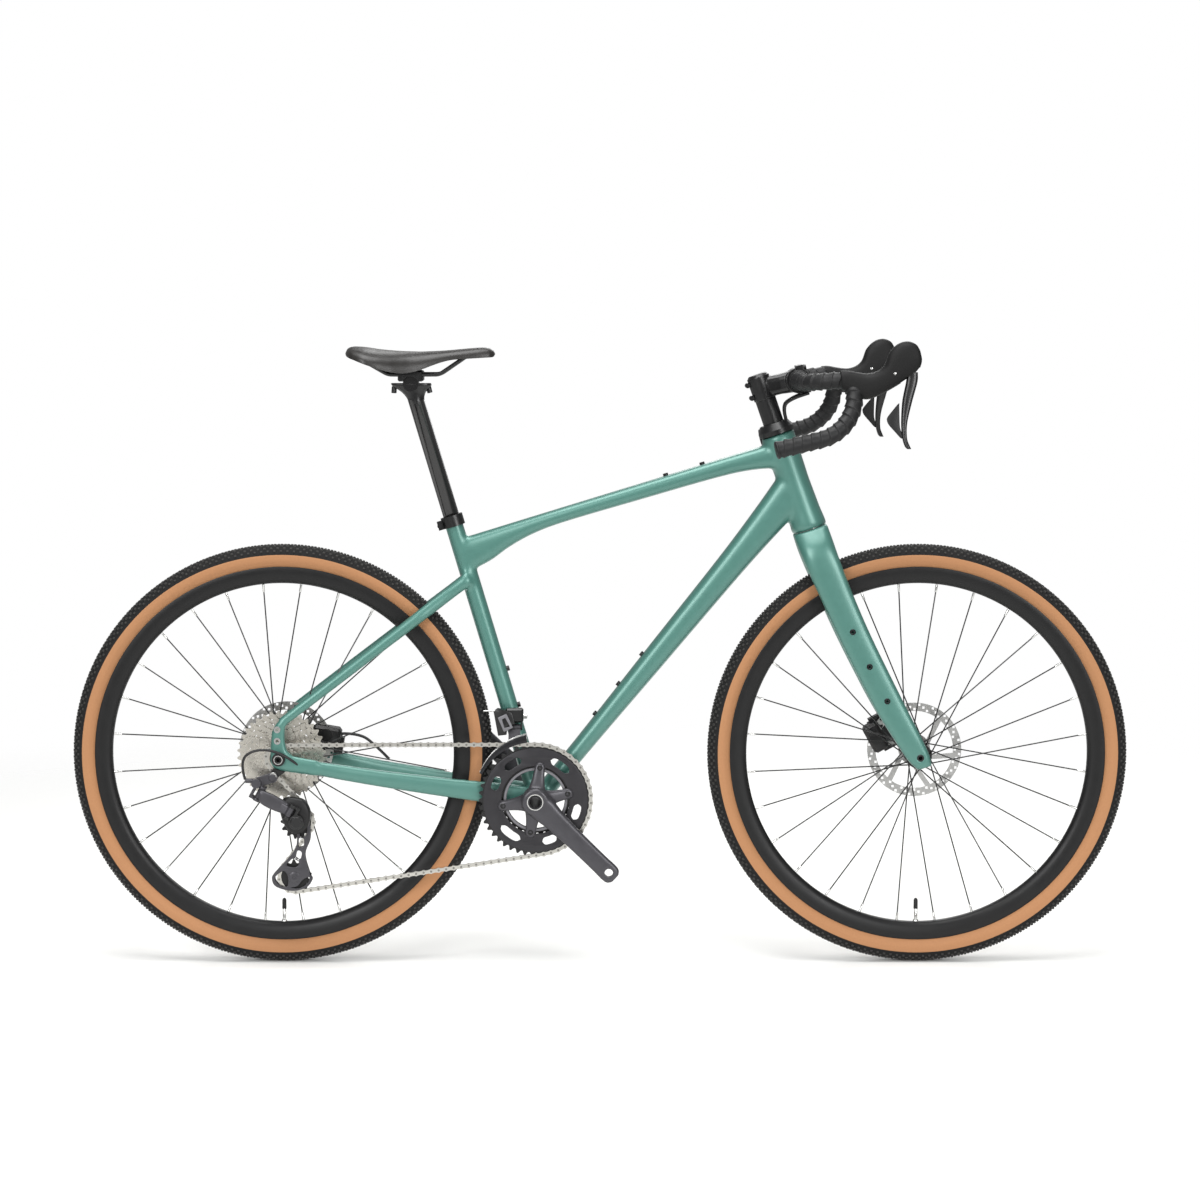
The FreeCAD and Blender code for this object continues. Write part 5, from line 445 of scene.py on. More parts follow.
def material(name, colour, tone, tone_mm, roughness, metallic=0.0, ior=1.5, coat=0.0, coat_roughness=0.2,
             grain_mm=0.0, grain=0.0, wear=0.08):
    """A surface with a drifting second tone, uneven gloss and a fine grain. Each pattern is noise on
    Object coordinates whose scale is one over its real size."""
    made = bpy.data.materials.new(name)
    made.use_nodes = True
    tree = made.node_tree
    shader = tree.nodes["Principled BSDF"]
    values = {"Metallic": metallic, "IOR": ior, "Coat Weight": coat, "Coat Roughness": coat_roughness}
    for socket, value in values.items():
        shader.inputs[socket].default_value = value
    place = add(tree, "ShaderNodeTexCoord").outputs["Object"]
    drift = add(tree, "ShaderNodeTexNoise", {"Vector": place, "Scale": 1 / (tone_mm * MM), "Detail": 4.0})
    share = drift.outputs["Fac"]
    mixed = add(tree, "ShaderNodeMix", {"Factor": share, 6: linear(colour), 7: linear(tone)},
                data_type="RGBA")
    tree.links.new(mixed.outputs[2], shader.inputs["Base Color"])
    gloss = add(tree, "ShaderNodeMapRange", {"Value": share, "To Min": max(roughness - wear, 0.05),
                                             "To Max": min(roughness + wear, 1.0)})
    tree.links.new(gloss.outputs["Result"], shader.inputs["Roughness"])
    if grain_mm:
        fine = add(tree, "ShaderNodeTexNoise", {"Vector": place, "Scale": 1 / (grain_mm * MM), "Detail": 3.0})
        bump = add(tree, "ShaderNodeBump", {"Height": fine.outputs["Fac"], "Strength": grain,
                                            "Distance": grain_mm * MM})
        tree.links.new(bump.outputs["Normal"], shader.inputs["Normal"])
    return made


# Sprayed satin metallic paint under clear coat: a soft, even sheen on a grey-green ground
PAINT = material("satin_metallic_teal_paint", "#41746A", "#487C72", 9, 0.42, metallic=0.4, coat=0.8,
                 coat_roughness=0.32, wear=0.03)
# Moulded tyre rubber: dead black and dull, with a rough skin; its knobs are drawn a paler grey than the casing
TREAD = material("moulded_tread_rubber", "#0B0B0B", "#121212", 6, 0.8, ior=1.4, grain_mm=0.8, grain=0.3)
KNOB_RUBBER = material("paler_knob_rubber", "#2C2B2A", "#383735", 4, 0.75, ior=1.4, grain_mm=0.8, grain=0.3)
# Rubbered casing cloth: a matt tan whose weave is drawn coarser than it is, so that it shows
SKINWALL = material("tan_casing_cloth", "#9E6E47", "#AA7A53", 3, 0.75, grain_mm=0.9, grain=0.15)
# Anodised aluminium: blasted is even and silky, polished mirrors the lamps, machined looks grey
RIM_BLACK = material("bead_blasted_black_anodised_rim", "#060607", "#0B0B0C", 20, 0.42, ior=1.4, grain_mm=0.4,
                     grain=0.05)
BLACK_ALLOY = material("black_anodised_aluminium", "#0A0A0B", "#101011", 12, 0.32, grain_mm=0.4, grain=0.04)
RING_ALLOY = material("dark_grey_anodised_ring", "#2B2A2D", "#333235", 14, 0.38, metallic=0.5)
GREY_ALLOY = material("grey_anodised_aluminium", "#414044", "#49484C", 14, 0.36, metallic=0.5, grain_mm=0.4,
                      grain=0.04)
LIGHT_ALLOY = material("machined_grey_aluminium", "#77767A", "#828186", 10, 0.4, metallic=0.6)
POST_BLACK = material("polished_black_anodised_post", "#0B0A0B", "#111011", 20, 0.2, ior=1.6, wear=0.03)
# Plated metal: nickel is bright and a little warm, dark plating only glints at its edges; the dark plating also
# fills the hanger bolt's socket as painted shade
STEEL = material("nickel_plated_steel", "#C4C4C2", "#A9A9A8", 9, 0.3, metallic=1.0, grain_mm=0.6, grain=0.06)
BRIGHT = material("polished_plated_brass", "#D8D8D6", "#C6C6C4", 4, 0.22, metallic=1.0)
DARK_STEEL_AND_SOCKET_SHADE = material("dark_plated_steel_and_socket_shade", "#2C2C2E", "#38383A", 8, 0.32, metallic=0.9)
CHAIN_STEEL = material("nickel_plated_chain_plate", "#C9C7C1", "#B4B2AC", 7, 0.3, metallic=0.9)
PIN_STEEL = material("chain_pin_steel", "#8C8A86", "#7B7975", 3, 0.34, metallic=0.9)
COG_STEEL = material("nickel_plated_cog_steel", "#D5D1C8", "#BDB9B0", 9, 0.28, metallic=0.9)
# Moulded hood rubber and wound foam tape: soft black with a fine grain, the tape a little shinier
RUBBER = material("moulded_hood_rubber", "#0A0A0A", "#101010", 10, 0.6, ior=1.34, grain_mm=1.1, grain=0.25)
TAPE = material("cork_foam_bar_tape", "#111112", "#1A1A1B", 5, 0.5, ior=1.4, grain_mm=0.7, grain=0.25)
# Grained synthetic leather: a warm black with a soft shine that its grain breaks up
LEATHERETTE = material("grained_synthetic_leather", "#1B1918", "#23211F", 16, 0.38, grain_mm=1.0, grain=0.12)
# Moulded nylon and extruded hose: plain black with an even, half-dull shine
PLASTIC = material("moulded_black_nylon", "#0F0F10", "#161617", 10, 0.45, ior=1.4, grain_mm=0.5, grain=0.08)
HOSE = material("extruded_black_hose", "#0F0F10", "#171718", 6, 0.4)


# Wheels

WHEEL_RADIUS = 354
TYRE_HALF = 21.5
CROWN_DROP = 19
WHEEL_SIDES = 288
KNOB_HEIGHT = 1.7
KNOB_SINK = 0.6
KNOB_TOP = 0.72
KNOBS_ROUND = 196
# Rings of knobs: distance from the middle plane, lean in radians, length and width of a knob
KNOB_RINGS = ((0.0, 0.0, 5.2, 3.4), (5.6, 0.12, 4.6, 3.2), (10.8, 0.32, 4.8, 3.6), (15.6, 0.66, 5.0, 4.0),
              (18.9, 1.05, 4.2, 3.4))
# Sections, as distance from the middle plane and radius: the tan wall down to the rim, and half of the rim
TYRE_WALL = ((21.5, 334), (20.6, 326.5), (16.4, 319.6), (12.6, 316.6), (11.0, 313))
RIM_SECTION = np.array([(4.5, 288.0), (8.4, 291.0), (11.4, 297.5), (12.9, 306.0), (13.5, 315.2),
                        (13.1, 316.3),
                        (11.8, 316.3), (11.4, 315.4), (11.4, 307.5)])
VALVE_FOOT = 287.5
SPOKES = 28
CROSSINGS = 2
SPOKE_HOLES = 18.8
SPOKE_ENDS = 287.1
SPOKE_LIE = 4.4
NIPPLE_LENGTH = 13
# Distance of the right and left hub flanges from the middle plane
FLANGES = {"front": (35, 22), "rear": (18, 33)}
FRONT_ROD = ((-64.6, 3.2), (-64.6, 5.4), (-64.1, 5.9), (64.5, 5.9), (64.5, 9.6), (69.4, 9.6), (70.0, 9.0),
             (70.0, 3.2))


def crown_radius(offset):
    """The casing's radius at a distance from the middle plane: its drop times 1 - sqrt(1 - share^2.3) is
    taken off, share being that distance over the half width."""
    share = np.abs(np.asarray(offset)) / TYRE_HALF
    return WHEEL_RADIUS - KNOB_HEIGHT - (1 - np.sqrt(np.clip(1 - share ** 2.3, 0, 1))) * CROWN_DROP


def knobs(axle):
    """Tread blocks: small frusta in rings round the casing. Block i of a ring stands at angle
    2 pi i / n, leaning out by the ring's tilt, and neighbouring rings are half a step apart."""
    corners = np.array([(-1, -1), (1, -1), (1, 1), (-1, 1)]) / 2
    sides = np.array([(0, 1, 5, 4), (1, 2, 6, 5), (2, 3, 7, 6), (3, 0, 4, 7), (4, 5, 6, 7), (3, 2, 1, 0)])
    quads = (np.arange(KNOBS_ROUND)[:, None, None] * 8 + sides).reshape(-1, 4)
    surfaces = []
    for number, (offset, tilt, length, width) in enumerate(KNOB_RINGS):
        turn = angles(KNOBS_ROUND) + math.pi / KNOBS_ROUND * (number % 2)
        out, ahead = flat_way(turn), flat_way(turn + math.pi / 2)
        for way in ((-1, 1) if offset else (1,)):
            face = out * math.cos(tilt) + LEFT * (way * math.sin(tilt))
            across = np.cross(ahead, face)
            middle = out * crown_radius(offset) + LEFT * way * offset
            levels = []
            for share, rise in ((1.0, -KNOB_SINK), (KNOB_TOP, KNOB_HEIGHT)):
                reach = corners * share * np.array([length, width])
                spread = reach[None, :, :1] * ahead[:, None] + reach[None, :, 1:] * across[:, None]
                levels.append(axle + (middle[:, None] + spread + rise * face[:, None]) * MM)
            points = np.concatenate(levels, 1).reshape(-1, 3)
            surfaces.append({"points": points, "quads": quads, "lids": [], "finish": 2})
    return surfaces


def tyre(end, axle):
    """A round casing section, black above a tan wall, with its rings of knobs."""
    places = np.linspace(-0.985, 0.985, 33) * TYRE_HALF
    tread = np.stack([places, crown_radius(places)], -1)
    wall = smooth_rows(np.vstack([tread[-1:], TYRE_WALL]), 25)
    surfaces = [turned(tread, axle, LEFT, WHEEL_SIDES)]
    surfaces += [turned(wall * np.array([side, 1]), axle, LEFT, WHEEL_SIDES, finish=1) for side in (1, -1)]
    for surface in surfaces:
        surface["lids"] = []
    return piece(end + "_tyre_casing", end + "_wheel", surfaces + knobs(axle), [TREAD, SKINWALL, KNOB_RUBBER],
                 [end + "_tyre"])


def rim(end, axle):
    """A hooked rim of one turned profile, with the valve standing inwards at the bottom."""
    profile = np.vstack([RIM_SECTION, RIM_SECTION[::-1] * np.array([-1, 1])])
    foot = axle - UP * VALVE_FOOT * MM
    nut, stem = [(0, 4.6), (2.2, 4.6), (3.4, 3.2)], [(0, 2.9), (22, 2.9), (22.4, 2.6), (24, 2.6)]
    cap = [(21.5, 3.5), (22, 3.7), (36, 3.5), (38.5, 2.6), (39.6, 1.2)]
    surfaces = [turned(profile, axle, LEFT, WHEEL_SIDES, closed=True), turned(nut, foot, UP, 24, 1),
                turned(stem, foot, UP, 24, 1), turned(cap, foot, UP, 24, 2)]
    return piece(end + "_rim_hoop", end + "_wheel", surfaces, [RIM_BLACK, BRIGHT, PLASTIC], [end + "_rim"],
                 sharp=50)


def spokes(end, axle):
    """Crossed tangent spokes with silver nipples. Spoke i leaves the flange two holes away from its
    place at the rim, alternately inside and outside the flange."""
    per_side = SPOKES // 2
    step = 2 * math.pi / per_side
    surfaces = []
    for side, flange in zip((-1, 1), FLANGES[end]):
        for index in range(per_side):
            rim_angle = step * (index + side / 4) - math.pi / 2
            way = 1 if index % 2 else -1
            hub_angle = rim_angle + way * CROSSINGS * step
            start = axle + (SPOKE_HOLES * flat_way(hub_angle) + LEFT * (side * flange + way * SPOKE_LIE)) * MM
            stop = axle + (SPOKE_ENDS * flat_way(rim_angle) + LEFT * side) * MM
            along = unit(stop - start)
            length = float(np.linalg.norm(stop - start)) / MM
            foot = length - NIPPLE_LENGTH
            wire = [(0, 1.2), (30, 1.1), (foot + 1, 1.1)]
            nipple = [(foot, 1.5), (foot + 0.6, 1.9), (length - 3, 2.0), (length, 2.2)]
            surfaces += [turned(wire, start, along, 8), turned(nipple, start, along, 10, 1)]
    return piece(end + "_spoke_set", end + "_wheel", surfaces, [BLACK_ALLOY, BRIGHT], [end + "_spokes"])


def front_axle():
    """A hollow rod with a low head, turned from one profile."""
    return piece("front_axle_rod", body_of("front_thru_axle"),
                 [turned(FRONT_ROD, FRONT_AXLE, LEFT, 48, closed=True)],
                 [BLACK_ALLOY], ["front_thru_axle"], sharp=30)


for wheel_end, wheel_axle in (("front", FRONT_AXLE), ("rear", REAR_AXLE)):
    tyre(wheel_end, wheel_axle)
    rim(wheel_end, wheel_axle)
    spokes(wheel_end, wheel_axle)
    welded(wheel_end + "_hub", BLACK_ALLOY, 0.4)
    welded(wheel_end + "_disc", STEEL)
    welded(wheel_end + "_caliper", BLACK_ALLOY, 0.5)
    for which in ("inner", "outer"):
        welded(f"{wheel_end}_pad_{which}", STEEL)
welded("rear_thru_axle", BLACK_ALLOY, 0.5)
front_axle()


# Painted frame

HEAD_TUBE = ((0.6, 29.6), (1.6, 30), (10, 30), (30, 28.2), (84, 26.6), (140, 27.6), (160, 28.5), (168, 28.5),
             (169, 28))
BRACKET_SHELL = ((-34, 21), (-33, 22), (33, 22), (34, 21))
SEAT_TUBE_LENGTH = 491
SEAT_TUBE_RADIUS = 15.2
POST_BORE = 13.7
BEARING_BORE = 18
AXLE_BORE = 6
EYELET_BORE = 2.6
DOWN_FOOT = BRACKET + FORWARD * 9 * MM
DOWN_HEAD = CROWN + STEER_UP * 76 * MM
DOWN_HALF = 23
# Down tube: place along it, then the shares of its half depth and half width
DOWN_SHARES = ((0.0, 0.66, 1.15), (0.17, 0.67, 1.06), (0.45, 0.84, 1.0), (0.74, 1.0, 1.0), (0.89, 1.2, 1.02),
               (1.0, 1.44, 1.04))
TOP_REAR = BRACKET + SEAT_UP * 453 * MM
TOP_FRONT = CROWN + STEER_UP * 157 * MM
TOP_WIDE = 18
TOP_DEEP = 12.5
# Top tube: place along its upper edge, then the shares of its half depth and half width
TOP_SHARES = ((0.0, 2.32, 0.80), (0.075, 2.0, 0.80), (0.14, 1.5, 0.84), (0.22, 1.12, 0.92), (0.32, 0.98, 1.0),
              (0.55, 1.04, 1.05), (0.79, 1.14, 1.1), (0.9, 1.36, 1.16), (1.0, 1.9, 1.24))
CHAINSTAY_DROP = 36
CHAINSTAY_INNER = 22
CHAINSTAY_SPREAD = 53
CHAINSTAY_WIDE = 8
CHAINSTAY_DEEP = 18
# Chainstay: place along it, then the shares of its drop, spread, half depth and half width
CHAINSTAY_SHARES = ((0.03, -0.02, 0.02, 0.95, 1.25), (0.2, -0.11, 0.21, 1.0, 0.75),
                    (0.36, -0.17, 0.36, 0.92, 0.9),
                    (0.6, -0.2, 0.6, 0.8, 1.0), (0.78, -0.16, 0.86, 0.72, 0.9),
                    (0.88, -0.12, 1.0, 0.66, 0.45))
SEATSTAY_INNER = 15
SEATSTAY_SPREAD = 60
SEATSTAY_WIDE = 7
SEATSTAY_DEEP = 11
# Seatstay: place along it, then the shares of its spread, half width and half depth
SEATSTAY_SHARES = ((0.0, 0.0, 1.0, 1.04), (0.1, 0.07, 1.0, 1.0), (0.2, 0.22, 1.0, 1.0),
                   (0.28, 0.35, 1.0, 0.96),
                   (0.45, 0.5, 1.0, 0.9), (0.7, 0.73, 0.95, 0.85), (1.0, 1.0, 0.52, 0.8))
DROPOUT_REACH = 64
DROPOUT_THICK = 8
REAR_END = 71
# Rear end plate about the axle, in shares of its reach
DROPOUT_OUTLINE = np.array([(-0.19, 0.7), (-0.06, 0.95), (0.2, 1.06), (0.17, 0.75), (0.17, 0.44),
                            (0.21, 0.24),
                            (0.36, 0.09), (1.0, -0.03), (1.0, -0.44), (0.17, -0.33), (-0.14, -0.24),
                            (-0.22, -0.08), (-0.22, 0.1)])
EYELETS = [REAR_AXLE + DROPOUT_REACH * np.array([-0.03, 0, up]) * MM for up in (0.78, 0.48)]
STAY_TOP = BRACKET + SEAT_UP * 386 * MM
STAY_FOOT = REAR_AXLE + DROPOUT_REACH * np.array([0.06, 0, 0.94]) * MM
BRIDGE_PLACE = 0.12


def main_tubes():
    """Head, seat, down and top tubes and the bracket shell, as they lie before welding."""
    down_way = DOWN_HEAD - DOWN_FOOT
    down = [station(DOWN_FOOT + down_way * place, DOWN_HALF * width, DOWN_HALF * depth, 3.0)
            for place, depth, width in DOWN_SHARES]
    top_way = TOP_FRONT - TOP_REAR
    top_up = unit(np.array([-top_way[2], 0.0, top_way[0]]))
    top = [station(TOP_REAR + top_way * place - top_up * TOP_DEEP * depth * MM, TOP_WIDE * width,
                   TOP_DEEP * depth, 3.0)
           for place, depth, width in TOP_SHARES]
    return [turned(HEAD_TUBE, CROWN, STEER_UP),
            rod(BRACKET, SEAT_UP, 0, SEAT_TUBE_LENGTH, SEAT_TUBE_RADIUS, 96),
            turned(BRACKET_SHELL, BRACKET, LEFT), tube(down, LEFT, -unit(np.cross(down_way, LEFT))),
            tube(top, LEFT, top_up)]


def stays(side):
    """One chainstay, one seatstay and the end plate that joins them."""
    low, high = [], []
    for place, drop, out, depth, width in CHAINSTAY_SHARES:
        away = UP * CHAINSTAY_DROP * drop + LEFT * side * (CHAINSTAY_INNER + CHAINSTAY_SPREAD * out)
        centre = BRACKET + (REAR_AXLE - BRACKET) * place + away * MM
        low.append(station(centre, CHAINSTAY_WIDE * width, CHAINSTAY_DEEP * depth, 2.8))
    for place, out, width, depth in SEATSTAY_SHARES:
        away = LEFT * side * (SEATSTAY_INNER + SEATSTAY_SPREAD * out)
        centre = STAY_TOP + (STAY_FOOT - STAY_TOP) * place + away * MM
        high.append(station(centre, SEATSTAY_WIDE * width, SEATSTAY_DEEP * depth, 2.4))
    along = unit(STAY_FOOT - STAY_TOP)
    plate = slab(DROPOUT_OUTLINE * DROPOUT_REACH, DROPOUT_THICK,
                 REAR_AXLE + LEFT * side * (REAR_END + DROPOUT_THICK / 2) * MM)
    return [tube(low, LEFT, UP), tube(high, LEFT, np.array([along[2], 0.0, -along[0]])), plate]


def hole_lip(at, way, inner, outer, rise):
    """A raised round lip about a hole."""
    rows = [(-rise, inner), (rise, inner), (rise, outer * 0.9), (rise * 0.5, outer), (-rise, outer)]
    return turned(rows, at, way, 32, closed=True)


def painted_frame():
    """The welded frame: every tube and stay joined into one painted skin, bored at the rear ends,
    the bracket and the seat tube's mouth."""
    bridge = rod(STAY_TOP + (STAY_FOOT - STAY_TOP) * BRIDGE_PLACE, LEFT, -20, 20, 6)
    bores = [rod(at, LEFT, -100, 100, EYELET_BORE) for at in EYELETS]
    bores += [rod(REAR_AXLE, LEFT, -100, 100, AXLE_BORE, 40), rod(BRACKET, LEFT, -50, 50, BEARING_BORE, 48),
              rod(BRACKET, SEAT_UP, 420, 600, POST_BORE, 48)]
    obj = piece("painted_frame", "frame", main_tubes() + stays(-1) + stays(1) + [bridge], [PAINT],
                ["front_triangle", "rear_triangle"])
    blended(obj, 2.0, 22, bores)
    lips = [hole_lip(at + LEFT * side * 79 * MM, LEFT, 2.7, 5.6,
                     0.9) for at in EYELETS for side in SIDES.values()]
    return piece("eyelet_lips", "frame", lips, [STEEL], ())


painted_frame()


# Painted fork

FORK_LENGTH = 418
FORK_RAKE = 49
LEG_INNER = 14.6
LEG_SPREAD = 42.4
LEG_WIDE = 7
LEG_DEEP = 29.5
LEG_END = ((50.0, 13.0), (63.4, 13.0), (64.0, 12.4))
# Fork leg: place down it, then the shares of its rake, spread, half width and half depth
LEG_SHARES = ((0.0, 0.0, 0.0, 2.08, 1.0), (0.07, 0.0, 0.28, 3.0, 1.0), (0.15, 0.02, 0.6, 1.86, 0.96),
              (0.29, 0.1, 0.68, 1.62, 0.9), (0.45, 0.22, 0.76, 1.5, 0.87), (0.6, 0.38, 0.84, 1.42, 0.85),
              (0.77, 0.59, 0.92, 1.28, 0.82), (0.92, 0.83, 1.0, 1.08, 0.72), (1.0, 0.96, 1.0, 1.0, 0.62),
              (1.045, 1.05, 1.0, 0.95, 0.42))
BOSSES = np.array([(421.452, 57.085, 564.68), (449.634, 59.932, 506.697), (479.141, 62.16, 449.169)])


def fork_leg(side):
    """One leg, from the crown to below the axle."""
    rows = []
    for place, rake, out, width, depth in LEG_SHARES:
        away = STEER_FORWARD * FORK_RAKE * rake + LEFT * side * (LEG_INNER + LEG_SPREAD * out)
        centre = CROWN + (away - STEER_UP * FORK_LENGTH * place) * MM
        rows.append(station(centre, LEG_WIDE * width, LEG_DEEP * depth, 2.8))
    return tube(rows, LEFT, STEER_FORWARD)


def painted_fork():
    """Two legs that meet in the crown, with axle ends and three raised, bored bosses on each leg."""
    surfaces, bores, lips = [], [], []
    for side in SIDES.values():
        surfaces += [fork_leg(side), turned(LEG_END, FRONT_AXLE, LEFT * side, 48)]
        for at in BOSSES * np.array([1, side, 1]) * MM:
            bores.append(rod(at, LEFT, -9, 9, 2.1, 24))
            lips.append(hole_lip(at, LEFT * side, 2.2, 5.0, 1.1))
    bores.append(rod(FRONT_AXLE, LEFT, -80, 80, AXLE_BORE, 40))
    obj = piece("painted_fork", "fork", surfaces, [PAINT], ["fork"])
    blended(obj, 1.6, 16, bores)
    return piece("fork_boss_lips", "fork", lips, [DARK_STEEL_AND_SOCKET_SHADE], ())


painted_fork()


# Cockpit

BAR_CENTRE = CROWN + np.array([-20.942, 0, 249.837]) * MM
BAR_RADIUS = 11.9
BAR_SWELL = ((-60, BAR_RADIUS), (-40, 15.9), (40, 15.9), (60, BAR_RADIUS))
# The bar's corners from its middle, out to the end of the drop, and the bends between them
BAR_CORNERS = np.array([(0, 186, 0), (80, 206, 6), (72, 236, -78), (-47, 246, -106)])
BAR_BENDS = [45, 28, 74]
TAPE_START = 27
TAPE_STEP = 1.0
TAPE_PITCH = 15
TAPE_SIDES = 64
TAPE_RADIUS = 12.9
TAPE_EDGE = 1.9
PLUG = ((-2, 13.0), (0.6, 14.6), (2.6, 14.4), (3.8, 12.6), (4.3, 8))
# Hood stations: top X and Z, bottom X and Z, half width
HOOD_ROWS = ((386, 1003.0, 389, 972.0, 15.2), (398, 1003.4, 398, 968.0, 16.2),
             (414, 1000.6, 412, 960.0, 16.8),
             (431, 999.0, 431, 957.0, 17.2), (446, 1003.0, 452, 965.0, 17.2), (457, 1013.0, 472, 976.0, 17.0),
             (465, 1033.0, 488, 986.0, 16.8), (479, 1046.5, 503, 996.0, 16.4),
             (494, 1050.5, 512, 1004.0, 15.2),
             (507, 1046.0, 516, 1014.0, 12.2), (513.5, 1037.0, 517, 1021.0, 6.8))
# The hood's slot from the lever's pivot: forward, up, half depth
SLOT_ROWS = ((-9, 0, 9.5), (4, -3, 12), (22, -6, 16), (48, -14, 22))
HOOD_PIN = ((-17.6, 1.6), (-17.4, 2.1), (17.4, 2.1), (17.6, 1.6))
HOOD_PIN_OUT = 210.5
# Lever stations from its pivot: forward, down, out, half width and half depth
LEVER_ROWS = ((27.5, -1, 0, 6.0, 8.6), (26.0, 15, 1.5, 6.0, 9.2), (18.4, 46, 7, 6.3, 8.0),
              (13.0, 80, 14.5, 5.7, 5.0),
              (13.4, 104, 19.8, 5.1, 3.9), (17.4, 117, 22.8, 4.8, 4.2), (20.4, 121.5, 24.0, 4.2, 3.4))
# The lever's neck from its pivot: forward, up, half width and half height
NECK_ROWS = ((-2, 0, 7.2, 6.5), (12, 1, 6.8, 6.4), (26, 0, 6.2, 5.6), (31, -1, 5.2, 4.6))
LEVER_BOSS = ((-7.4, 7.2), (-6.8, 7.9), (6.8, 7.9), (7.4, 7.2))
PADDLE_OUTLINE = ((479.5, 951), (470.5, 941), (461.0, 929), (460.2, 923), (463.5, 916), (474.0, 904),
                  (482.0, 895.5),
                  (485.6, 896.5), (484.0, 903), (480.6, 915), (480.2, 945))
# The paddle's hinge rod, top and bottom, on the left side
PADDLE_ROD = np.array([(478.4, 222.5, 946.2), (477.8, 232.3, 902.3)])


def bar_corners(side):
    """The corners of one half of the bar."""
    return list(BAR_CENTRE + BAR_CORNERS * np.array([1, side, 1]) * MM)


def wound_tape(side):
    """Foam tape wound round the bar: the radius climbs across each turn and drops at its edge, along a
    helix of one pitch a turn, over the bar's swell beside the stem. A domed plug closes the end."""
    start = BAR_CENTRE + LEFT * side * TAPE_START * MM
    path = bent_line([start] + bar_corners(side), BAR_BENDS, TAPE_STEP)
    length = np.arange(len(path))[:, None] * TAPE_STEP
    phase = (length / TAPE_PITCH + side * angles(TAPE_SIDES) / (2 * math.pi)) % 1.0
    climb = np.where(phase < 0.9, (phase / 0.9) ** 1.6, (1 - phase) / 0.1)
    swell = 3.2 * np.clip((62 - TAPE_START - length) / 20, 0, 1)
    tape = round_tube(path, TAPE_RADIUS + swell + TAPE_EDGE * climb, TAPE_SIDES)
    return [tape, turned(PLUG, path[-1], unit(path[-1] - path[-2]), 48, 1)]


def hood(name, side):
    """A rubber hood: superellipse sections from the tape up over the horn, slotted for the lever."""
    rows = smooth_rows(HOOD_ROWS, 72) * MM
    top, low, half = rows[:, None, :2], rows[:, None, 2:4], rows[:, 4:]
    wide, high = rounded_square(angles(56), 0.74)
    flat = (top + low) / 2 + high[None, :, None] * (top - low) / 2
    middle = side * (206 + 8 * np.linspace(0, 1, len(rows))[:, None]) * MM
    grid = np.stack([flat[..., 0], middle + wide * half, flat[..., 1]], -1)
    at = pivot(f"brake_lever_{name}_pull")
    slot_rows = [station(at + (FORWARD * x + UP * z) * MM, 8.2, depth, 8.0) for x, z, depth in SLOT_ROWS]
    whole = piece("hood_" + name, "fork", [skin(grid)], [RUBBER], ["lever_hood_" + name])
    blended(whole, 0.9, 3, [tube(slot_rows, LEFT, UP, 32, 24)])
    pin_at = np.array([at[0] - 2 * MM, side * HOOD_PIN_OUT * MM, at[2] - MM])
    return piece("hood_pin_" + name, "fork", [turned(HOOD_PIN, pin_at, LEFT, 20)], [BRIGHT], ())


def lever(name, side):
    """A curved brake blade from its pivot boss, with a flared tip."""
    at = pivot(f"brake_lever_{name}_pull")
    blade = [station(at + np.array([x, side * out, -down]) * MM, wide, depth, 2.6)
             for x, down, out, wide, depth in LEVER_ROWS]
    neck = [station(at + (FORWARD * x + UP * z) * MM, wide, high, 3.0) for x, z, wide, high in NECK_ROWS]
    surfaces = [tube(blade, LEFT, FORWARD, 32, 60), tube(neck, LEFT, UP, 32, 24),
                turned(LEVER_BOSS, at, LEFT, 40)]
    obj = piece("blade_" + name, body_of("brake_lever_" + name), surfaces, [BLACK_ALLOY],
                ["brake_lever_" + name])
    return blended(obj, 0.6, 3)


def paddle(name, side):
    """The shift paddle behind the blade: a thin plate that leans out with it, on a slim hinge rod."""
    top, low = PADDLE_ROD * np.array([1, side, 1]) * MM
    plate = cut_plate([rounded_outline(PADDLE_OUTLINE)], 2.6, np.zeros(3), 0.6)
    lean = (top[2] - plate["points"][:, 2]) / (top[2] - low[2])
    plate["points"][:, 1] += top[1] + (low[1] - top[1]) * lean
    hinge = rod(top, unit(low - top), 0, float(np.linalg.norm(low - top)) / MM, 1.2, 20, 1)
    return piece("paddle_" + name, body_of("shift_paddle_" + name), [plate, hinge], [PLASTIC, STEEL],
                 ["shift_paddle_" + name])


def bar_hoses(name, side):
    """Two hoses from under the bar into the headset cover, side by side."""
    entry = CROWN + (STEER_UP * 179.1 + STEER_FORWARD * 21.5) * MM
    for lane in range(2):
        out = side * (3.25 + 6 * lane)
        route = [BAR_CENTRE + np.array([15.9, side * (22 + 6 * (lane + 2)), -20.9]) * MM,
                 BAR_CENTRE + np.array([-17.5, out + side * 10, -31.8]) * MM,
                 entry + (STEER_UP * 24.7 + LEFT * out) * MM, entry + LEFT * out * MM]
        hose(f"bar_hose_{name}_{lane}", route, 5, "fork", ["control_hoses"])


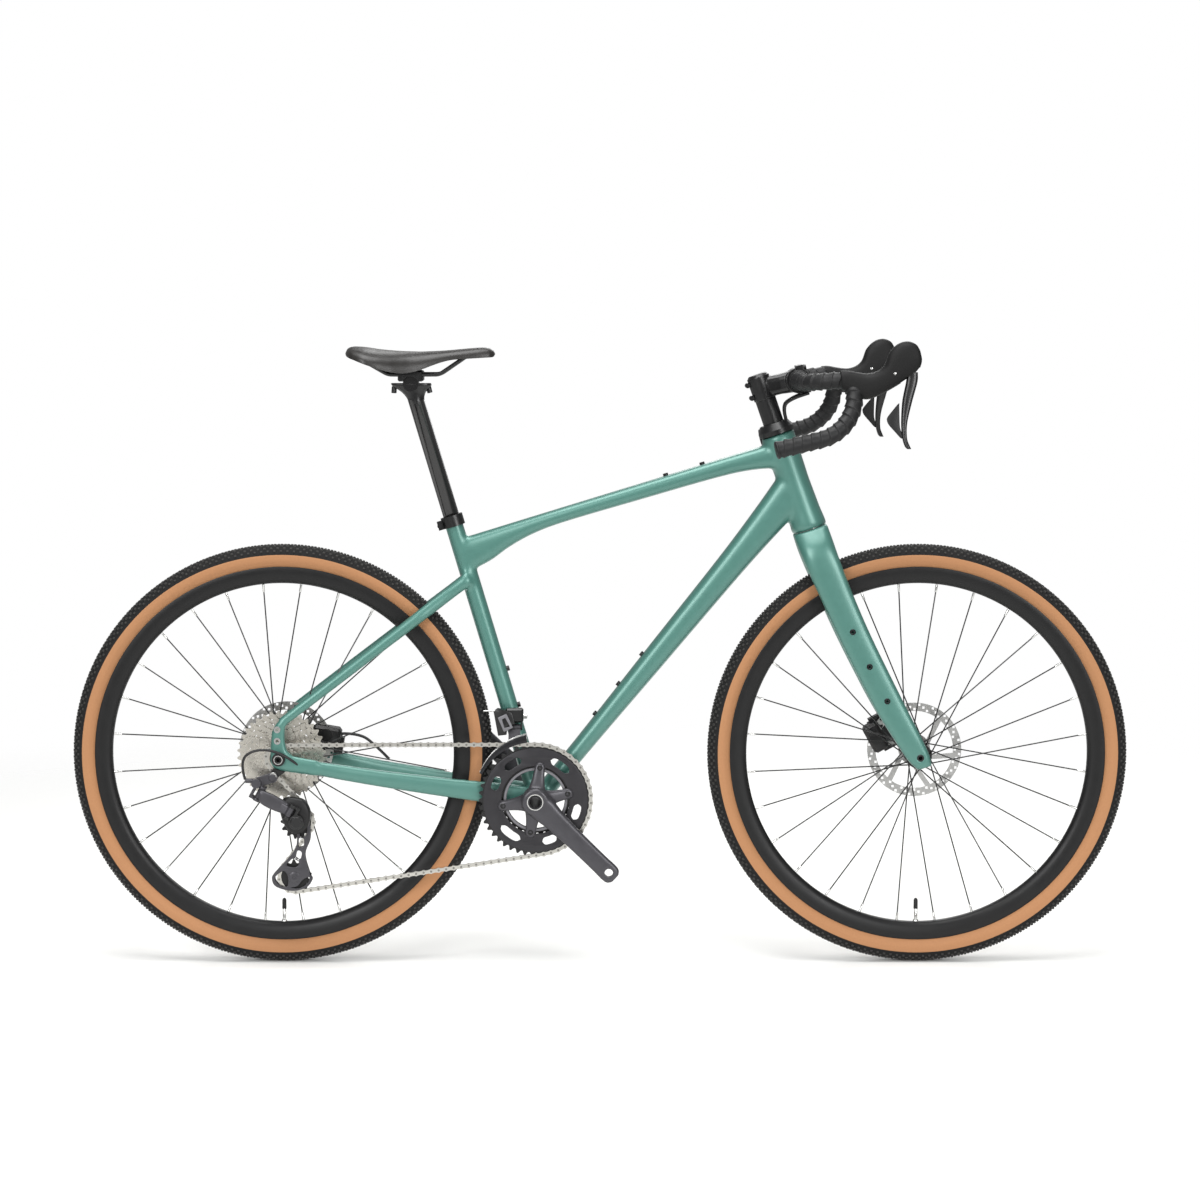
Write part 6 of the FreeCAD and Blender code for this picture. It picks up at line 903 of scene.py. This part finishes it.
def cockpit():
    """Bar, tape, hoods, levers, stem and headset."""
    tapes = [surface for side in SIDES.values() for surface in wound_tape(side)]
    piece("wound_bar_tape", "fork", tapes, [TAPE, PLASTIC], ["bar_tape"], sharp=70)
    line = bent_line(bar_corners(-1)[::-1] + bar_corners(1), BAR_BENDS[::-1] + BAR_BENDS, 4)
    piece("bent_bar", "fork", [round_tube(line, BAR_RADIUS, 40), turned(BAR_SWELL, BAR_CENTRE, LEFT, 48)],
          [BLACK_ALLOY], ["handlebar"])
    for name, side in SIDES.items():
        hood(name, side)
        lever(name, side)
        paddle(name, side)
    softened("stem", BLACK_ALLOY, 0.9, 4)
    softened("stem_faceplate", BLACK_ALLOY, 0.7, 4)
    welded("stem_bolts", BLACK_ALLOY)
    welded("headset_cover", BLACK_ALLOY, 0.6)
    welded("headset_bearings", STEEL)
    for name, side in SIDES.items():
        bar_hoses(name, side)


cockpit()


# Saddle and post

POST_HEAD = pivot("saddle_tilt")
# Saddle stations: X, half width, height of the crest and of the lower edge
SADDLE_ROWS = ((-424.3, 30, 1030.5, 1027.7), (-421.3, 45, 1036.6, 1023.6), (-415.2, 58, 1039.4, 1020.4),
               (-407.1, 65, 1039.8, 1017.4), (-391.0, 72, 1038.6, 1011.1), (-370.8, 70, 1035.6, 1004.2),
               (-350.6, 63, 1033.7, 998.2), (-332.4, 54, 1032.7, 995.6), (-316.2, 46, 1032.3, 996.6),
               (-300.1, 40, 1032.1, 1000.6), (-283.9, 35, 1032.7, 1006.7), (-267.8, 31.5, 1033.5, 1012.3),
               (-249.6, 28.5, 1034.8, 1017.0), (-229.4, 26, 1036.8, 1018.8), (-209.2, 23, 1038.6, 1020.0),
               (-195.0, 20, 1039.2, 1020.8), (-184.9, 16.5, 1037.6, 1021.4), (-178.9, 11, 1033.7, 1022.4),
               (-175.9, 5, 1028.5, 1026.5))
COVER_SIDE = 3
COVER_TOP = 7
COVER_GAP = 0.1
SHELL_WALL = 2.5
CHANNEL_DEPTH = 2.2
CHANNEL_HALF = 9
RAIL_CORNERS = np.array([(-404, 35, 1022.5), (-354, 22, 993), (-268, 22, 993), (-222, 13, 1024.5)])
RAIL_BEND = 22
RAIL_RADIUS = 3.5
# Post head from the saddle's pivot: place along the post, half length, half width, squareness
HEAD_ROWS = ((-38, 13.9, 13.6, 2), (-26, 14.6, 13.8, 2), (-16, 19.5, 14.6, 2.4), (-8, 28, 16, 3),
             (-3, 33, 17, 3.4),
             (0.8, 33.5, 17, 3.4))
HEAD_NUT = ((0, 3.4), (4, 3.4), (4.4, 4.4), (14.4, 4.4), (15, 3.8), (15, 2.0), (12, 1.9))


def saddle_arch(rows, side_inset, top_inset):
    """Arched sections, |cos|^0.8 across and |sin|^0.8 up, drawn in at their sides and lowered at the top,
    with a shallow channel along the middle."""
    wide, rise = rounded_square(np.linspace(0, math.pi, 61), 0.8)
    x, half_width, crest, low = rows.T[:, :, None]
    half = np.maximum(half_width - side_inset, 0.6) * wide
    high = np.maximum(crest - top_inset - low, 0.2)
    share = np.linspace(-1.2, 1.2, len(rows))[:, None]
    dip = CHANNEL_DEPTH * np.exp(-(half / CHANNEL_HALF) ** 2) * np.exp(-share ** 4)
    height = low + high * rise - dip * np.minimum(1, high / 12)
    return np.stack(np.broadcast_arrays(x, half, height), -1) * MM


def layer(rows, outer_inset, inner_inset):
    """A closed layer between two arches, each drawn in by its insets at the side and the top."""
    return skin(np.concatenate([saddle_arch(rows, *outer_inset), saddle_arch(rows, *inner_inset)[:, ::-1]],
                               1))


def saddle():
    """A padded cover, the thin shell under it, and two bent rails between their sockets."""
    rows = smooth_rows(SADDLE_ROWS, 140)
    cover = piece("saddle_skin", "saddle", [layer(rows, (0, 0), (COVER_SIDE, COVER_TOP))], [LEATHERETTE],
                  ["saddle_cover"])
    shell = layer(rows[6:-6], (COVER_SIDE + COVER_GAP, COVER_TOP + COVER_GAP),
                  (COVER_SIDE + SHELL_WALL, COVER_TOP + SHELL_WALL))
    piece("saddle_base", "saddle", [shell], [PLASTIC], ["saddle_shell"])
    rails = [round_tube(bent_line(list(RAIL_CORNERS * np.array([1, side, 1]) * MM), [RAIL_BEND] * 2, 2),
                        RAIL_RADIUS, 20)
             for side in SIDES.values()]
    piece("bent_rails", "saddle", rails, [BLACK_ALLOY], ["saddle_rails"])


def post_head():
    """The flared head under the cradle, from the round post out to two ears, each with a bolt's nut."""
    rows = [station(POST_HEAD + SEAT_UP * t * MM, wide, fore, square) for t, fore, wide, square in HEAD_ROWS]
    surfaces = [tube(rows, LEFT, FORWARD, 48, 48)]
    for reach, lean in ((-28, 0.06), (28, -0.25)):
        foot = POST_HEAD + (FORWARD * reach - UP) * MM
        surfaces.append(turned(HEAD_NUT, foot, unit(np.array([-lean, 0.0, -1.0])), 28))
    return piece("flared_post_head", "seatpost", surfaces, [BLACK_ALLOY], (), sharp=35)


saddle()
post_head()
welded("saddle_cradle", BLACK_ALLOY, 1.2)
welded("seatpost", POST_BLACK)
welded("seat_clamp", BLACK_ALLOY, 0.5)


# Drivetrain

PITCH = 12.7
ROLLER_SEAT = 3.9
TOOTH_HEIGHT = 6.2
TOOTH = (0.0, 0.06, 0.42, 0.88, 1.0, 0.88, 0.42, 0.06)
RING_TEETH = 46
INNER_TEETH = 30
COGS = (11, 12, 13, 14, 15, 17, 19, 21, 24, 28, 32, 36)
PULLEY_TEETH = 13
RING_LINE = -49.5
INNER_LINE = -42.3
COG_LINE = -65.5
COG_STEP = 3.65
COG_DEPTH = 10.5
DRIVER_RADIUS = 15.6
LOCKRING = ((-71, 9.0), (-70.6, 9.5), (-68.4, 9.5), (-68.2, 15.8), (-66.8, 16.2), (-66.4, 15.0))
PLATE_END = 4.1
PLATE_WAIST = 2.7
PLATE_THICK = 0.62
CRANK_LENGTH = 170
CRANK_ANGLE = math.radians(-43.8)
CRANK_BOSS = ((46.5, 22), (47.5, 23), (76, 22.6), (78.4, 20.5), (79, 18.5))
BOLT_RADIUS = 55
BOLT_ANGLES = CRANK_ANGLE + np.radians([55.0, 126.0, -55.0, -126.0])
GUIDE = pivot("rd_pulley_upper_spin")
TENSION = pivot("rd_pulley_lower_spin")
# Crank and spider stations: share of the length, half width, distance from the middle plane, half thickness
CRANK_ROWS = ((-0.02, 22.0, 66.0, 12.5), (0.12, 22.0, 67.0, 12.0), (0.28, 18.6, 69.5, 9.4),
              (0.55, 16.4, 74.0, 7.6),
              (0.85, 16.0, 78.0, 6.6), (1.0, 16.4, 79.3, 6.5), (1.055, 14.4, 79.4, 6.2),
              (1.085, 8.4, 79.4, 5.4))
SPIDER_ROWS = ((0.2, 17.0, 65.0, 9.0), (0.55, 11.5, 58.5, 6.0), (0.88, 9.0, 54.4, 3.6),
               (1.06, 8.0, 53.2, 2.8),
               (1.16, 4.6, 52.8, 2.0))
# Slots in the outer ring's face: middle and half width in degrees from the crank arm
RING_SLOTS = ((98, 15), (166, 13), (201, 10), (277, 16), (27, 11), (-27, 10))
INNER_BAND = ((-48.6, 49.4), (-47.8, 48.6), (-42.0, 48.6), (-42.0, 53.5), (-47.8, 53.5), (-48.6, 52.7))
SPINDLE_TUBE = ((-78.2, 9.2), (-78.2, 12.3), (78.2, 12.3), (78.2, 9.2))
SPINDLE_RING = ((-79.3, 12.0), (-79.3, 13.6), (-77.5, 13.6), (-77.5, 12.0))


def on_line(centre, line):
    """A wheel's centre, moved to a distance from the middle plane."""
    return np.array([centre[0], line * MM, centre[2]])


def chain_rollers():
    """Roller centres a pitch apart round four wheels: arcs of radius pitch * teeth / 2 pi, joined by the
    wheels' common tangents."""
    wheels = ((BRACKET, RING_TEETH, 1, RING_LINE), (REAR_AXLE, COGS[0], 1, COG_LINE),
              (GUIDE, PULLEY_TEETH, -1, COG_LINE), (TENSION, PULLEY_TEETH, 1, COG_LINE))
    centres = np.array([wheel[0][[0, 2]] for wheel in wheels])
    radius = PITCH * MM * np.array([wheel[1] for wheel in wheels]) / (2 * math.pi)
    way = np.array([wheel[2] for wheel in wheels])
    gap = np.roll(centres, -1, 0) - centres
    lean = np.arcsin((way * radius - np.roll(way * radius, -1)) / np.linalg.norm(gap, axis=1))
    side = np.arctan2(gap[:, 1], gap[:, 0]) - math.pi / 2 + lean
    leave = side + np.where(way > 0, 0, math.pi)
    meet = np.roll(side + np.where(np.roll(way, -1) > 0, 0, math.pi), 1)
    sweep = (way * (leave - meet)) % (2 * math.pi)
    stretches = []
    for index, (centre, _, turn_way, line_y) in enumerate(wheels):
        turn = meet[index] + turn_way * np.linspace(0, sweep[index], 64)
        stretches.append(on_line(centre, line_y) + flat_way(turn) * radius[index])
    line = np.vstack(stretches + [stretches[0][:1]])
    length = walk(line)[-1]
    count = 2 * round(length / (PITCH * MM) / 2)
    return read_line(line, np.linspace(0, length, count, endpoint=False))


def seat_angle(rollers, centre):
    """The angle, about a wheel, of the roller that lies nearest to it."""
    gap = (rollers - centre)[:, [0, 2]]
    nearest = gap[np.argmin(np.linalg.norm(gap, axis=1))]
    return math.atan2(nearest[1], nearest[0])


def chain(rollers):
    """Waisted side plates, inner and outer by turns, with round pins and rollers between. A plate's edge is
    a circle about each pin, joined by a parabola that is narrowest halfway."""
    after = np.roll(rollers, -1, 0)
    along = unit(after - rollers)
    up = unit(np.cross(along, LEFT))
    middle = (rollers + after) / 2
    half = PITCH / 2
    x = np.array([10.45, 9.9, 8.4, half, 3.4, 0, -3.4, -half, -8.4, -9.9, -10.45])
    round_end = np.sqrt(np.clip(PLATE_END ** 2 - (np.abs(x) - half) ** 2, 0, None))
    z = np.where(np.abs(x) > half, round_end, PLATE_WAIST + (PLATE_END - PLATE_WAIST) * (x / half) ** 2)
    outline = np.concatenate([np.stack([x, z], -1), np.stack([x, -z], -1)[-2:0:-1]])
    surfaces = []
    for start, offset in ((0, 1.475), (1, 2.15)):
        for way in (-1, 1):
            plate = slab(outline, PLATE_THICK, LEFT * way * offset * MM, start)
            surfaces.append(copies(plate, middle[start::2], along[start::2], up[start::2]))
    pin = rod(np.zeros(3), LEFT, -2.85, 2.85, 1.9, 10, 2)
    sleeve = rod(np.zeros(3), LEFT, -1.15, 1.15, 3.8, 12, 2)
    surfaces += [copies(pin, rollers, along, up), copies(sleeve, rollers, along, up)]
    return piece("roller_chain", "frame", surfaces, [CHAIN_STEEL, CHAIN_STEEL, PIN_STEEL], ["chain"],
                 sharp=30)


def pitch_radius(teeth):
    """The radius on which a wheel's rollers lie: half a pitch over the sine of half a tooth's angle."""
    return PITCH / (2 * math.sin(math.pi / teeth))


def sprocket(teeth, inner_radius, thickness, at, phase=0.0, finish=0):
    """A toothed ring: eight points a tooth, from the roller's seat up to a blunt tip."""
    outer = pitch_radius(teeth) - ROLLER_SEAT + TOOTH_HEIGHT * np.tile(TOOTH, teeth)
    inner = np.full_like(outer, inner_radius)
    way = flat_way(phase + angles(len(outer)))
    rows = ((outer, -0.5), (outer, 0.5), (inner, 0.5), (inner, -0.5))
    grid = np.stack([at + (way * radius[:, None] + LEFT * thickness * offset) * MM for radius,
                     offset in rows])
    return skin(grid, wrap_along=True, finish=finish)


def cassette(rollers):
    """Twelve cogs, the large ones on six arms, on the driver and under a ribbed lockring."""
    surfaces = []
    for index, teeth in enumerate(COGS):
        at = REAR_AXLE + LEFT * (COG_LINE + COG_STEP * index) * MM
        phase = 0.3 * index if index else seat_angle(rollers, REAR_AXLE)
        inner = max(pitch_radius(teeth) - COG_DEPTH, 13)
        surfaces.append(sprocket(teeth, inner, 1.7, at, phase))
        if inner > 18:
            web = slab([(15, -3), (15, 3), (inner + 1, 4.6), (inner + 1, -4.6)], 1.5, np.zeros(3))
            turn = angles(6) + 0.21 * index
            surfaces.append(copies(web, np.tile(at, (6, 1)), flat_way(turn), flat_way(turn + math.pi / 2)))
    surfaces += [rod(REAR_AXLE, LEFT, -67, -20, DRIVER_RADIUS, 48, 1),
                 turned(LOCKRING, REAR_AXLE, LEFT, 48, 1)]
    return piece("cog_stack", "cassette", surfaces, [COG_STEEL, BLACK_ALLOY], ["cassette"], sharp=30)


def bolt_head(at, radius, rise):
    """A round socket head, facing the drive side."""
    rows = np.array([(0, 1.0), (0.75, 1.0), (1.0, 0.88), (1.0, 0.5), (0.35, 0.46)]) * np.array([rise, radius])
    return turned(rows, at, -LEFT, 28, 1)


def chainrings(rollers):
    """A forged outer ring with slots in its dished face, and the smaller ring behind it."""
    front = rollers[np.argmax(rollers[:, 0])] - BRACKET
    phase = math.atan2(front[2], front[0])
    face_at = BRACKET + LEFT * (RING_LINE - 1.6) * MM
    slots = [sector(CRANK_ANGLE + math.radians(turn), math.radians(half), 65, 78) for turn,
             half in RING_SLOTS]
    face = cut_plate([circle((0, 0), 87.5, 128), circle((0, 0), 57, 96)] + slots, 3.6, face_at, 0.7)
    surfaces = [sprocket(RING_TEETH, 84, 2.2, BRACKET + LEFT * RING_LINE * MM, phase, 1), face]
    for way in flat_way(BOLT_ANGLES):
        surfaces.append(cut_plate([circle(way[[0, 2]] * (BOLT_RADIUS + 2), 9.5)], 3.4, face_at, 0.6))
        surfaces.append(bolt_head(BRACKET + (way * BOLT_RADIUS - LEFT * 55.6) * MM, 4.6, 2.2))
    surfaces.append(sprocket(INNER_TEETH, 49, 2.2, BRACKET + LEFT * INNER_LINE * MM, phase, 1))
    surfaces.append(turned(INNER_BAND, BRACKET, LEFT, 128, 2, True))
    return piece("forged_rings", "crank", surfaces, [RING_ALLOY, BLACK_ALLOY, LIGHT_ALLOY], ["chainrings"],
                 sharp=30)


def arm_tube(rows, length, turn, side):
    """A forged arm: stations along a direction in the bike's plane, at their distances from it."""
    stations = [station(BRACKET + (flat_way(turn) * length * share + LEFT * side * away) * MM, half, thick,
                        3.4)
                for share, half, away, thick in rows]
    return tube(stations, flat_way(turn + math.pi / 2), LEFT, 40, 60)


def crank(name, side):
    """A forged crank, hollow boss and, on the drive side, four spider arms."""
    turn = CRANK_ANGLE if side < 0 else CRANK_ANGLE + math.pi
    surfaces = [arm_tube(CRANK_ROWS, CRANK_LENGTH, turn, side), turned(CRANK_BOSS, BRACKET, LEFT * side, 64)]
    if side < 0:
        surfaces += [arm_tube(SPIDER_ROWS, BOLT_RADIUS, bolt, side) for bolt in BOLT_ANGLES]
    tip = BRACKET + flat_way(turn) * CRANK_LENGTH * MM
    bores = [rod(BRACKET, LEFT * side, 40, 95, 12.4, 48), rod(tip, LEFT * side, 60, 100, 7.1, 40)]
    blended(piece("forged_" + name, "crank", surfaces, [GREY_ALLOY], [name]), 1.1, 5, bores)


def spindle():
    """The hollow steel spindle, open from end to end, with a bright ring at the drive side's mouth."""
    surfaces = [turned(SPINDLE_TUBE, BRACKET, LEFT, 64, closed=True),
                turned(SPINDLE_RING, BRACKET, LEFT, 64, 1, True)]
    return piece("hollow_spindle", "crank", surfaces, [DARK_STEEL_AND_SOCKET_SHADE, BRIGHT], (), sharp=30)


# Derailleurs and hoses

PULLEY_BUSH = ((-3.4, 5.4), (-2.8, 6.4), (2.8, 6.4), (3.4, 5.4))
# Cage plates in X and Z: the outline, then its windows
CAGE_OUTLINE = ((-505.5, 252), (-495, 258), (-484.5, 250), (-484.0, 219), (-492.5, 192), (-484.4, 160),
                (-480.9, 150),
                (-490.5, 138), (-513, 132), (-541, 139), (-548, 154), (-540, 166), (-518, 190), (-507.6, 206),
                (-505.4, 226))
CAGE_HOLES = (((-543, 154), (-529, 165.5), (-521.5, 157), (-522.5, 139.5), (-537, 142.5)),
              ((-516.5, 137.5), (-506, 140), (-495.5, 151.5), (-485.5, 155), (-488.5, 145), (-501.5, 136.4)),
              ((-523.5, 175.5), (-511.5, 187), (-502.5, 180), (-508, 172)),
              ((-505, 199.5), (-498, 196.5), (-501, 184.5), (-508.5, 186)),
              ((-501, 240), (-489.6, 241.5), (-490.2, 226), (-500, 222)),
              ((-503, 219.5), (-494.6, 220), (-495, 207.5), (-503, 206)))
CAGE_HALF_GAP = 6.4
CAGE_CAP = ((6.8, 9.6), (8.6, 9.2), (9.4, 7.6), (9.4, 3.4), (8.4, 3.0))
# Lower housing and outer link's cover: X, Z, half width and half height of each station
HOUSING_ROWS = ((-529, 287, 4, 6), (-523, 283, 9, 14), (-510, 270, 11, 25), (-500, 254, 11, 25),
                (-494, 243, 9, 17),
                (-491, 238, 5, 8))
HOUSING_LINE = -85
COVER_ROWS = ((-566, 296, 4, 8), (-560, 293, 6, 12), (-540, 284, 6, 13), (-520, 275, 5, 10),
              (-514, 272, 3, 6))
COVER_LINE = -96
# Front derailleur from the bottom bracket: the housing's outline, then its cover's edge and window
FRONT_SHELL = ((-70.5, 146), (-64, 151), (-52, 149), (-40, 144.5), (-34.5, 125), (-47, 122), (-49, 107),
               (-63, 105.5))
FRONT_WINDOW = (((-63.5, 136.3), (-49, 142.8), (-38, 119.5), (-53, 112)),
                ((-56.6, 133.2), (-51, 136.2), (-43, 121.6), (-52, 119)))
BAND_SCREW = ((0, 4.0), (8, 4.0), (9, 3.2), (9, 1.8), (7, 1.7))
GUIDE_OUTER, GUIDE_INNER = 57.0, 36.5
HANGER_BOLT = np.array([-543.8, -81.0, 326.6]) * MM
BOLT_PROFILE = ((-2.0, 6.4), (1.4, 6.4), (2.2, 5.6), (2.2, 3.0), (0.4, 2.8))
AXLE_COLLAR = ((79.5, 6.2), (86.4, 6.2), (86.4, 7.6), (79.5, 7.6))
GEAR_ROUTE = ((32, -76.8, -9.6), (7.7, -87.8, 12.8), (-35.2, -92.2, 20.5), (-64, -92.2, 1.3),
              (-54.75, -87.8, -31.75))
BRAKE_ROUTE = ((-442.2, 60.7, 378), (-411.2, 65.7, 378), (-383.3, 58.2, 358.4), (-360, 55, 335))


def pulley(node, rollers, centre):
    """A moulded jockey wheel with a steel bush and bolt."""
    at = on_line(centre, COG_LINE)
    wheel = sprocket(PULLEY_TEETH, 6, 2.2, at, seat_angle(rollers, centre))
    return piece(node + "_wheel", body_of(node), [wheel, turned(PULLEY_BUSH, at, LEFT, 32, 1)],
                 [PLASTIC, DARK_STEEL_AND_SOCKET_SHADE],
                 [node], sharp=30)


def derailleur_cage():
    """Two skeleton plates with shaped windows, held apart by the pulley bolts."""
    outlines = [rounded_outline(CAGE_OUTLINE)] + [rounded_outline(hole, 5) for hole in CAGE_HOLES]
    surfaces = [cut_plate(outlines, 2.2, LEFT * (COG_LINE + way * CAGE_HALF_GAP) * MM, 0.5) for way in (-1,
            1)]
    for centre in (GUIDE, TENSION):
        at = on_line(centre, COG_LINE)
        surfaces += [rod(at, LEFT, -CAGE_HALF_GAP, CAGE_HALF_GAP, 3.0, 24, 1),
                     turned(CAGE_CAP, at, -LEFT, 40)]
    return piece("skeleton_cage", "rd_cage", surfaces, [GREY_ALLOY, DARK_STEEL_AND_SOCKET_SHADE], ["rd_cage"],
                 sharp=35)


def derailleur_body():
    """The derailleur's knuckles and links as eased forgings; the lower knuckle in its rounded housing."""
    for node, finish in (("rd_knuckle", GREY_ALLOY), ("rd_outer_link", GREY_ALLOY),
                         ("rd_inner_link", BLACK_ALLOY),
                         ("rd_p_knuckle", BLACK_ALLOY)):
        softened(node, finish, 0.6, 8)
    housing = [station(np.array([x, HOUSING_LINE, z]) * MM, wide, high, 4.0) for x, z, wide,
               high in HOUSING_ROWS]
    piece("knuckle_housing", body_of("rd_p_knuckle"), [tube(housing, LEFT, unit(UP + FORWARD), 40, 40)],
          [PLASTIC], ())
    cover = [station(np.array([x, COVER_LINE, z]) * MM, wide, high, 3.4) for x, z, wide, high in COVER_ROWS]
    piece("link_cover", body_of("rd_outer_link"), [tube(cover, LEFT, UP, 40, 40)], [GREY_ALLOY], ())


def front_derailleur():
    """Body on its clamp, framed cover, cable tail, link, and a cage of two curved plates round the chain."""
    welded("fd_body", BLACK_ALLOY, 0.8)
    welded("fd_link", GREY_ALLOY, 0.4)
    shell = cut_plate([FRONT_SHELL], 15, BRACKET - LEFT * 27.5 * MM, 1.5)
    window = cut_plate(FRONT_WINDOW, 2.4, BRACKET - LEFT * 35.4 * MM, 0.5, 1)
    tail = rod(BRACKET + np.array([-88, -27, 146.5]) * MM, FORWARD, 0, 24, 1.3, 16, 2)
    screw_at = BRACKET + (SEAT_UP * 141 + FORWARD * 17 - LEFT * 9) * MM
    piece("front_shell", "frame", [shell, window, tail, turned(BAND_SCREW, screw_at, FORWARD, 28, 2)],
          [BLACK_ALLOY, LIGHT_ALLOY, BRIGHT], (), sharp=30)
    share = np.linspace(0, 1, 24)[:, None]
    way = flat_way(np.radians(98 + 56 * share[:, 0]))[:, [0, 2]]
    outline = np.concatenate([way * (98 + 1.5 * share), (way * (111 - 7 * share))[::-1]])
    surfaces = [cut_plate([outline], 1.4, BRACKET - LEFT * out * MM, 0.4, index)
                for index, out in enumerate((GUIDE_OUTER, GUIDE_INNER))]
    for angle, radius in ((101, 109), (152, 103)):
        at = BRACKET + flat_way(math.radians(angle)) * radius * MM
        surfaces.append(rod(at, -LEFT, GUIDE_INNER, GUIDE_OUTER, 2.4, 20, 1))
    return piece("chain_guide", body_of("fd_cage"), surfaces, [DARK_STEEL_AND_SOCKET_SHADE, STEEL], ["fd_cage"],
                 sharp=30)


def rear_end_bolts():
    """A bright hanger bolt, its socket a dark disc of painted shade, and the bright ring in the axle's head."""
    # The dark six-sided disc at the bottom of the bolt's recess is painted shade for its socket.
    surfaces = [turned(BOLT_PROFILE, HANGER_BOLT, -LEFT, 40), rod(HANGER_BOLT, -LEFT, 0.3, 0.5, 2.9, 6, 1),
                turned(AXLE_COLLAR, REAR_AXLE, -LEFT, 40, closed=True)]
    return piece("rear_end_bolts", "frame", surfaces, [BRIGHT, DARK_STEEL_AND_SOCKET_SHADE], (), sharp=30)


ROLLERS = chain_rollers()
chain(ROLLERS)
cassette(ROLLERS)
chainrings(ROLLERS)
for arm_name, arm_side in (("crank_right", -1), ("crank_left", 1)):
    crank(arm_name, arm_side)
spindle()
derailleur_cage()
for pulley_node, pulley_centre in (("rd_pulley_upper", GUIDE), ("rd_pulley_lower", TENSION)):
    pulley(pulley_node, ROLLERS, pulley_centre)
for plain_node in ("bottom_bracket_cups", "derailleur_hanger", "frame_bolts"):
    welded(plain_node, BLACK_ALLOY, 0.4)
hose("gear_housing", [REAR_AXLE + np.array(step) * MM for step in GEAR_ROUTE], 4.4, "frame", ["frame_hoses"])
hose("rear_brake_hose", [np.array(point) * MM for point in BRAKE_ROUTE], 5, "frame", ["frame_hoses"])
derailleur_body()
front_derailleur()
rear_end_bolts()


# Studio

CAMERA_PLACE = (0.0, -5.1, 1.102)
CAMERA_TILT = math.radians(3.6)
CAMERA_LENS = 91.2
CAMERA_SHIFT = -0.083
FLOOR_RADIUS = 3.0
FLOOR_PLAIN = 1.5
AMBIENT = 0.3
# Lamps: place and aim in metres, size, power in watts
LAMPS = {"overhead": ((-0.2, -0.8, 3.9), (0.0, 0.0, 0.4), 2.6, 135.0),
         "front_left": ((-2.4, -4.4, 2.4), (0.0, 0.0, 0.6), 2.2, 135.0),
         "front_right": ((2.6, -4.0, 1.8), (0.2, 0.0, 0.6), 1.8, 95.0),
         "back": ((0.8, 3.0, 2.8), (0.0, 0.0, 0.6), 2.4, 60.0)}


def studio_floor():
    """A pale round floor that takes the bike's soft shadow and thins out to nothing at its edge."""
    rows = np.linspace(0.01, FLOOR_RADIUS, 3)[:, None]
    turn = angles(96)
    grid = np.stack(np.broadcast_arrays(rows * np.cos(turn), rows * np.sin(turn), -0.5 * MM), -1)
    surface = skin(grid)
    surface["lids"] = surface["lids"][:1]
    paper = bpy.data.materials.new("pale_studio_floor")
    paper.use_nodes = True
    tree = paper.node_tree
    shader = tree.nodes["Principled BSDF"]
    shader.inputs["Base Color"].default_value = linear("#F4F4F2")
    shader.inputs["Roughness"].default_value = 0.9
    place = add(tree, "ShaderNodeTexCoord").outputs["Object"]
    away = add(tree, "ShaderNodeVectorMath", {0: place}, operation="LENGTH").outputs["Value"]
    thin = add(tree, "ShaderNodeMapRange", {"Value": away, "From Min": FLOOR_PLAIN, "From Max": FLOOR_RADIUS},
               interpolation_type="SMOOTHSTEP").outputs["Result"]
    clear = add(tree, "ShaderNodeBsdfTransparent").outputs[0]
    mixed = add(tree, "ShaderNodeMixShader", {0: thin, 1: shader.outputs[0], 2: clear}).outputs[0]
    tree.links.new(mixed, tree.nodes["Material Output"].inputs["Surface"])
    mesh = mesh_of("studio_floor", [surface])
    if mesh.polygons[0].normal.z < 0:
        mesh.flip_normals()
    mesh.materials.append(paper)
    floor = bpy.data.objects.new("studio_floor", mesh)
    bpy.context.scene.collection.objects.link(floor)


def softbox(name, place, aim, size, power):
    """A square area lamp turned to face a point."""
    lamp = bpy.data.lights.new(name, "AREA")
    lamp.size = size
    lamp.energy = power
    obj = bpy.data.objects.new(name, lamp)
    obj.location = place
    way = np.asarray(aim, float) - np.asarray(place, float)
    turn = math.atan2(way[1], way[0]) - math.pi / 2
    obj.rotation_euler = (math.atan2(math.hypot(way[0], way[1]), -way[2]), 0.0, turn)
    bpy.context.scene.collection.objects.link(obj)


def studio_world():
    """White to the camera and through clear pieces, and a softer light from it on the bike."""
    world = bpy.data.worlds.new("studio")
    world.use_nodes = True
    bpy.context.scene.world = world
    tree = world.node_tree
    tree.nodes.clear()
    path = add(tree, "ShaderNodeLightPath")
    seen = add(tree, "ShaderNodeMath", {0: path.outputs["Is Camera Ray"],
                                        1: path.outputs["Is Transmission Ray"]},
               operation="MAXIMUM")
    ambient = add(tree, "ShaderNodeBackground", {"Color": (1, 1, 1, 1), "Strength": AMBIENT})
    white = add(tree, "ShaderNodeBackground", {"Color": (1, 1, 1, 1), "Strength": 1.0})
    mixed = add(tree, "ShaderNodeMixShader", {0: seen.outputs[0], 1: ambient.outputs[0], 2: white.outputs[0]})
    add(tree, "ShaderNodeOutputWorld", {"Surface": mixed.outputs[0]})


def studio_camera():
    """A level long lens on the drive side, tilted a little down."""
    scene = bpy.context.scene
    scene.view_settings.view_transform = "Standard"
    camera = bpy.data.cameras.new("camera")
    camera.lens = CAMERA_LENS
    camera.sensor_width = 36.0
    camera.shift_y = CAMERA_SHIFT
    camera.clip_end = 60.0
    obj = bpy.data.objects.new("camera", camera)
    obj.location = CAMERA_PLACE
    obj.rotation_euler = (math.pi / 2 - CAMERA_TILT, 0.0, 0.0)
    scene.collection.objects.link(obj)
    scene.camera = obj


studio_floor()
studio_world()
for lamp_name, settings in LAMPS.items():
    softbox(lamp_name, *settings)
studio_camera()
